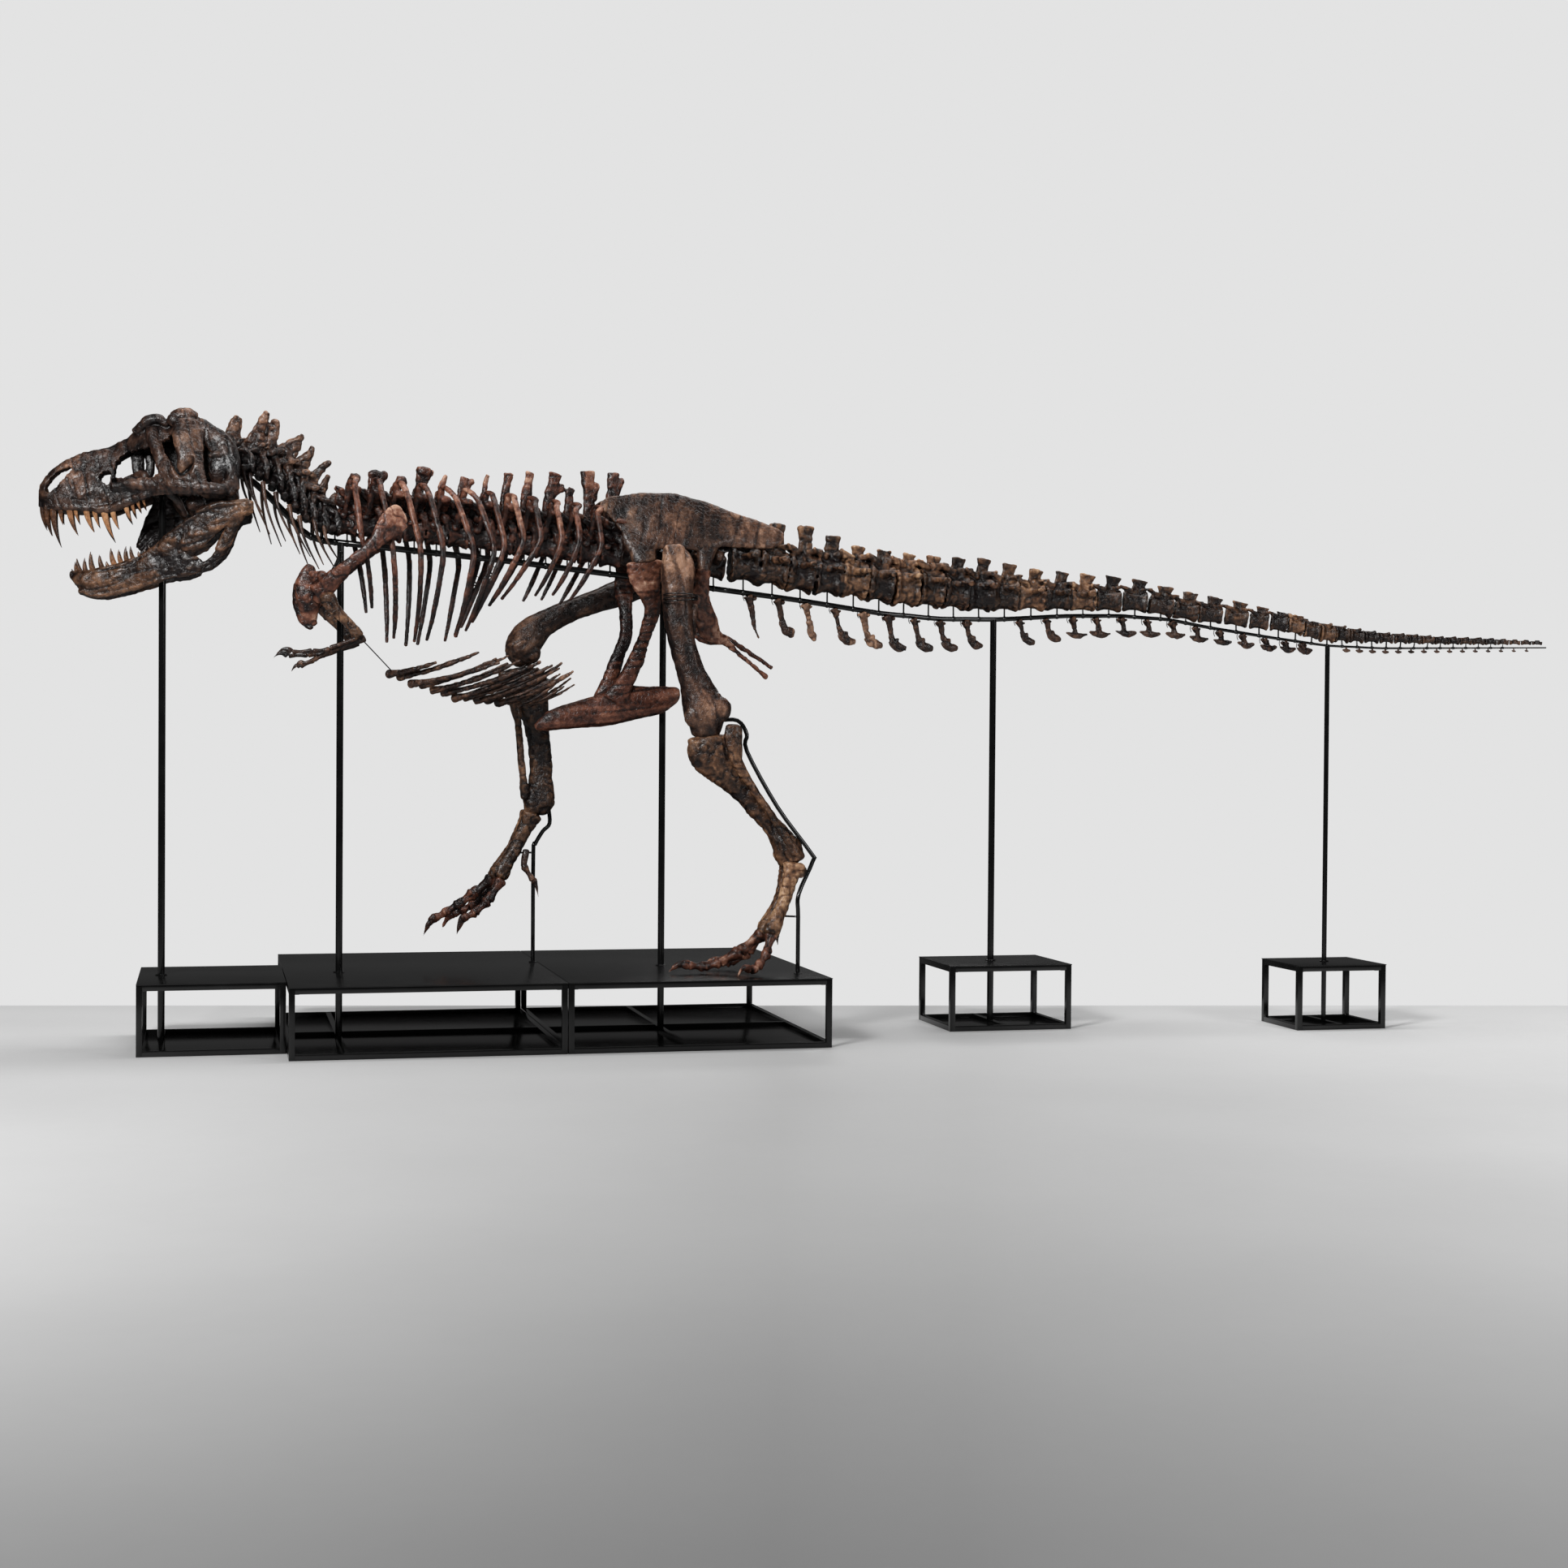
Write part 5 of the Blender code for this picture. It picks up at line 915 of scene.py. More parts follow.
def neck_bodies(i):
    """One vertebra of the neck: spool, arch, spine, and each side's joint bar and processes."""
    (x, z), ((root_x, root_z, root), *rest) = NECK[i]
    before, after = NECK[max(i - 1, 0)][0], NECK[min(i + 1, 7)][0]
    ahead = (after[0] - before[0], 0, after[1] - before[1])
    pitch = math.hypot(ahead[0], ahead[2]) / (2 if 0 < i < 7 else 1)
    here = Place((x, 0, z), ahead)
    thin = 0.010 / (len(rest) + 1)
    spine = [(root_x, 0, root_z, root, 0.030)]
    spine += [(at, 0, high, half, 0.019 + thin * k) for k, (at, high, half) in enumerate(rest)]
    bodies = [centrum(here, pitch - 0.008, 0.076, 0.086),
              sweep([(x, 0, z + 0.03, 0.062, 0.055), ((x + root_x) / 2, 0, (z + root_z) / 2, 0.060, 0.060),
                     (root_x, 0, root_z, root, 0.030)], seg=20),
              sweep(spine, seg=20, per=5, power=2.6, cap=0.5)]
    slope = math.radians(32 - 9 * i)
    way = np.array([math.cos(slope), 0, math.sin(slope)])
    for side in (-1, 1):
        middle = np.array([root_x + 0.015, side * 0.080, root_z - 0.045])
        joint = [(*(middle - way * 0.078), 0.008, 0.010), (*(middle - way * 0.030), 0.027, 0.020),
                 (*(middle + way * 0.035 + (0, side * 0.010, 0)), 0.024, 0.020),
                 (*(middle + way * 0.085), 0.009, 0.010)]
        strut = [(root_x + 0.03, side * 0.055, root_z - 0.06, 0.030, 0.024),
                 (x + 0.005, side * 0.110, z + 0.050, 0.022, 0.016),
                 (x + 0.020, side * 0.130, z - 0.020, 0.028, 0.015),
                 (x + 0.030, side * 0.130, z - 0.085, 0.012, 0.010)]
        bodies += [sweep(joint, seg=14, per=4), sweep(strut, seg=14, per=4),
                   wing(here, side, (-0.02, 0.055, -0.030), (0.0, 0.130, -0.060), 0.032, 0.034)]
    return bodies


def neck():
    marks = np.array([((x + spine[0][0]) / 2, (z + spine[0][1]) / 2 + 0.03) for (x, z), spine in NECK])
    for name, chosen in (("neck_front", range(0, 4)), ("neck_rear", range(4, 8))):
        centres = [(NECK[i][0][0], 0, NECK[i][0][1]) for i in chosen]
        near = nearest_tint(centres, [NECK_TINT[i] for i in chosen], 0.10)

        def tint(co, near=near):
            # Painted light and shade: paler above the line between each spool and its spine, darker below it.
            line = np.interp(co[:, 0], marks[:, 0], marks[:, 1])
            return near(co) - 0.15 + 0.16 * np.clip((co[:, 2] - line) / 0.12, -1, 1)

        bone(name, [body for i in chosen for body in neck_bodies(i)], "bone_dark", tint, 0.0054, 1, 1.7)
    ribs = []
    for x, z, tip_x, tip_z in NECK_RIBS:
        for side in (-1, 1):
            tip = np.array([tip_x - 0.03 * (side + 1), side * 0.150, tip_z + 0.02 * (side + 1)])
            head = np.array([x, side * 0.120, z])
            bend = np.array([-0.016, side * 0.020, -0.014])
            ribs.append(sweep([(*head, 0.017, 0.014), (*(head * 0.75 + tip * 0.25 + bend), 0.011, 0.010),
                               (*(head * 0.45 + tip * 0.55 + bend), 0.008, 0.007), (*tip, 0.0035, 0.0035)],
                              seg=10))
    dress("neck_ribs", solid_mesh("neck_ribs", ribs), PAINTS["bone_dark"], (),
          lambda co: 0.28 + 0.10 * np.sin(co[:, 0] * 31))


# x of head, x at the widest, x of tip, z of tip, half width of the cage
RIBS = mm(
    (-3615, -3545, -3460, 3050, 400), (-3458, -3330, -3310, 2840, 440), (-3301, -3140, -3170, 2820, 470),
    (-3144, -2985, -3085, 2830, 490), (-2987, -2775, -2885, 2858, 500), (-2830, -2630, -2815, 2900, 500),
    (-2672, -2560, -2770, 2960, 495), (-2515, -2425, -2650, 3080, 480), (-2358, -2300, -2560, 3130, 460),
    (-2201, -2145, -2320, 3160, 430), (-2044, -2015, -2190, 3170, 390), (-1887, -1850, -2060, 3140, 340))


def rail_z(x):
    return rail_point(x)[2]


def rib(row):
    """Two-headed rib of the left side, flattened, with a thin rear edge."""
    head, widest, tip_x, tip_z, half = row
    base = rail_z(head) + DORSAL_CENTRE
    shoulder = base + 0.318
    tall = shoulder - tip_z
    rows = [
        (head + 0.006, -0.100, base + 0.262, 0.014, 0.018),
        (head + 0.020, -0.165, shoulder - 0.012, 0.016, 0.020),
        (head + 0.045, -0.250, shoulder - 0.026, 0.016, 0.022),
        (0.55 * head + 0.45 * widest, -0.345 * half / 0.44, shoulder - 0.10 * tall, 0.016, 0.022),
        (0.28 * head + 0.72 * widest, -0.93 * half, shoulder - 0.26 * tall, 0.015, 0.022),
        (0.98 * widest + 0.02 * tip_x, -1.00 * half, shoulder - 0.44 * tall, 0.014, 0.021),
        (0.62 * widest + 0.38 * tip_x + 0.012, -0.99 * half, shoulder - 0.64 * tall, 0.013, 0.020),
        (0.26 * widest + 0.74 * tip_x + 0.010, -0.90 * half, shoulder - 0.84 * tall, 0.012, 0.018),
        (tip_x, -0.75 * half, tip_z + 0.012, 0.009, 0.012),
    ]
    neck_rows = [(head + 0.020, -0.185, shoulder - 0.030, 0.019, 0.022),
                 (head - 0.010, -0.120, base + 0.120, 0.017, 0.020),
                 (head - 0.022, -0.068, base + 0.045, 0.020, 0.022)]

    def flange(share, angles):
        return 1 + 0.16 * np.sin(angles) * math.sin(math.pi * min(1, share * 1.5))

    return [sweep(rows, across=(1, 0, 0), seg=14, per=7, warp=flange),
            sweep(neck_rows, across=(1, 0, 0), seg=12, per=4)]


# Lean, height of the top, half width at the root and at the top, tint
SPINES = (
    (0.056, 4.026, 0.030, 0.036, 0.36), (0.030, 4.056, 0.034, 0.046, 0.38),
    (0.068, 4.010, 0.036, 0.036, 0.60), (0.070, 4.084, 0.038, 0.050, 0.36),
    (0.066, 4.050, 0.028, 0.014, 0.82), (0.040, 4.036, 0.036, 0.032, 0.62),
    (0.050, 4.062, 0.026, 0.018, 0.80), (0.042, 4.072, 0.030, 0.036, 0.60),
    (0.042, 4.088, 0.040, 0.030, 0.74), (0.068, 4.086, 0.042, 0.056, 0.50),
    (0.030, 3.985, 0.036, 0.030, 0.34), (-0.010, 4.110, 0.046, 0.055, 0.80),
    (0.018, 4.104, 0.042, 0.046, 0.46),
)
# Number of the spine, place along the body from it, height and size
SIDE_KNOBS = (
    (1, 0.098, 4.032, 0.026), (3, 0.112, 4.060, 0.022), (5, 0.090, 4.005, 0.022),
    (9, 0.112, 3.985, 0.030), (11, 0.048, 4.000, 0.034), (12, 0.078, 4.048, 0.022))


def dorsal_spine(k, x, z):
    """One spine of the trunk: the front ones end in knobs, the rear ones in flat blades."""
    lean, top, root, tip, _ = SPINES[k]
    rows = [(x, 0, z + 0.13, root * 1.1, 0.034), (x + 0.45 * lean, 0, 3.925, root * 0.92, 0.024),
            (x + 0.80 * lean, 0, 0.4 * 3.925 + 0.6 * top, 0.5 * (root * 0.8 + tip), 0.021),
            (x + lean, 0, top - 0.012, tip, 0.024)]
    bodies = [sweep(rows, seg=22, per=5, power=3.0, cap=0.25)]
    if k < 4:
        bodies.append(blob((x + lean, 0, top - 0.030), (tip * 1.12, 0.036, 0.038)))
    return bodies


def dorsal(k, x, here, pitch):
    """One vertebra of the trunk without its side processes."""
    roof = [(-0.52 * pitch, 0, 0.175, 0.050, 0.036), (0, 0, 0.165, 0.085, 0.046),
            (0.52 * pitch, 0, 0.205, 0.052, 0.034)]
    front = [(-0.10 * pitch, 0.045, 0.185, 0.030, 0.026), (-0.45 * pitch, 0.055, 0.225, 0.026, 0.026),
             (-0.66 * pitch, 0.050, 0.245, 0.012, 0.016)]
    rear = [(0.15 * pitch, 0.050, 0.130, 0.034, 0.026), (0.40 * pitch, 0.066, 0.090, 0.030, 0.022),
            (0.46 * pitch, 0.070, 0.020, 0.016, 0.014)]
    return [centrum(here, pitch - 0.012, 0.098, 0.086), *dorsal_spine(k, x, here.at[2]),
            sweep(here.rows(roof), across=here.v, seg=18), *prong(here, front), *prong(here, rear)]


def trunk():
    xs = even_row(DORSALS)
    spine_tints = np.array([row[4] for row in SPINES])

    def rough(co):
        return 1.4 - 0.9 * ramp_up(np.abs(co[:, 1]), 0.13, 0.06)

    for side, sign in (("left", -1), ("right", 1)):
        bodies = []
        for k, x in enumerate(xs):
            slope = (rail_z(x + 0.1) - rail_z(x - 0.1)) / 0.2
            here = Place((x, 0, rail_z(x) + DORSAL_CENTRE), (1, 0, slope))
            if sign < 0:
                bodies += dorsal(k, x, here, xs[1] - xs[0])
            deep = 0.036 if k < 10 else 0.028
            bodies.append(wing(here, sign, (0.015, 0.030, 0.150), (0.028, 0.185, 0.232), deep, 0.048))
            bodies.append(wing(here, sign, (-0.03, 0.050, 0.030), (-0.035, 0.088, 0.050), 0.034, 0.030))
        for k, dx, z, size in SIDE_KNOBS if sign < 0 else ():
            bodies.append(blob((xs[k] + dx, 0, z - 0.01), (size, 0.020, size * 1.15)))
            stalk = [(xs[k] + 0.03, 0, 3.900, 0.030, 0.022), (xs[k] + dx, 0, z, size * 0.8, 0.018)]
            bodies.append(sweep(stalk))
        bodies += [body for row in RIBS for body in sided(rib(row), sign)]

        def tint(co, sign=sign):
            nearest = np.abs(co[:, None, 0] - 0.045 - np.array(xs)).argmin(1)
            spine = 0.26 + (spine_tints[nearest] - 0.36) * ramp_up(co[:, 2], 3.86, 0.12)
            rib_share = ramp_up(np.abs(co[:, 1]), 0.15, 0.08)
            up = ramp_up(co[:, 2], 3.05, 0.75)
            patch = 0.10 * np.sin(co[:, 0] * 17.0) + 0.10 * noise(co * (1, 1, 0.4), 0.10, 9)
            # Painted light and shade: the near ribs grow paler towards the top, the far ribs stay dark.
            side_tint = 0.16 + 0.34 * up + patch if sign < 0 else 0.16 + 0.06 * up
            return spine * (1 - rib_share) + rib_share * side_tint

        bone("trunk_" + side, bodies, "bone_red", tint, 0.0060, 2, rough)


def tail_rows():
    """Centre, pitch, half height and direction of each vertebra of the tail."""
    rows = []
    x = TAIL_START
    while x < TAIL_PARTS[-1][0] - 0.03:
        pitch = profile(x, PITCH)
        step = 0.5 * pitch
        ahead = (2 * step, profile(x + step, SWING) - profile(x - step, SWING),
                 profile(x + step, CENTRE_Z) - profile(x - step, CENTRE_Z))
        rows.append((x, profile(x, SWING), profile(x, CENTRE_Z), pitch, profile(x, CENTRUM_HIGH), ahead))
        x += 0.5 * (pitch + profile(x + pitch, PITCH))
    return rows


def tail_knob(here, pitch, high, tall):
    """Spine and joint process of a low vertebra near the tip."""
    spine = [(-0.10 * pitch, 0, high * 0.5, pitch * 0.24, high * 0.5),
             (0.20 * pitch, 0, max(tall * 0.95, high * 1.2), pitch * 0.10, high * 0.35)]
    joint = [(0.0, 0, high * 0.85, high * 0.35, high * 0.5),
             (-0.62 * pitch, 0, high * 1.0, high * 0.22, high * 0.4)]
    return [sweep(here.rows(spine), across=here.v, seg=12, per=3),
            sweep(here.rows(joint), across=here.v, seg=10, per=3)]


def tail():
    """Vertebrae of the tail in four lengths, the last of them low knobs."""
    start = TAIL_START - 0.1
    for number, (end, voxel, smooth, rough) in enumerate(TAIL_PARTS, 1):
        bodies, centres, values = [], [], []
        for k, (x, y, z, pitch, high, ahead) in enumerate(tail_rows()):
            if not start < x <= end:
                continue
            here = Place((x, y, z), ahead)
            centres.append((x, y, z))
            values.append(0.50 if k in TAIL_TAN else 0.22 + 0.06 * ((k * 5) % 3) - 0.04 * (x > 2.0))
            gap = 0.012 if x < 3.4 else 0.008
            top = (x + 0.20 * pitch, y, profile(x + 0.1 * pitch, TAIL_TOP))
            if x >= KNOBS_FROM:
                high *= 1.25
                bodies.append(centrum(here, pitch - gap, high, high * 0.95, 0.66))
                bodies += tail_knob(here, pitch, high, top[2] - z)
                continue
            wide = high * 0.90
            tip_half = (0.27 if x < 1.9 else 0.33) * pitch
            bodies.append(centrum(here, pitch - gap, high, wide, 0.80))
            bodies += arch(here, pitch, high, wide, top, 0.26 * pitch, tip_half, 0.13 * high + 0.004)
            if x < WINGS_TO:
                tip = (0.045, min(0.21, 1.45 * high + 0.015), 0.50 * high)
                for side in (-1, 1):
                    bodies.append(wing(here, side, (0.0, 0.6 * high, 0.45 * high), tip, 0.030, pitch * 0.19))
        tint = nearest_tint(centres, values, 0.10)
        bone(f"tail_{number}", bodies, "bone_dark", tint, voxel, smooth, rough, paint=PAINTS["bone_tan"])
        start = end


def upright(y, rows, seg=14, per=6):
    """A body whose rings (x, z, half up, half side) stand in one plane."""
    return sweep([(x, y, z, high, wide) for x, z, high, wide in rows], seg=seg, per=per)


def chevron(k, x, shaft, foot):
    """One haemal arch under the rail: the first a rod, then clubs, boots and flat skids."""
    _, y, rail = rail_point(x)
    z = rail - profile(x, RAIL_RADIUS) - 0.002
    size = min(1.0, 0.55 + abs(foot[1]) * 1.9)
    sx, sz, fx, fz = x + shaft[0], z + shaft[1], x + foot[0], z + foot[1]
    half_x, half_z = (sx + fx) / 2, (sz + fz) / 2
    bodies = [sweep([(x - 0.012, y + side * 0.030, z - 0.004, 0.026 * size, 0.014),
                     (x + 0.004, y + side * 0.016, z - 0.045 * size, 0.022 * size, 0.012),
                     (sx, y, sz, 0.018 * size, 0.010)], seg=14, per=4) for side in (-1, 1)]
    head = [(x - 0.036 * size, z - 0.012, 0.010, 0.018), (x, z - 0.018, 0.020 * size, 0.026),
            (x + 0.038 * size, z - 0.014, 0.010, 0.018)]
    bodies.append(upright(y, head, per=4))
    if k == 0:
        rod_rows = [(sx, sz, 0.020, 0.013), (half_x - 0.008, half_z, 0.014, 0.010), (fx, fz, 0.005, 0.005)]
        return [*bodies, upright(y, rod_rows)]
    if k < 3:
        club = [(sx, sz, 0.024, 0.014), (half_x - 0.006, half_z - 0.02, 0.026, 0.014),
                (fx - 0.008, fz + 0.02, 0.034, 0.018), (fx + 0.004, fz - 0.01, 0.018, 0.012)]
        return [*bodies, upright(y, club, 16)]
    if x < SKIDS_FROM:
        leg_rows = [(sx, sz, 0.021, 0.013), (sx + 0.35 * (fx - sx), half_z, 0.027, 0.013),
                    (fx - 0.006, fz + 0.030, 0.040 * size, 0.016)]
        boot = [(fx - 0.062 * size, fz + 0.034, 0.010, 0.008),
                (fx - 0.030 * size, fz + 0.014, 0.030 * size, 0.014),
                (fx + 0.016 * size, fz - 0.004, 0.038 * size, 0.016),
                (fx + 0.066 * size, fz - 0.012, 0.022 * size, 0.011)]
        return [*bodies, upright(y, leg_rows, 16), upright(y, boot, 16)]
    reach = 0.085 * min(1, 0.45 + abs(foot[1]) * 4.6)
    skid = [(fx - reach, fz + 0.020, 0.008, 0.007), (fx - 0.45 * reach, fz + 0.006, 0.021, 0.012),
            (fx + 0.30 * reach, fz - 0.002, 0.025, 0.013), (fx + reach, fz + 0.008, 0.010, 0.008)]
    neck_rows = [(sx, sz + 0.02, 0.019, 0.012), (fx - 0.012, fz + 0.016, 0.026, 0.012)]
    return [*bodies, upright(y, neck_rows), upright(y, skid)]


def chevrons():
    heads = [(row[0], 0, 3.0) for row in CHEVRONS]
    values = [0.72 if k in PALE_CHEVRONS else 0.36 for k in range(len(CHEVRONS))]
    bodies = [body for k, row in enumerate(CHEVRONS) for body in chevron(k, *row)]
    dress("chevrons", fused("chevrons", bodies, 0.0050, 1, 1.3), PAINTS["bone_dark"], (),
          nearest_tint(heads, values, 0.08))
    bodies = []
    for x in even_row(TINY_CHEVRONS):
        _, y, z = rail_point(x)
        size = 0.027 - 0.010 * (x - 3.9)
        stem = [(x, z - 0.004, size * 0.30, 0.005), (x + 0.003, z - 0.016 - size * 0.4, size * 0.35, 0.005)]
        skid = [(x - size, z - 0.018 - size * 0.3, size * 0.25, 0.004),
                (x, z - 0.018 - size * 0.5, size * 0.55, 0.006),
                (x + size * 1.2, z - 0.020 - size * 0.4, size * 0.30, 0.004)]
        bodies += [upright(y, stem, 10, 4), upright(y, skid, 10, 4)]
    dress("chevrons_small", solid_mesh("chevrons_small", bodies), PAINTS["bone_dark"], (),
          lambda co: 0.36 + 0.10 * noise(co, 0.09, 6))


# ---------------------------------------------------------------- pelvis
ILIUM_LEAN = (0.28, 0.96)
ILIUM = mm(
    (-1826, -125, 3850, 20, 10), (-1790, -127, 3846, 56, 12), (-1740, -132, 3828, 95, 14),
    (-1660, -150, 3778, 158, 18), (-1590, -163, 3757, 192, 22), (-1520, -175, 3745, 214, 26),
    (-1400, -180, 3742, 216, 30), (-1280, -180, 3745, 210, 32), (-1170, -176, 3728, 204, 32),
    (-1060, -170, 3715, 194, 30), (-980, -162, 3714, 168, 27), (-920, -155, 3714, 144, 26),
    (-820, -145, 3704, 120, 24), (-720, -135, 3690, 106, 24), (-630, -127, 3672, 96, 24),
    (-550, -120, 3657, 86, 23), (-490, -116, 3658, 60, 20), (-462, -115, 3660, 36, 16))


def ilium():
    out, rise = ILIUM_LEAN
    for side, sign in (("left", -1), ("right", 1)):
        bodies = [
            sweep(ILIUM, axis=(1, 0, 0), up=(0, out, rise), seg=44, per=6, power=2.8, cap=0.2),
            rod((-1560, -178, 3700, 130, 16), (-1555, -196, 3610, 120, 34), (-1535, -222, 3520, 100, 48),
                (-1518, -240, 3430, 86, 58), power=2.4, cap=0.15),
            rod((-1020, -172, 3700, 110, 16), (-1045, -190, 3600, 90, 30), (-1068, -215, 3500, 64, 40),
                (-1085, -235, 3385, 46, 46), power=2.4, cap=0.15),
            rod((-1500, -190, 3590, 60, 20), (-1400, -200, 3610, 62, 28), (-1290, -206, 3620, 62, 32),
                (-1180, -198, 3610, 62, 28), (-1080, -185, 3590, 60, 20)),
            rod((-1330, -205, 3640, 60, 14), (-1345, -185, 3780, 55, 14), (-1360, -150, 3930, 40, 10)),
            rod((-1010, -190, 3600, 30, 30), (-800, -165, 3590, 24, 24), (-560, -140, 3588, 18, 20)),
        ]

        def tint(co, sign=sign):
            level = 0.45 + 0.20 * ramp_up(co[:, 0], -1.05, 0.3) + 0.11 * noise(co, 0.22, 12)
            level += spots(co, (-1820, -120, 3860, 75, 0.45))
            level += 0.12 * noise(co - np.outer(co[:, 2], (0, 0, 0.8)), 0.07, 11)
            # Painted shade: the far ilium is darker.
            return level - (0.18 if sign > 0 else 0)

        bone("ilium_" + side, sided(bodies, sign), "bone_dark", tint, 0.0078, 4, 0.75, (0.25, 0, 1))


def sacrum():
    bodies = []
    xs = even_row(SACRALS)
    pitch = xs[1] - xs[0]
    for x in xs:
        here = Place((x, 0, rail_z(x) + SACRAL_CENTRE), (1, 0, -0.10))
        bodies.append(centrum(here, pitch + 0.006, 0.092, 0.090, 0.82))
        bodies += arch(here, pitch, 0.092, 0.090, (x + 0.02, 0, 3.862), 0.066, 0.045, 0.018)
        bodies += [wing(here, side, (0, 0.04, 0.05), (0.0, 0.178, 0.075), 0.055, 0.042) for side in (-1, 1)]
    bodies.append(rod((-1640, 0, 3700, 120, 14), (-1300, 0, 3690, 130, 14), (-900, 0, 3680, 120, 14),
                      axis=(1, 0, 0)))
    bone("sacrum", bodies, "bone_dark", lambda co: np.full(len(co), 0.30), 0.0085, 2, 1.1)


def pubis():
    shafts = [
        rod((-1522, -240, 3430, 130, 46), (-1512, -235, 3347, 126, 46), (-1498, -225, 3278, 106, 44),
            (-1462, -205, 3175, 72, 42), (-1452, -180, 3071, 56, 42), (-1489, -140, 2931, 50, 42),
            (-1543, -95, 2756, 56, 42), (-1625, -60, 2579, 66, 42), (-1700, -40, 2440, 100, 44), seg=24,
            power=2.3, cap=0.2),
        rod((-1530, 240, 3430, 120, 46), (-1560, 235, 3347, 100, 46), (-1590, 220, 3250, 70, 42),
            (-1582, 190, 3124, 52, 40), (-1583, 150, 2943, 46, 40), (-1650, 100, 2761, 50, 40),
            (-1720, 60, 2580, 60, 42), (-1760, 40, 2440, 90, 42), seg=24, power=2.3, cap=0.2),
    ]
    boot = [rod((-2266, 0, 2252, 24, 30), (-2235, 0, 2268, 46, 40), (-2180, 0, 2290, 70, 50),
                (-2060, 0, 2318, 88, 56), (-1860, 0, 2356, 112, 62), (-1690, 0, 2400, 136, 66),
                (-1520, 0, 2430, 122, 62), (-1340, 0, 2452, 98, 56), (-1250, 0, 2480, 64, 46),
                (-1218, 0, 2494, 44, 36), axis=(1, 0, 0), seg=28, per=5, power=2.3, cap=0.3),
            rod((-1680, 0, 2560, 30, 30), (-1700, 0, 2480, 80, 50), seg=14)]

    def rough(co):
        return 0.9 + 0.5 * ramp_up(co[:, 2], 2.5, 0.3)

    def tint(co):
        level = 0.42 + spots(co, (-1950, 0, 2360, 220, 0.16), (-1300, 0, 2480, 120, 0.10),
                             (-1500, -250, 3340, 160, 0.26))
        # Painted shade: the far shaft is darker.
        return level + 0.08 * noise(co, 0.2, 31) - 0.24 * (co[:, 1] > 0.05)

    bone("pubis", boot + shafts, "bone_red", tint, 0.0075, 3, rough, (1, 0, 0.1))


def ischium():
    plate = [
        rod((-1085, -232, 3395, 60, 44), (-1100, -207, 3280, 64, 36), (-1106, -186, 3195, 76, 32),
            (-1080, -160, 3110, 84, 30), (-1022, -122, 2985, 88, 28), (-955, -88, 2918, 58, 26),
            (-880, -60, 2896, 36, 22), seg=22, power=2.4, cap=0.3),
        rod((-1180, -190, 3200, 30, 16), (-1150, -160, 3090, 45, 16), (-1090, -120, 2990, 30, 16), seg=14),
    ]
    rods = [rod((-910, -66, 2895, 34, 24), (-860, -54, 2868, 24, 22), (-714, -46, 2747, 19, 19),
                (-565, -42, 2628, 17, 17), seg=16),
            rod((-900, 66, 2905, 34, 24), (-840, 54, 2905, 24, 22), (-713, 46, 2833, 19, 19),
                (-505, 42, 2700, 17, 17), seg=16)]

    def tint(co):
        # Painted shade: the far side is darker.
        return 0.50 + spots(co, (-950, -100, 2900, 180, 0.16)) - 0.14 * (co[:, 1] > 0.02)

    bone("ischium", both(plate) + rods, "bone_red", tint, 0.0068, 2, 1.3)


# ---------------------------------------------------------------- legs
FEMUR = {
    "left": mm(
        (-1275, -165, 3465, 70, 65), (-1275, -235, 3465, 86, 78), (-1275, -290, 3462, 88, 85),
        (-1290, -352, 3440, 108, 86), (-1305, -400, 3380, 120, 83), (-1315, -425, 3200, 108, 78),
        (-1310, -432, 3020, 102, 76), (-1270, -437, 2820, 96, 76), (-1215, -440, 2650, 100, 80),
        (-1170, -444, 2530, 122, 92), (-1140, -446, 2440, 142, 106), (-1110, -450, 2330, 144, 120),
        (-1108, -450, 2222, 104, 104)),
    "right": mm(
        (-1275, 165, 3450, 70, 65), (-1275, 235, 3446, 86, 78), (-1275, 290, 3435, 88, 85),
        (-1325, 355, 3400, 104, 86), (-1390, 400, 3350, 110, 84), (-1560, 430, 3262, 100, 80),
        (-1760, 450, 3190, 86, 77), (-1960, 464, 3112, 84, 77), (-2120, 475, 3030, 94, 82),
        (-2205, 479, 2970, 114, 96), (-2260, 480, 2910, 126, 108), (-2308, 480, 2820, 125, 120),
        (-2300, 480, 2738, 84, 98)),
}
TIBIA = {
    "left": mm(
        (-1040, -455, 2160, 158, 90), (-1038, -455, 2100, 200, 96), (-1015, -456, 2035, 188, 90),
        (-975, -459, 1965, 148, 78), (-925, -462, 1900, 118, 68), (-865, -465, 1835, 98, 62),
        (-795, -469, 1752, 82, 56), (-725, -472, 1670, 75, 54), (-655, -476, 1590, 70, 55),
        (-590, -480, 1510, 74, 61), (-542, -484, 1440, 92, 78), (-505, -488, 1378, 112, 92),
        (-474, -492, 1294, 100, 92)),
    "right": mm(
        (-2290, 485, 2650, 152, 90), (-2286, 485, 2580, 186, 96), (-2265, 485, 2500, 170, 90),
        (-2235, 485, 2420, 132, 78), (-2205, 485, 2320, 104, 68), (-2190, 485, 2220, 90, 61),
        (-2170, 487, 2100, 84, 57), (-2160, 490, 1980, 83, 55), (-2158, 492, 1880, 88, 59),
        (-2160, 495, 1800, 100, 68), (-2168, 497, 1738, 114, 84), (-2176, 498, 1685, 118, 94),
        (-2185, 500, 1624, 84, 86)),
}
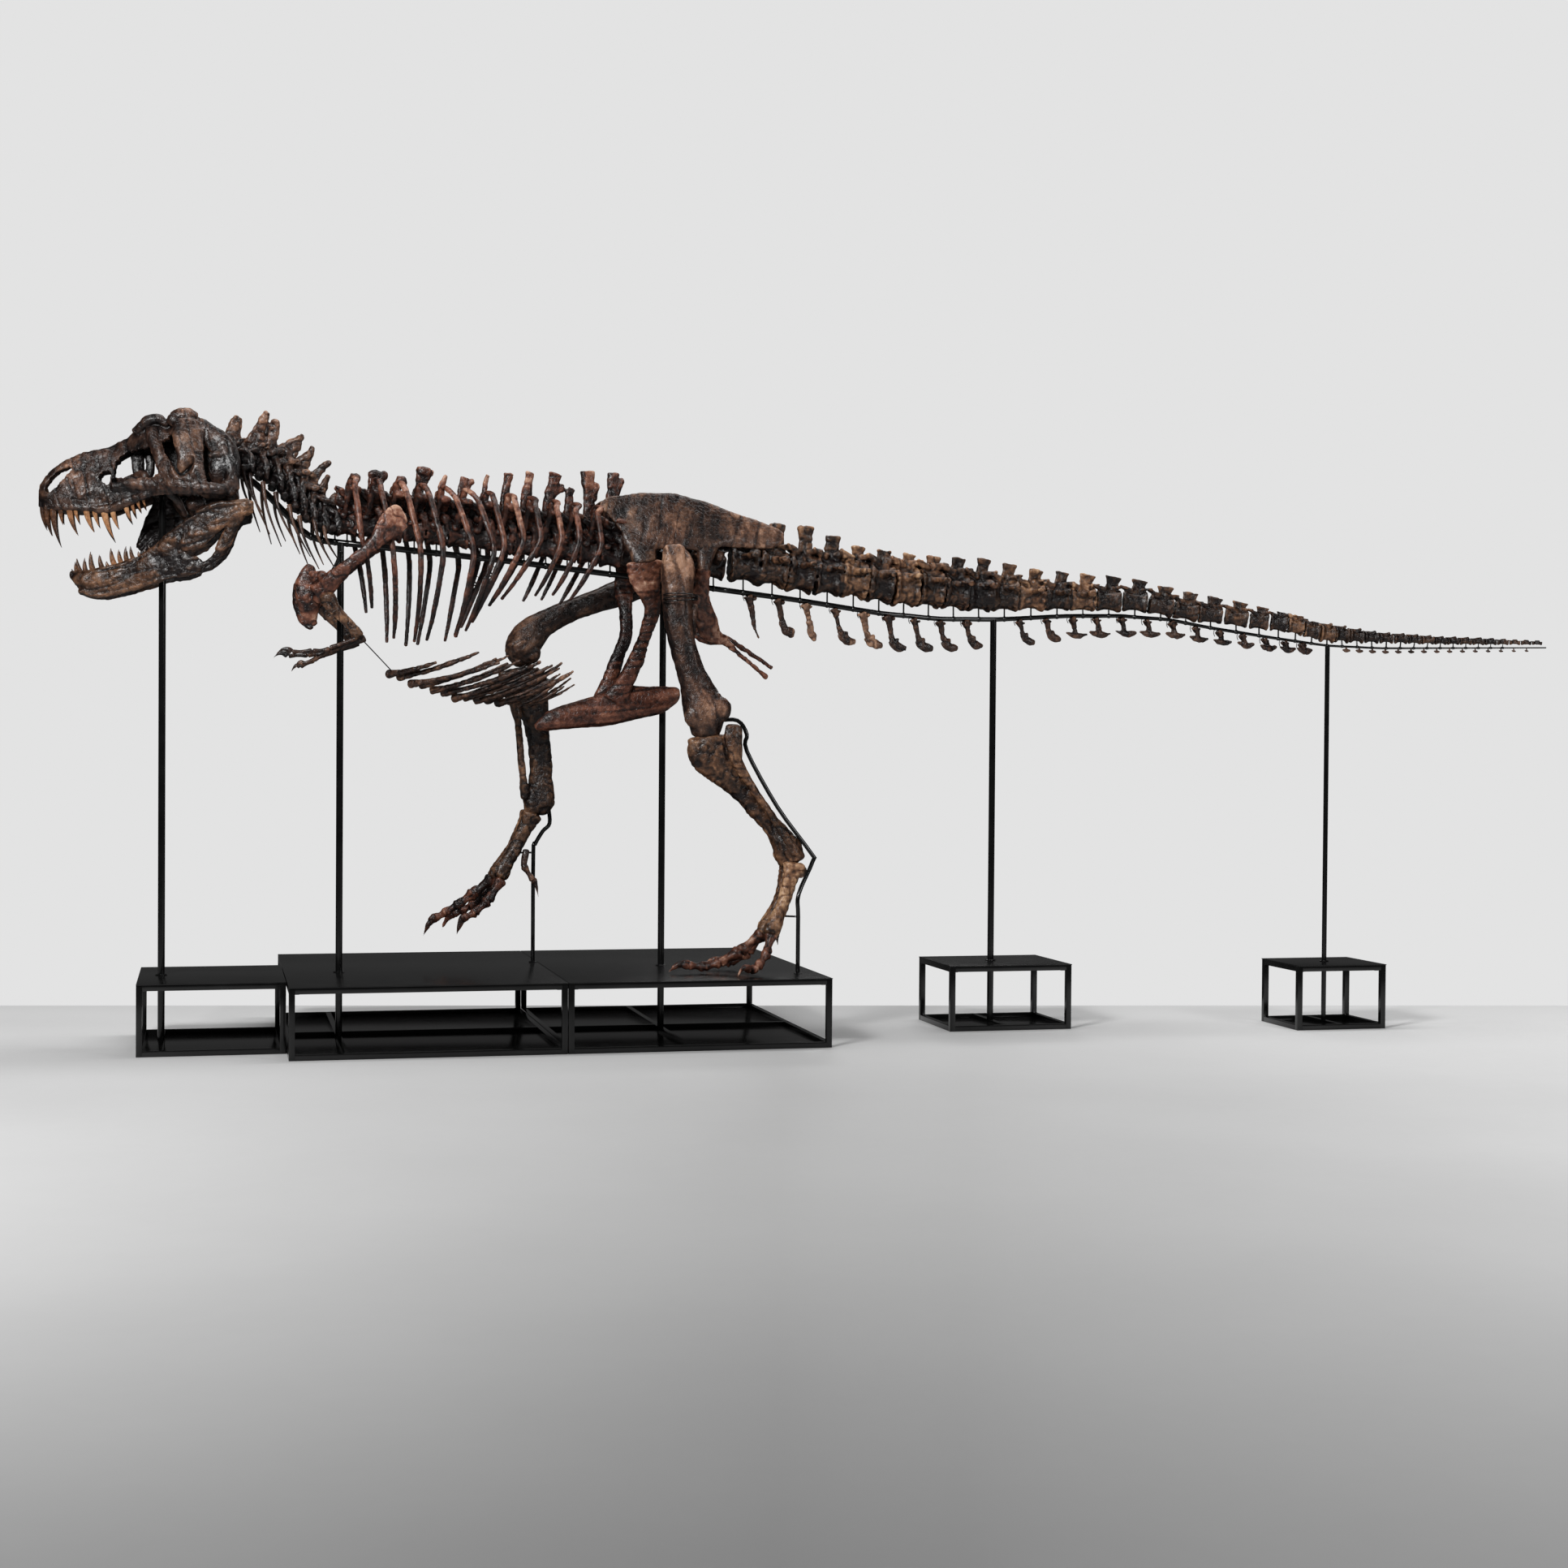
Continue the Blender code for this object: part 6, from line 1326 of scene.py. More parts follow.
FIBULA = {
    "left": mm(
        (-925, -560, 2250, 62, 28), (-930, -565, 2170, 68, 32), (-920, -564, 2090, 58, 30),
        (-890, -562, 1990, 40, 26), (-790, -560, 1830, 27, 21), (-700, -563, 1700, 24, 20),
        (-610, -568, 1560, 24, 20), (-500, -578, 1405, 34, 25), (-470, -582, 1348, 42, 27)),
    "right": mm(
        (-2385, 395, 2596, 55, 26), (-2382, 393, 2500, 58, 28), (-2365, 394, 2400, 42, 26),
        (-2345, 396, 2290, 30, 24), (-2325, 400, 2060, 26, 20), (-2300, 408, 1860, 25, 20),
        (-2292, 418, 1780, 34, 26), (-2288, 424, 1722, 30, 26)),
}
ANKLE = {
    "left": mm(
        (-478, -500, 1262), (-545, -510, 1010), (-685, -520, 775)),
    "right": mm(
        (-2232, 505, 1590), (-2330, 510, 1390), (-2500, 515, 1135)),
}
TOES = {
    "left": {
        2: mm(
            (-660, -420, 780), (-760, -350, 620), (-880, -290, 545), (-960, -255, 545), (-1060, -220, 500)),
        3: mm(
            (-690, -520, 770), (-860, -520, 640), (-1010, -520, 565), (-1120, -520, 540),
            (-1230, -520, 548), (-1380, -520, 502)),
        4: mm(
            (-650, -610, 770), (-700, -680, 640), (-765, -740, 570), (-820, -790, 540), (-870, -830, 545),
            (-960, -890, 500)),
    },
    "right": {
        2: mm(
            (-2460, 420, 1120), (-2560, 380, 960), (-2660, 360, 880), (-2740, 350, 840), (-2795, 345, 705)),
        3: mm(
            (-2510, 515, 1120), (-2650, 525, 1010), (-2760, 530, 930), (-2850, 535, 870), (-2925, 540, 830),
            (-3020, 545, 690)),
        4: mm(
            (-2470, 605, 1120), (-2560, 650, 980), (-2640, 690, 910), (-2710, 720, 870), (-2770, 745, 840),
            (-2860, 780, 720)),
    },
}
HALLUX = {
    "left": mm(
        (-560, -375, 900), (-555, -345, 820), (-545, -335, 740), (-535, -335, 660)),
    "right": mm(
        (-2280, 395, 1330), (-2300, 375, 1220), (-2230, 360, 1110), (-2190, 355, 985)),
}
PLATE_TOP = 0.49


def phalanx(a, b, size, squash=0.88):
    """One toe bone from joint a to joint b: a broad base, a waist and a rolled head."""
    a, b = np.asarray(a, float), np.asarray(b, float)
    way = unit(b - a)
    length = np.linalg.norm(b - a)
    shape = ((0.05, 0.98, 1.0), (0.14, 1.02, 1.02), (0.34, 0.74, 0.76), (0.58, 0.62, 0.64),
             (0.80, 0.78, 0.82), (0.92, 0.86, 0.90))
    rows = [(*(a + way * length * t), size * h, size * s * squash) for t, h, s in shape]
    return sweep(rows, across=(0, 1, 0), seg=16, per=4, cap=0.35)


def claw(a, b, size):
    """A curved claw from its joint to its tip."""
    a, b = np.asarray(a, float), np.asarray(b, float)
    rows = []
    for t, h in ((0.04, 1.0), (0.14, 1.04), (0.35, 0.80), (0.6, 0.54), (0.85, 0.24), (1.0, 0.06)):
        at = a + (b - a) * t + np.array([0, 0, 0.030]) * 4 * t * (1 - t)
        rows.append((*at, size * h, size * h * 0.62))
    return sweep(rows, across=(0, 1, 0), seg=14, per=4, cap=0.3)


FEMUR_GRAIN = {"left": (0.30, -0.10, -1), "right": (-1, 0, -0.55)}


HEEL = {
    "left": [rod((-1345, -440, 3520, 80, 46), (-1340, -440, 3400, 88, 56), (-1330, -430, 3280, 90, 58),
                 power=2.6),
             rod((-1190, -420, 3120, 24, 20), (-1200, -425, 3020, 30, 28), (-1190, -425, 2920, 22, 20)),
             lump(-1175, -500, 2325, 105, 50, 85), lump(-1025, -515, 2375, 98, 50, 98),
             lump(-1060, -400, 2290, 75, 52, 85),
             rod((-1040, -500, 2480, 30, 30), (-1000, -520, 2360, 36, 30))],
    "right": [rod((-1400, 440, 3440, 46, 46), (-1450, 436, 3370, 56, 56), (-1500, 430, 3300, 56, 56)),
              lump(-2350, 430, 2840, 60, 50, 80), lump(-2240, 540, 2790, 70, 50, 75),
              lump(-2240, 420, 2790, 70, 50, 75)],
}
SHIN = {
    "left": [rod((-1190, -470, 2150, 50, 30), (-1185, -470, 2060, 50, 28), (-1110, -470, 1960, 35, 28)),
             rod((-560, -500, 1500, 30, 50), (-530, -530, 1400, 60, 60), (-490, -530, 1300, 60, 60))],
    "right": [rod((-2440, 480, 2640, 40, 30), (-2430, 480, 2540, 50, 30), (-2350, 480, 2430, 35, 28)),
              rod((-2220, 470, 1780, 40, 50), (-2230, 460, 1690, 60, 60), (-2235, 470, 1620, 50, 50))],
}
FEMUR_SPOTS = {
    "left": ((-1310, -500, 3430, 190, 0.56), (-1050, -550, 2420, 140, 0.24), (-1200, -500, 2300, 120, 0.16)),
    "right": ((-2300, 460, 2900, 220, 0.36), (-1900, 450, 3150, 200, 0.14)),
}
SHADE = {"left": 0.0, "right": 0.16}    # how much darker the far leg is


def thigh_and_shin(side):
    dark = SHADE[side]

    def femur_tint(co):
        return 0.31 - dark / 8 + 0.10 * noise(co * (1, 1, 0.5), 0.14, 41) + spots(co, *FEMUR_SPOTS[side])

    def tibia_tint(co):
        level = 0.34 - 0.6 * dark + 0.13 * noise(co * (1, 1, 0.5), 0.15, 43)
        if side == "left":
            level += 0.18 * ramp_up(-co[:, 2], -1.5, 0.3) + 0.16 * ramp_up(co[:, 2], 2.0, 0.2)
        return level

    thigh = [sweep(FEMUR[side], seg=26, per=5, power=2.15, cap=0.55), *HEEL[side]]
    bone("femur_" + side, thigh, "bone_dark", femur_tint, 0.0088, 3, 1.1, FEMUR_GRAIN[side])
    shin = [sweep(TIBIA[side], seg=26, per=5, power=2.15, cap=0.35), *SHIN[side]]
    bone("tibia_" + side, shin, "bone_tan", tibia_tint, 0.0085, 3, 1.3)
    bone("fibula_" + side, [sweep(FIBULA[side], seg=18, per=5)], "bone_tan",
         lambda co: 0.42 - dark + 0.14 * noise(co, 0.2, 44), 0.0065, 2, 0.93)


def metatarsus(side):
    """Three long bones of the foot side by side, the middle one pinched at its top."""
    top, middle, low = (np.array(p) for p in ANKLE[side])
    bodies = []
    for offset, spread in ((-1, 0.095), (0, 0.0), (1, 0.092)):
        width = 0.028 if offset == 0 else 0.040
        foot = low + np.array([abs(offset) * 0.030, offset * spread, abs(offset) * 0.012])
        head = top + np.array([0, offset * 0.052, 0])
        waist = middle + np.array([0, offset * 0.060, 0])
        rows = [(*head, 0.078, width + 0.008), (*(head * 0.8 + waist * 0.2), 0.066, width + 0.002),
                (*(head * 0.4 + waist * 0.6), 0.056, width - 0.002), (*waist, 0.052, width - 0.002),
                (*(waist * 0.5 + foot * 0.5), 0.050, width + 0.002),
                (*(waist * 0.16 + foot * 0.84), 0.062, 0.046), (*foot, 0.060, 0.048)]
        bodies.append(sweep(rows, seg=20, per=4, cap=0.5))
    if side == "left":
        bodies.append(rod((-440, -560, 1245, 45, 40), (-420, -520, 1215, 50, 50)))
    level = 0.56 - 1.4 * SHADE[side]
    bone("metatarsus_" + side, bodies, "bone_tan",
         lambda co: level + 0.10 * np.sin(co[:, 1] * 40) + 0.12 * noise(co, 0.12, 46), 0.0065, 2, 1.2)


def toes(side):
    """Toes 2 to 4 and the small first toe; the left toes lie flat on the plate."""
    for number, joints in TOES[side].items():
        first = 0.054 if number == 3 else 0.047
        bodies = [phalanx(a, b, first * (1 - 0.10 * k))
                  for k, (a, b) in enumerate(zip(joints[:-2], joints[1:-1]))]
        bodies.append(claw(joints[-2], joints[-1], first * (1 - 0.10 * (len(joints) - 2))))
        name = f"toe_{number}_{side}"
        mesh = fused(name, bodies, 0.0052, 1, 0.93)
        if side == "left":
            co = coords(mesh)
            co[:, 2] = np.maximum(co[:, 2], PLATE_TOP + 0.0008)
            set_coords(mesh, co)
        dress(name, mesh, PAINTS["bone_red"], [name],
              lambda co: 0.50 - SHADE[side] + 0.12 * np.sin(co[:, 0] * 30))
    joints = HALLUX[side]
    bodies = [sweep([(*joints[0], 0.026, 0.022), (*joints[1], 0.022, 0.020)], seg=12, per=3),
              phalanx(joints[1], joints[2], 0.028), claw(joints[2], joints[3], 0.026)]
    bone("hallux_" + side, bodies, "bone_dark", lambda co: np.full(len(co), 0.34), 0.0048, 1, 0.53)


# ---------------------------------------------------------------- arms and belly ribs
SCAPULA = mm(
    (-3262, -452, 3708, 70, 10), (-3290, -458, 3690, 92, 14), (-3345, -470, 3630, 92, 18),
    (-3400, -477, 3565, 68, 20), (-3455, -480, 3500, 50, 22), (-3525, -474, 3432, 43, 24),
    (-3600, -465, 3370, 43, 26), (-3670, -440, 3305, 50, 31), (-3735, -410, 3245, 62, 36),
    (-3828, -362, 3152, 74, 38))
CORACOID = mm(
    (-3880, -300, 3340, 32, 20), (-3895, -305, 3290, 56, 26), (-3905, -310, 3230, 76, 30),
    (-3900, -317, 3170, 86, 32), (-3895, -320, 3110, 86, 32), (-3885, -310, 3020, 62, 26),
    (-3866, -298, 2965, 36, 20), (-3850, -290, 2938, 20, 16))
HUMERUS = mm(
    (-3775, -400, 3130, 54, 40), (-3757, -403, 3098, 56, 38), (-3735, -405, 3060, 48, 32),
    (-3695, -406, 3015, 38, 29), (-3655, -405, 2975, 34, 28), (-3615, -402, 2932, 33, 28),
    (-3585, -399, 2898, 38, 32), (-3558, -396, 2862, 42, 40))
FOREARMS = mm(
    ((-3545, -405, 2872, 24, 20), (-3575, -403, 2846, 19, 16), (-3650, -398, 2812, 14, 13),
     (-3745, -392, 2776, 18, 16)),
    ((-3518, -370, 2846, 28, 22), (-3560, -370, 2826, 24, 20), (-3650, -370, 2790, 17, 15),
     (-3745, -366, 2758, 20, 18)))
FINGERS = mm(
    ((-3750, -378, 2762), (-3870, -380, 2751), (-4010, -375, 2742), (-4115, -370, 2722)),
    ((-3750, -350, 2755), (-3828, -330, 2712), (-3925, -312, 2662), (-3990, -305, 2620)))


BLADE = [
    sweep(SCAPULA, seg=24, per=5, power=2.4, cap=0.4), sweep(CORACOID, seg=24, per=5, power=2.2, cap=0.4),
    rod((-3790, -372, 3260, 50, 26), (-3860, -330, 3240, 70, 26), seg=16),
    rod((-3800, -385, 3165, 30, 30), (-3835, -352, 3110, 40, 30), seg=14),
]
UPPER_ARM = [sweep(HUMERUS, seg=18, per=5, cap=0.5),
             rod((-3760, -430, 3060, 22, 14), (-3730, -436, 3020, 26, 14), seg=12)]


def arm(side):
    sign = -1 if side == "left" else 1
    # Painted shade: the far arm is darker.
    dark = 0.14 if sign > 0 else 0.0

    def blade_tint(co):
        bands = 0.10 * np.sin(co[:, 2] * 60 + co[:, 0] * 20) * (co[:, 0] < -3.83)
        return 0.46 - dark + spots(co, (-3300, -460, 3690, 130, 0.34)) + bands

    bone("scapula_" + side, sided(BLADE, sign), "bone_red", blade_tint, 0.0064, 2, 0.93)
    bone("humerus_" + side, sided(UPPER_ARM, sign), "bone_tan",
         lambda co: 0.44 - dark + 0.14 * np.sin(co[:, 2] * 34), 0.0052, 2, 0.8)
    bone("forearm_" + side, sided([sweep(rows, seg=14, per=5, cap=0.5) for rows in FOREARMS], sign),
         "bone_dark", lambda co: np.full(len(co), 0.38 - dark), 0.0042, 1, 0.5)
    fingers = []
    for joints, size in zip(FINGERS, (0.021, 0.019)):
        fingers += [phalanx(joints[0], joints[1], size), phalanx(joints[1], joints[2], size * 0.9),
                    claw(joints[2], joints[3], size * 0.95)]
    bone("hand_" + side, sided(fingers, sign), "bone_dark", lambda co: np.full(len(co), 0.36 - dark),
         0.0036, 1, 0.4)


GASTRALIA = (-3.300, -2.290, 14)
GASTRALIA_KEEL = mm(
    (-3300, 2612), (-3100, 2530), (-2800, 2440), (-2300, 2395))
GASTRALIA_LONG = mm(
    (-3300, 300), (-3200, 580), (-3000, 600), (-2750, 600), (-2500, 500), (-2290, 300))


def gastralia():
    _, _, count = GASTRALIA
    bodies = []
    for k, x in enumerate(even_row(GASTRALIA)):
        z = profile(x, GASTRALIA_KEEL) + 0.012 * (k % 2)
        long = profile(x, GASTRALIA_LONG)
        turn = math.radians(15 + 16 * k / (count - 1) + 3 * math.sin(k * 2.3))
        thick = 0.0185 if k < count - 3 else 0.011
        spread = 0.10 + 0.42 * long
        for side in (-1, 1):
            rows = [(x - 0.020, side * 0.012, z, 1.7 * thick, 1.5 * thick)]
            for t, size in ((0.14, 1.05), (0.42, 0.95), (0.75, 0.85), (1.0, 0.55)):
                rows.append((x + long * t * math.cos(turn), side * (0.02 + spread * t ** 0.8),
                             z + long * t * math.sin(turn) * (0.6 + 0.4 * t), thick * size, thick * size))
            bodies.append(sweep(rows, seg=14))
    # Painted shade: the far belly ribs are darker.
    bone("gastralia", bodies, "bone_dark",
         lambda co: 0.40 + 0.18 * noise(co, 0.16, 14) - 0.1 * (co[:, 1] > 0.08), 0.0052, 1, 1.0)


# ---------------------------------------------------------------- stand
def tube(points, radius, seg=20, per=5):
    """A round steel bar bent through its points."""
    rows = [(*p, radius if isinstance(radius, float) else radius[k]) for k, p in enumerate(points)]
    return sweep([(*r, r[3]) for r in rows], across=(0, 1, 0), seg=seg, per=per, cap=0.25)


def straight(a, b, radius, seg=24):
    across = (1, 0, 0) if abs(b[0] - a[0]) < 1e-4 else (0, 1, 0)
    return sweep([(*a, radius, radius), (*b, radius, radius)], across=across, seg=seg, per=1, cap=0.0)


def collar(x, y, radius, height):
    """A flat collar round a pole, on the plate."""
    return sweep([(x, y, PLATE_TOP, radius, radius), (x, y, PLATE_TOP + height, radius, radius)],
                 across=(1, 0, 0), seg=24, per=1, cap=0.15)


EASE = 0.0025               # how far the edges of bars and sheets are eased
THIN_EASE = 0.001


def bars(name, rows, paint, nodes):
    """Bars (x0, x1, y0, y1, z0, z1) with eased edges as one piece; a seventh number is the ease."""
    whole = bmesh.new()
    for x0, x1, y0, y1, z0, z1, *ease in rows:
        one = bmesh.new()
        bmesh.ops.create_cube(one, size=1.0)
        size = (x1 - x0, y1 - y0, z1 - z0)
        middle = ((x0 + x1) / 2, (y0 + y1) / 2, (z0 + z1) / 2)
        for v in one.verts:
            v.co = Vector([m + c * s for m, c, s in zip(middle, v.co, size)])
        edge = min(ease[0] if ease else EASE, 0.3 * min(size))
        bmesh.ops.bevel(one, geom=list(one.edges), offset=edge, segments=2, profile=0.7, affect="EDGES")
        scrap = bpy.data.meshes.new("scrap")
        one.to_mesh(scrap)
        one.free()
        whole.from_mesh(scrap)
        bpy.data.meshes.remove(scrap)
    bmesh.ops.triangulate(whole, faces=whole.faces)
    mesh = bpy.data.meshes.new(name)
    whole.to_mesh(mesh)
    whole.free()
    piece = dress(name, mesh, paint, nodes)
    piece.data.set_sharp_from_angle(angle=math.radians(40))


PLATFORMS = (
    ("head", -5.030, -4.046, -0.620, 0.610), ("main_front", -4.040, -2.172, -1.000, 1.500),
    ("main_rear", -2.166, -0.300, -1.000, 1.500), ("tail_front", 0.804, 1.762, -0.290, 0.495),
    ("tail_rear", 3.419, 4.149, -0.706, -0.090),
)
TUBE = 0.040
PLATE = 0.006               # thickness of the top sheets
PAD = 0.030                 # side of the small plates in the corners


def platforms():
    """Five tables of square tube: posts, two frames, a floor bar under the pole, pads and two sheets."""
    t, under = TUBE, PLATE_TOP - PLATE
    for name, x0, x1, y0, y1 in PLATFORMS:
        feet = [x for x, _ in POLES.values() if x0 < x < x1]
        split = feet[0] if feet else 0.5 * (x0 + x1)
        near, far = split - t / 2, split + t / 2
        rows = [(x, x + t, y, y + t, 0.0, under) for x in (x0, x1 - t) for y in (y0, y1 - t)]
        for z in (0.0, under - t):
            rows += [(x0 + t, x1 - t, y, y + t, z, z + t) for y in (y0, y1 - t)]
            rows += [(x, x + t, y0 + t, y1 - t, z, z + t) for x in (x0, x1 - t)]
        rows.append((near, far, y0 + t, y1 - t, 0.0, t))
        if x1 - x0 > 1.5:
            low, high = 0.5 * (y0 + y1) - t / 2, 0.5 * (y0 + y1) + t / 2
            rows += [(x0 + t, near, low, high, 0.0, t), (far, x1 - t, low, high, 0.0, t)]
        rows += [(x, x + PAD, y, y + PAD, PLATE_TOP - 0.052, PLATE_TOP - 0.046, THIN_EASE)
                 for x in (x0 + t, x1 - t - PAD) for y in (y0 + t, y1 - t - PAD)]
        rows.append((x0 + t - 0.002, x1 - t + 0.002, y0 + t - 0.002, y1 - t + 0.002, 0.003, 0.011, THIN_EASE))
        bars("stand_base_" + name, rows, STEEL, ["stand_base_" + name])
        top = (x0, x1, y0 - 0.010, y1 + 0.010, under, PLATE_TOP, 0.0012)
        bars("stand_sheet_" + name, [top], SHEET, ())


RODS = {
    "left": mm(
        (-1020, -450, 2300), (-880, -480, 2300), (-815, -500, 2200), (-815, -505, 2080), (-590, -520, 1680),
        (-345, -545, 1350), (-335, -560, 1290), (-462, -655, 1060), (-466, -660, 900), (-466, -660, 490.3)),
    "right": mm(
        (-2100, 500, 1660), (-2090, 500, 1530), (-2140, 510, 1470), (-2195, 530, 1370), (-2205, 540, 1300),
        (-2205, 540, 490.3)),
}
LEG_BARS = {
    "left": mm(
        (-600, -560, 900), (-466, -660, 900)),
    "right": mm(
        (-2400, 515, 1310), (-2200, 538, 1310)),
}


def steel_piece(name, bodies, stands_for=True):
    piece = dress(name, solid_mesh(name, bodies), STEEL, [name] if stands_for else ())
    piece.data.set_sharp_from_angle(angle=math.radians(50))


def poles():
    for name, (x, y) in POLES.items():
        top = 4.322 if name == "head" else rail_z(x)
        radius = 0.018 if name == "tail_rear" else 0.024
        bodies = [straight((x, y, PLATE_TOP), (x, y, top), radius), collar(x, y, radius + 0.016, 0.006),
                  straight((x, y, 0.012), (x, y, PLATE_TOP - PLATE), radius)]
        if name == "shoulder":
            bodies += [tube([(x, sign * 0.005, 3.470), (x - 0.02, sign * 0.16, 3.400),
                             (x - 0.060, sign * 0.370, 3.325)], 0.012) for sign in (-1, 1)]
        if name == "hip":
            bodies.append(tube([(x, y, top - 0.022), (x + 0.004, 0.0, top - 0.022)], 0.020))
        steel_piece("stand_pole_" + name, bodies)


def leg_rods():
    """The bent rods that carry the legs, the strap round the left thigh and the belly wire."""
    for side, path in RODS.items():
        bodies = [tube(path, 0.015, per=4), tube(LEG_BARS[side], 0.007, seg=12),
                  collar(path[-1][0], path[-1][1], 0.030, 0.005)]
        steel_piece("stand_rod_leg_" + side, bodies)
    turns = []
    for k, z in enumerate((3.150, 3.168, 3.186)):
        loop = [(-1.297 + 0.125 * math.cos(a), -0.455 + 0.100 * math.sin(a), z + 0.012 * math.cos(a + k))
                for a in np.arange(17) * (2 * math.pi / 16)]
        turns.append(sweep([(*p, 0.0045, 0.0045) for p in loop], across=(0, 0, 1), seg=10, per=3, cap=0.0))
    steel_piece("stand_strap_thigh", turns, stands_for=False)
    wire = mm((-3548, -396, 2852), (-3400, -170, 2722), (-3285, -12, 2618))
    steel_piece("stand_wire_belly", [tube(wire, 0.004, seg=10)])


RAIL_JOINTS = (
    ("neck", -4.46, -3.680), ("trunk", -3.680, -0.860), ("tail_front", -0.860, 2.340),
    ("tail_rear", 2.340, 5.450))
LAST_POST = 5.2
HIP_BAR = (-1.275, 3.392)               # x and z of the bar between the hips


def rails(backbone):
    """The rail in four lengths with its posts, the hip cross bar and the wires of the chevrons."""
    for name, start, end in RAIL_JOINTS:
        marks = [start, *(x for x, _, _ in RAIL_PATH if start < x < end), end]
        dense = [a + (b - a) * t for a, b in zip(marks, marks[1:]) for t in (0, 0.5)] + [end]
        bodies = [tube([rail_point(x) for x in dense], [profile(x, RAIL_RADIUS) for x in dense], per=2)]
        for x, y, z, high in backbone:
            if start < x < min(end, LAST_POST):
                foot, grip = rail_point(x), profile(x, RAIL_RADIUS) + 0.004
                bodies.append(straight(foot, (x, y, z - 0.6 * high), min(0.006, high * 0.2), 10))
                bodies.append(blob(foot, (0.020, grip, grip)))
        if name == "trunk":
            x, z = HIP_BAR
            bodies += [straight((x, -0.300, z), (x, 0.300, z), 0.018),
                       straight((x, 0, rail_z(x)), (x, 0, z), 0.014)]
        for x, *_ in CHEVRONS:
            if start < x - 0.05 and x < end - 0.02 and name.startswith("tail"):
                _, y, z = rail_point(x)
                wire = [(x - 0.042, y, z + 0.004), (x - 0.052, y - 0.006, z - 0.03),
                        (x - 0.040, y, z - 0.055)]
                bodies.append(tube(wire, 0.0028, seg=8, per=3))
        steel_piece("stand_rail_" + name, bodies)


def backbone_marks():
    """Centre and half height of every vertebra, where the rail's posts end."""
    marks = [(x, 0.0, z, 0.078) for (x, z), _ in NECK]
    marks += [(x, 0.0, rail_z(x) + DORSAL_CENTRE, 0.098) for x in even_row(DORSALS)]
    marks += [(x, 0.0, rail_z(x) + SACRAL_CENTRE, 0.092) for x in even_row(SACRALS)]
    return marks + [(x, y, z, high) for x, y, z, _, high, _ in tail_rows()]


# ---------------------------------------------------------------- build
skull()
lower_jaw()
all_teeth()
neck()
trunk()
sacrum()
ilium()
pubis()
ischium()
tail()
chevrons()
for one_side in ("left", "right"):
    thigh_and_shin(one_side)
    metatarsus(one_side)
    toes(one_side)
    arm(one_side)
gastralia()
platforms()
poles()
leg_rods()
rails(backbone_marks())


# ---------------------------------------------------------------- camera, floor and light
CAMERA = np.array([-4.563, -16.658, 2.119]) + SHIFT
YAW, PITCH_DOWN, ROLL = math.radians(13.99), 0.016414, 0.007248
FRAME_SIZE = 1932
SENSOR = 36
LENS = SENSOR * 2847.14 / FRAME_SIZE


def camera():
    flat = np.array([math.sin(YAW), math.cos(YAW), 0.0])
    right = np.array([math.cos(YAW), -math.sin(YAW), 0.0])
    ahead = flat * math.cos(PITCH_DOWN) - np.array([0, 0, math.sin(PITCH_DOWN)])
    rise = flat * math.sin(PITCH_DOWN) + np.array([0, 0, math.cos(PITCH_DOWN)])
    x_axis = right * math.cos(ROLL) + rise * math.sin(ROLL)
    y_axis = rise * math.cos(ROLL) - right * math.sin(ROLL)
    data = bpy.data.cameras.new("camera")
    data.lens = LENS
    data.sensor_width = SENSOR
    data.clip_end = 200
    seen = bpy.data.objects.new("camera", data)
    bpy.context.collection.objects.link(seen)
    turn = Matrix((x_axis, y_axis, -ahead)).transposed().to_4x4()
    seen.matrix_world = Matrix.Translation(CAMERA) @ turn
    bpy.context.scene.camera = seen


FLOOR_LINE = 1239                       # row of the picture where floor meets wall, of 1932


def on_floor(column):
    """The floor point at the line of floor and wall, at a column of the picture."""
    seen = bpy.context.scene.camera.matrix_world
    focal = LENS / SENSOR * FRAME_SIZE
    half = FRAME_SIZE / 2
    way = seen.to_3x3() @ Vector(((column - half) / focal, (half - FLOOR_LINE) / focal, -1.0))
    start = seen.translation
    return start + way * (-start.z / way.z)


def floor():
    """A sheet whose far edge is the line between floor and wall."""
    left, right = on_floor(-400), on_floor(FRAME_SIZE + 400)
    along = (right - left).normalized()
    left, right = left - along * FLOOR_WIDE, right + along * FLOOR_WIDE
    front = Vector((along.y, -along.x, 0)) * FLOOR_DEEP
    mesh = bpy.data.meshes.new("floor")
    corners = [Vector((c.x, c.y, 0)) for c in (left, right, right + front, left + front)]
    mesh.from_pydata(corners, [], [(0, 1, 2, 3)])
    mesh.materials.append(floor_paint())
    thing = bpy.data.objects.new("floor", mesh)
    bpy.context.collection.objects.link(thing)


def studio():
    """A pale wall that lights little, and four soft lamps."""
    world = bpy.data.worlds.new("studio")
    world.use_nodes = True
    tree = world.node_tree
    wall = tree.nodes["Background"]
    wall.inputs["Color"].default_value = WALL_COLOUR
    path = tree.nodes.new("ShaderNodeLightPath")
    strength = tree.nodes.new("ShaderNodeMapRange")
    strength.inputs["To Min"].default_value = WALL_LIGHT
    strength.inputs["To Max"].default_value = 1.0
    tree.links.new(path.outputs["Is Camera Ray"], strength.inputs["Value"])
    tree.links.new(strength.outputs["Result"], wall.inputs["Strength"])
    bpy.context.scene.world = world
    bpy.context.scene.view_settings.view_transform = "Standard"
    for name, place, aim, size, power in LAMPS:
        data = bpy.data.lights.new(name, "AREA")
        data.shape = "RECTANGLE"
        data.size, data.size_y = size
        data.energy = power
        lamp = bpy.data.objects.new(name, data)
        lamp.location = place
        lamp.rotation_euler = (Vector(aim) - Vector(place)).to_track_quat("-Z", "Y").to_euler()
        bpy.context.collection.objects.link(lamp)


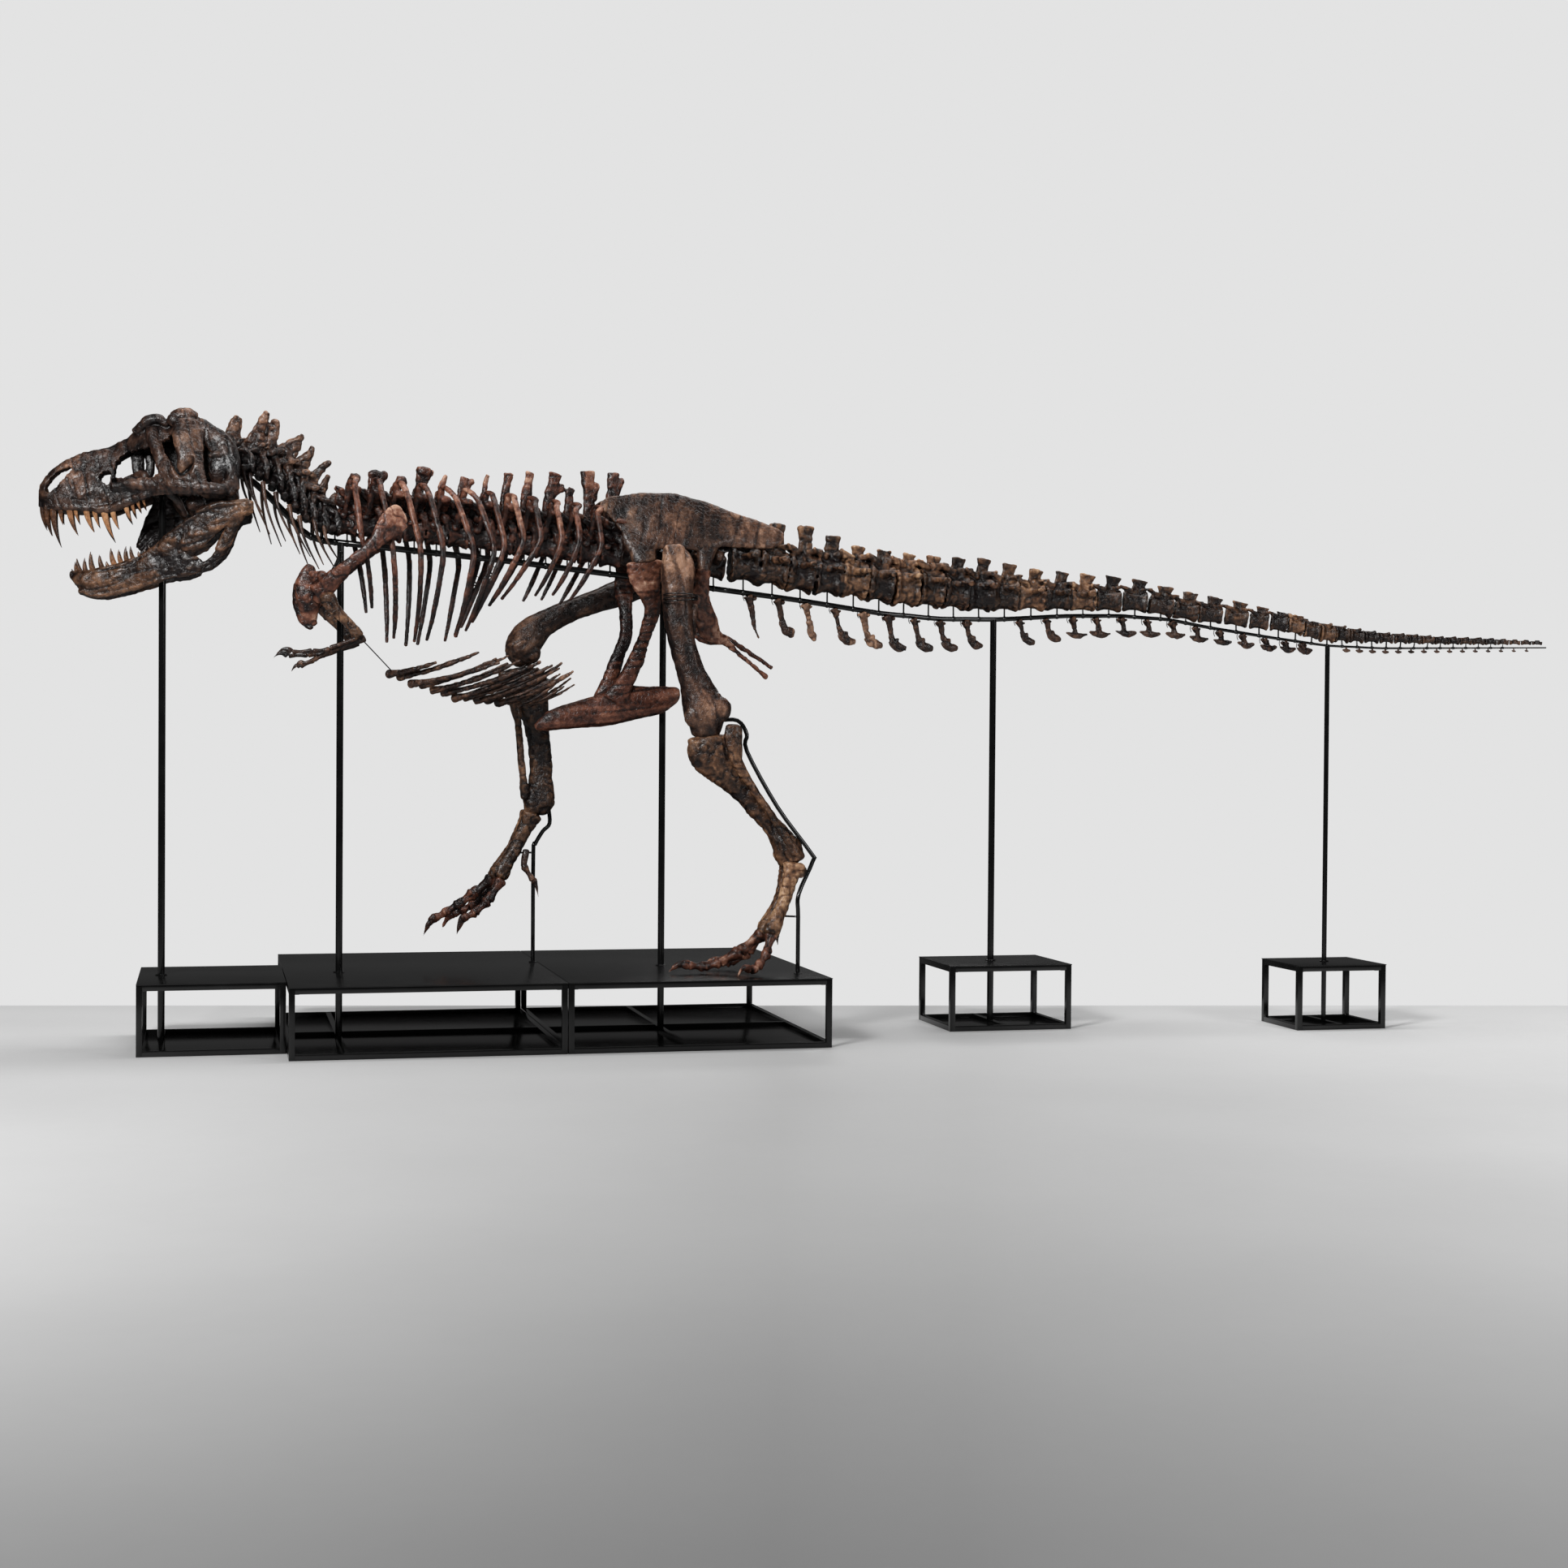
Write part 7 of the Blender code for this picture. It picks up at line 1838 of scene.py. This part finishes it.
FLOOR_WIDE, FLOOR_DEEP = 30, 40
WALL_COLOUR = (0.768, 0.768, 0.768, 1)
WALL_LIGHT = 0.07
LAMPS = (              # name, place, aim, size, power
    ("key", (-7.5, -9.0, 8.0), (-1.0, 0, 2.8), (2.6, 2.6), 1450),
    ("fill", (7.0, -11.0, 6.0), (1.0, 0, 2.4), (3.0, 3.0), 420),
    ("back", (3.0, 9.0, 6.5), (0.0, 0, 2.6), (5.0, 2.0), 110),
    ("top", (0.0, 0.5, 10.0), (0.0, 0, 2.0), (12.0, 2.0), 650),
)


# Painted shade on the floor, by depth and by side: darker at the front and in the middle.
FLOOR_SHADE_DEPTHS = ((5.0, 0.29), (6.2, 0.32), (8.9, 0.42), (11.0, 0.50), (14.0, 0.60), (18.0, 0.84))
FLOOR_SHADE_SIDES = ((-0.34, 0.98), (-0.17, 0.80), (0.0, 0.62), (0.08, 0.69), (0.19, 0.94), (0.34, 1.28))
FLOOR_FROM = np.array([-4.563, -16.658, 0.0]) + SHIFT   # depths and sides are measured from here
FLOOR_TURN = math.radians(13.99)


def floor_paint():
    """Pale poured concrete with soft clouds, and painted shade: darker at the front and along one line to the
    back.
    """
    paint = Paint("floor_paint")
    cloud, speck = paint.noise(0.45, 8.0), paint.noise(9.0, 5.0)

    def along(way):
        dot = paint.add("VectorMath", {0: paint.place, 1: way}, operation="DOT_PRODUCT")
        return paint.maths("SUBTRACT", dot.outputs["Value"], float(FLOOR_FROM @ np.array(way)))

    def shade(value, stops):
        first, last = stops[0][0], stops[-1][0]
        share = paint.maths("DIVIDE", paint.maths("SUBTRACT", value, first), last - first)
        return paint.ramp(share, [((at - first) / (last - first), (level,) * 3) for at, level in stops])

    depth = along((math.sin(FLOOR_TURN), math.cos(FLOOR_TURN), 0.0))
    aside = paint.maths("DIVIDE", along((math.cos(FLOOR_TURN), -math.sin(FLOOR_TURN), 0.0)), depth)
    shaded_tone = paint.maths("MULTIPLY", shade(depth, FLOOR_SHADE_DEPTHS), shade(aside, FLOOR_SHADE_SIDES))
    mottle = paint.maths("ADD", paint.maths("MULTIPLY", cloud, 0.16), paint.maths("MULTIPLY", speck, 0.03))
    shaded_tone = paint.maths("MULTIPLY", shaded_tone, paint.maths("ADD", mottle, 0.905))
    paint.feed(paint.shader.inputs, {"Base Color": shaded_tone, "Roughness": 0.5})
    return paint.made


camera()
floor()
studio()
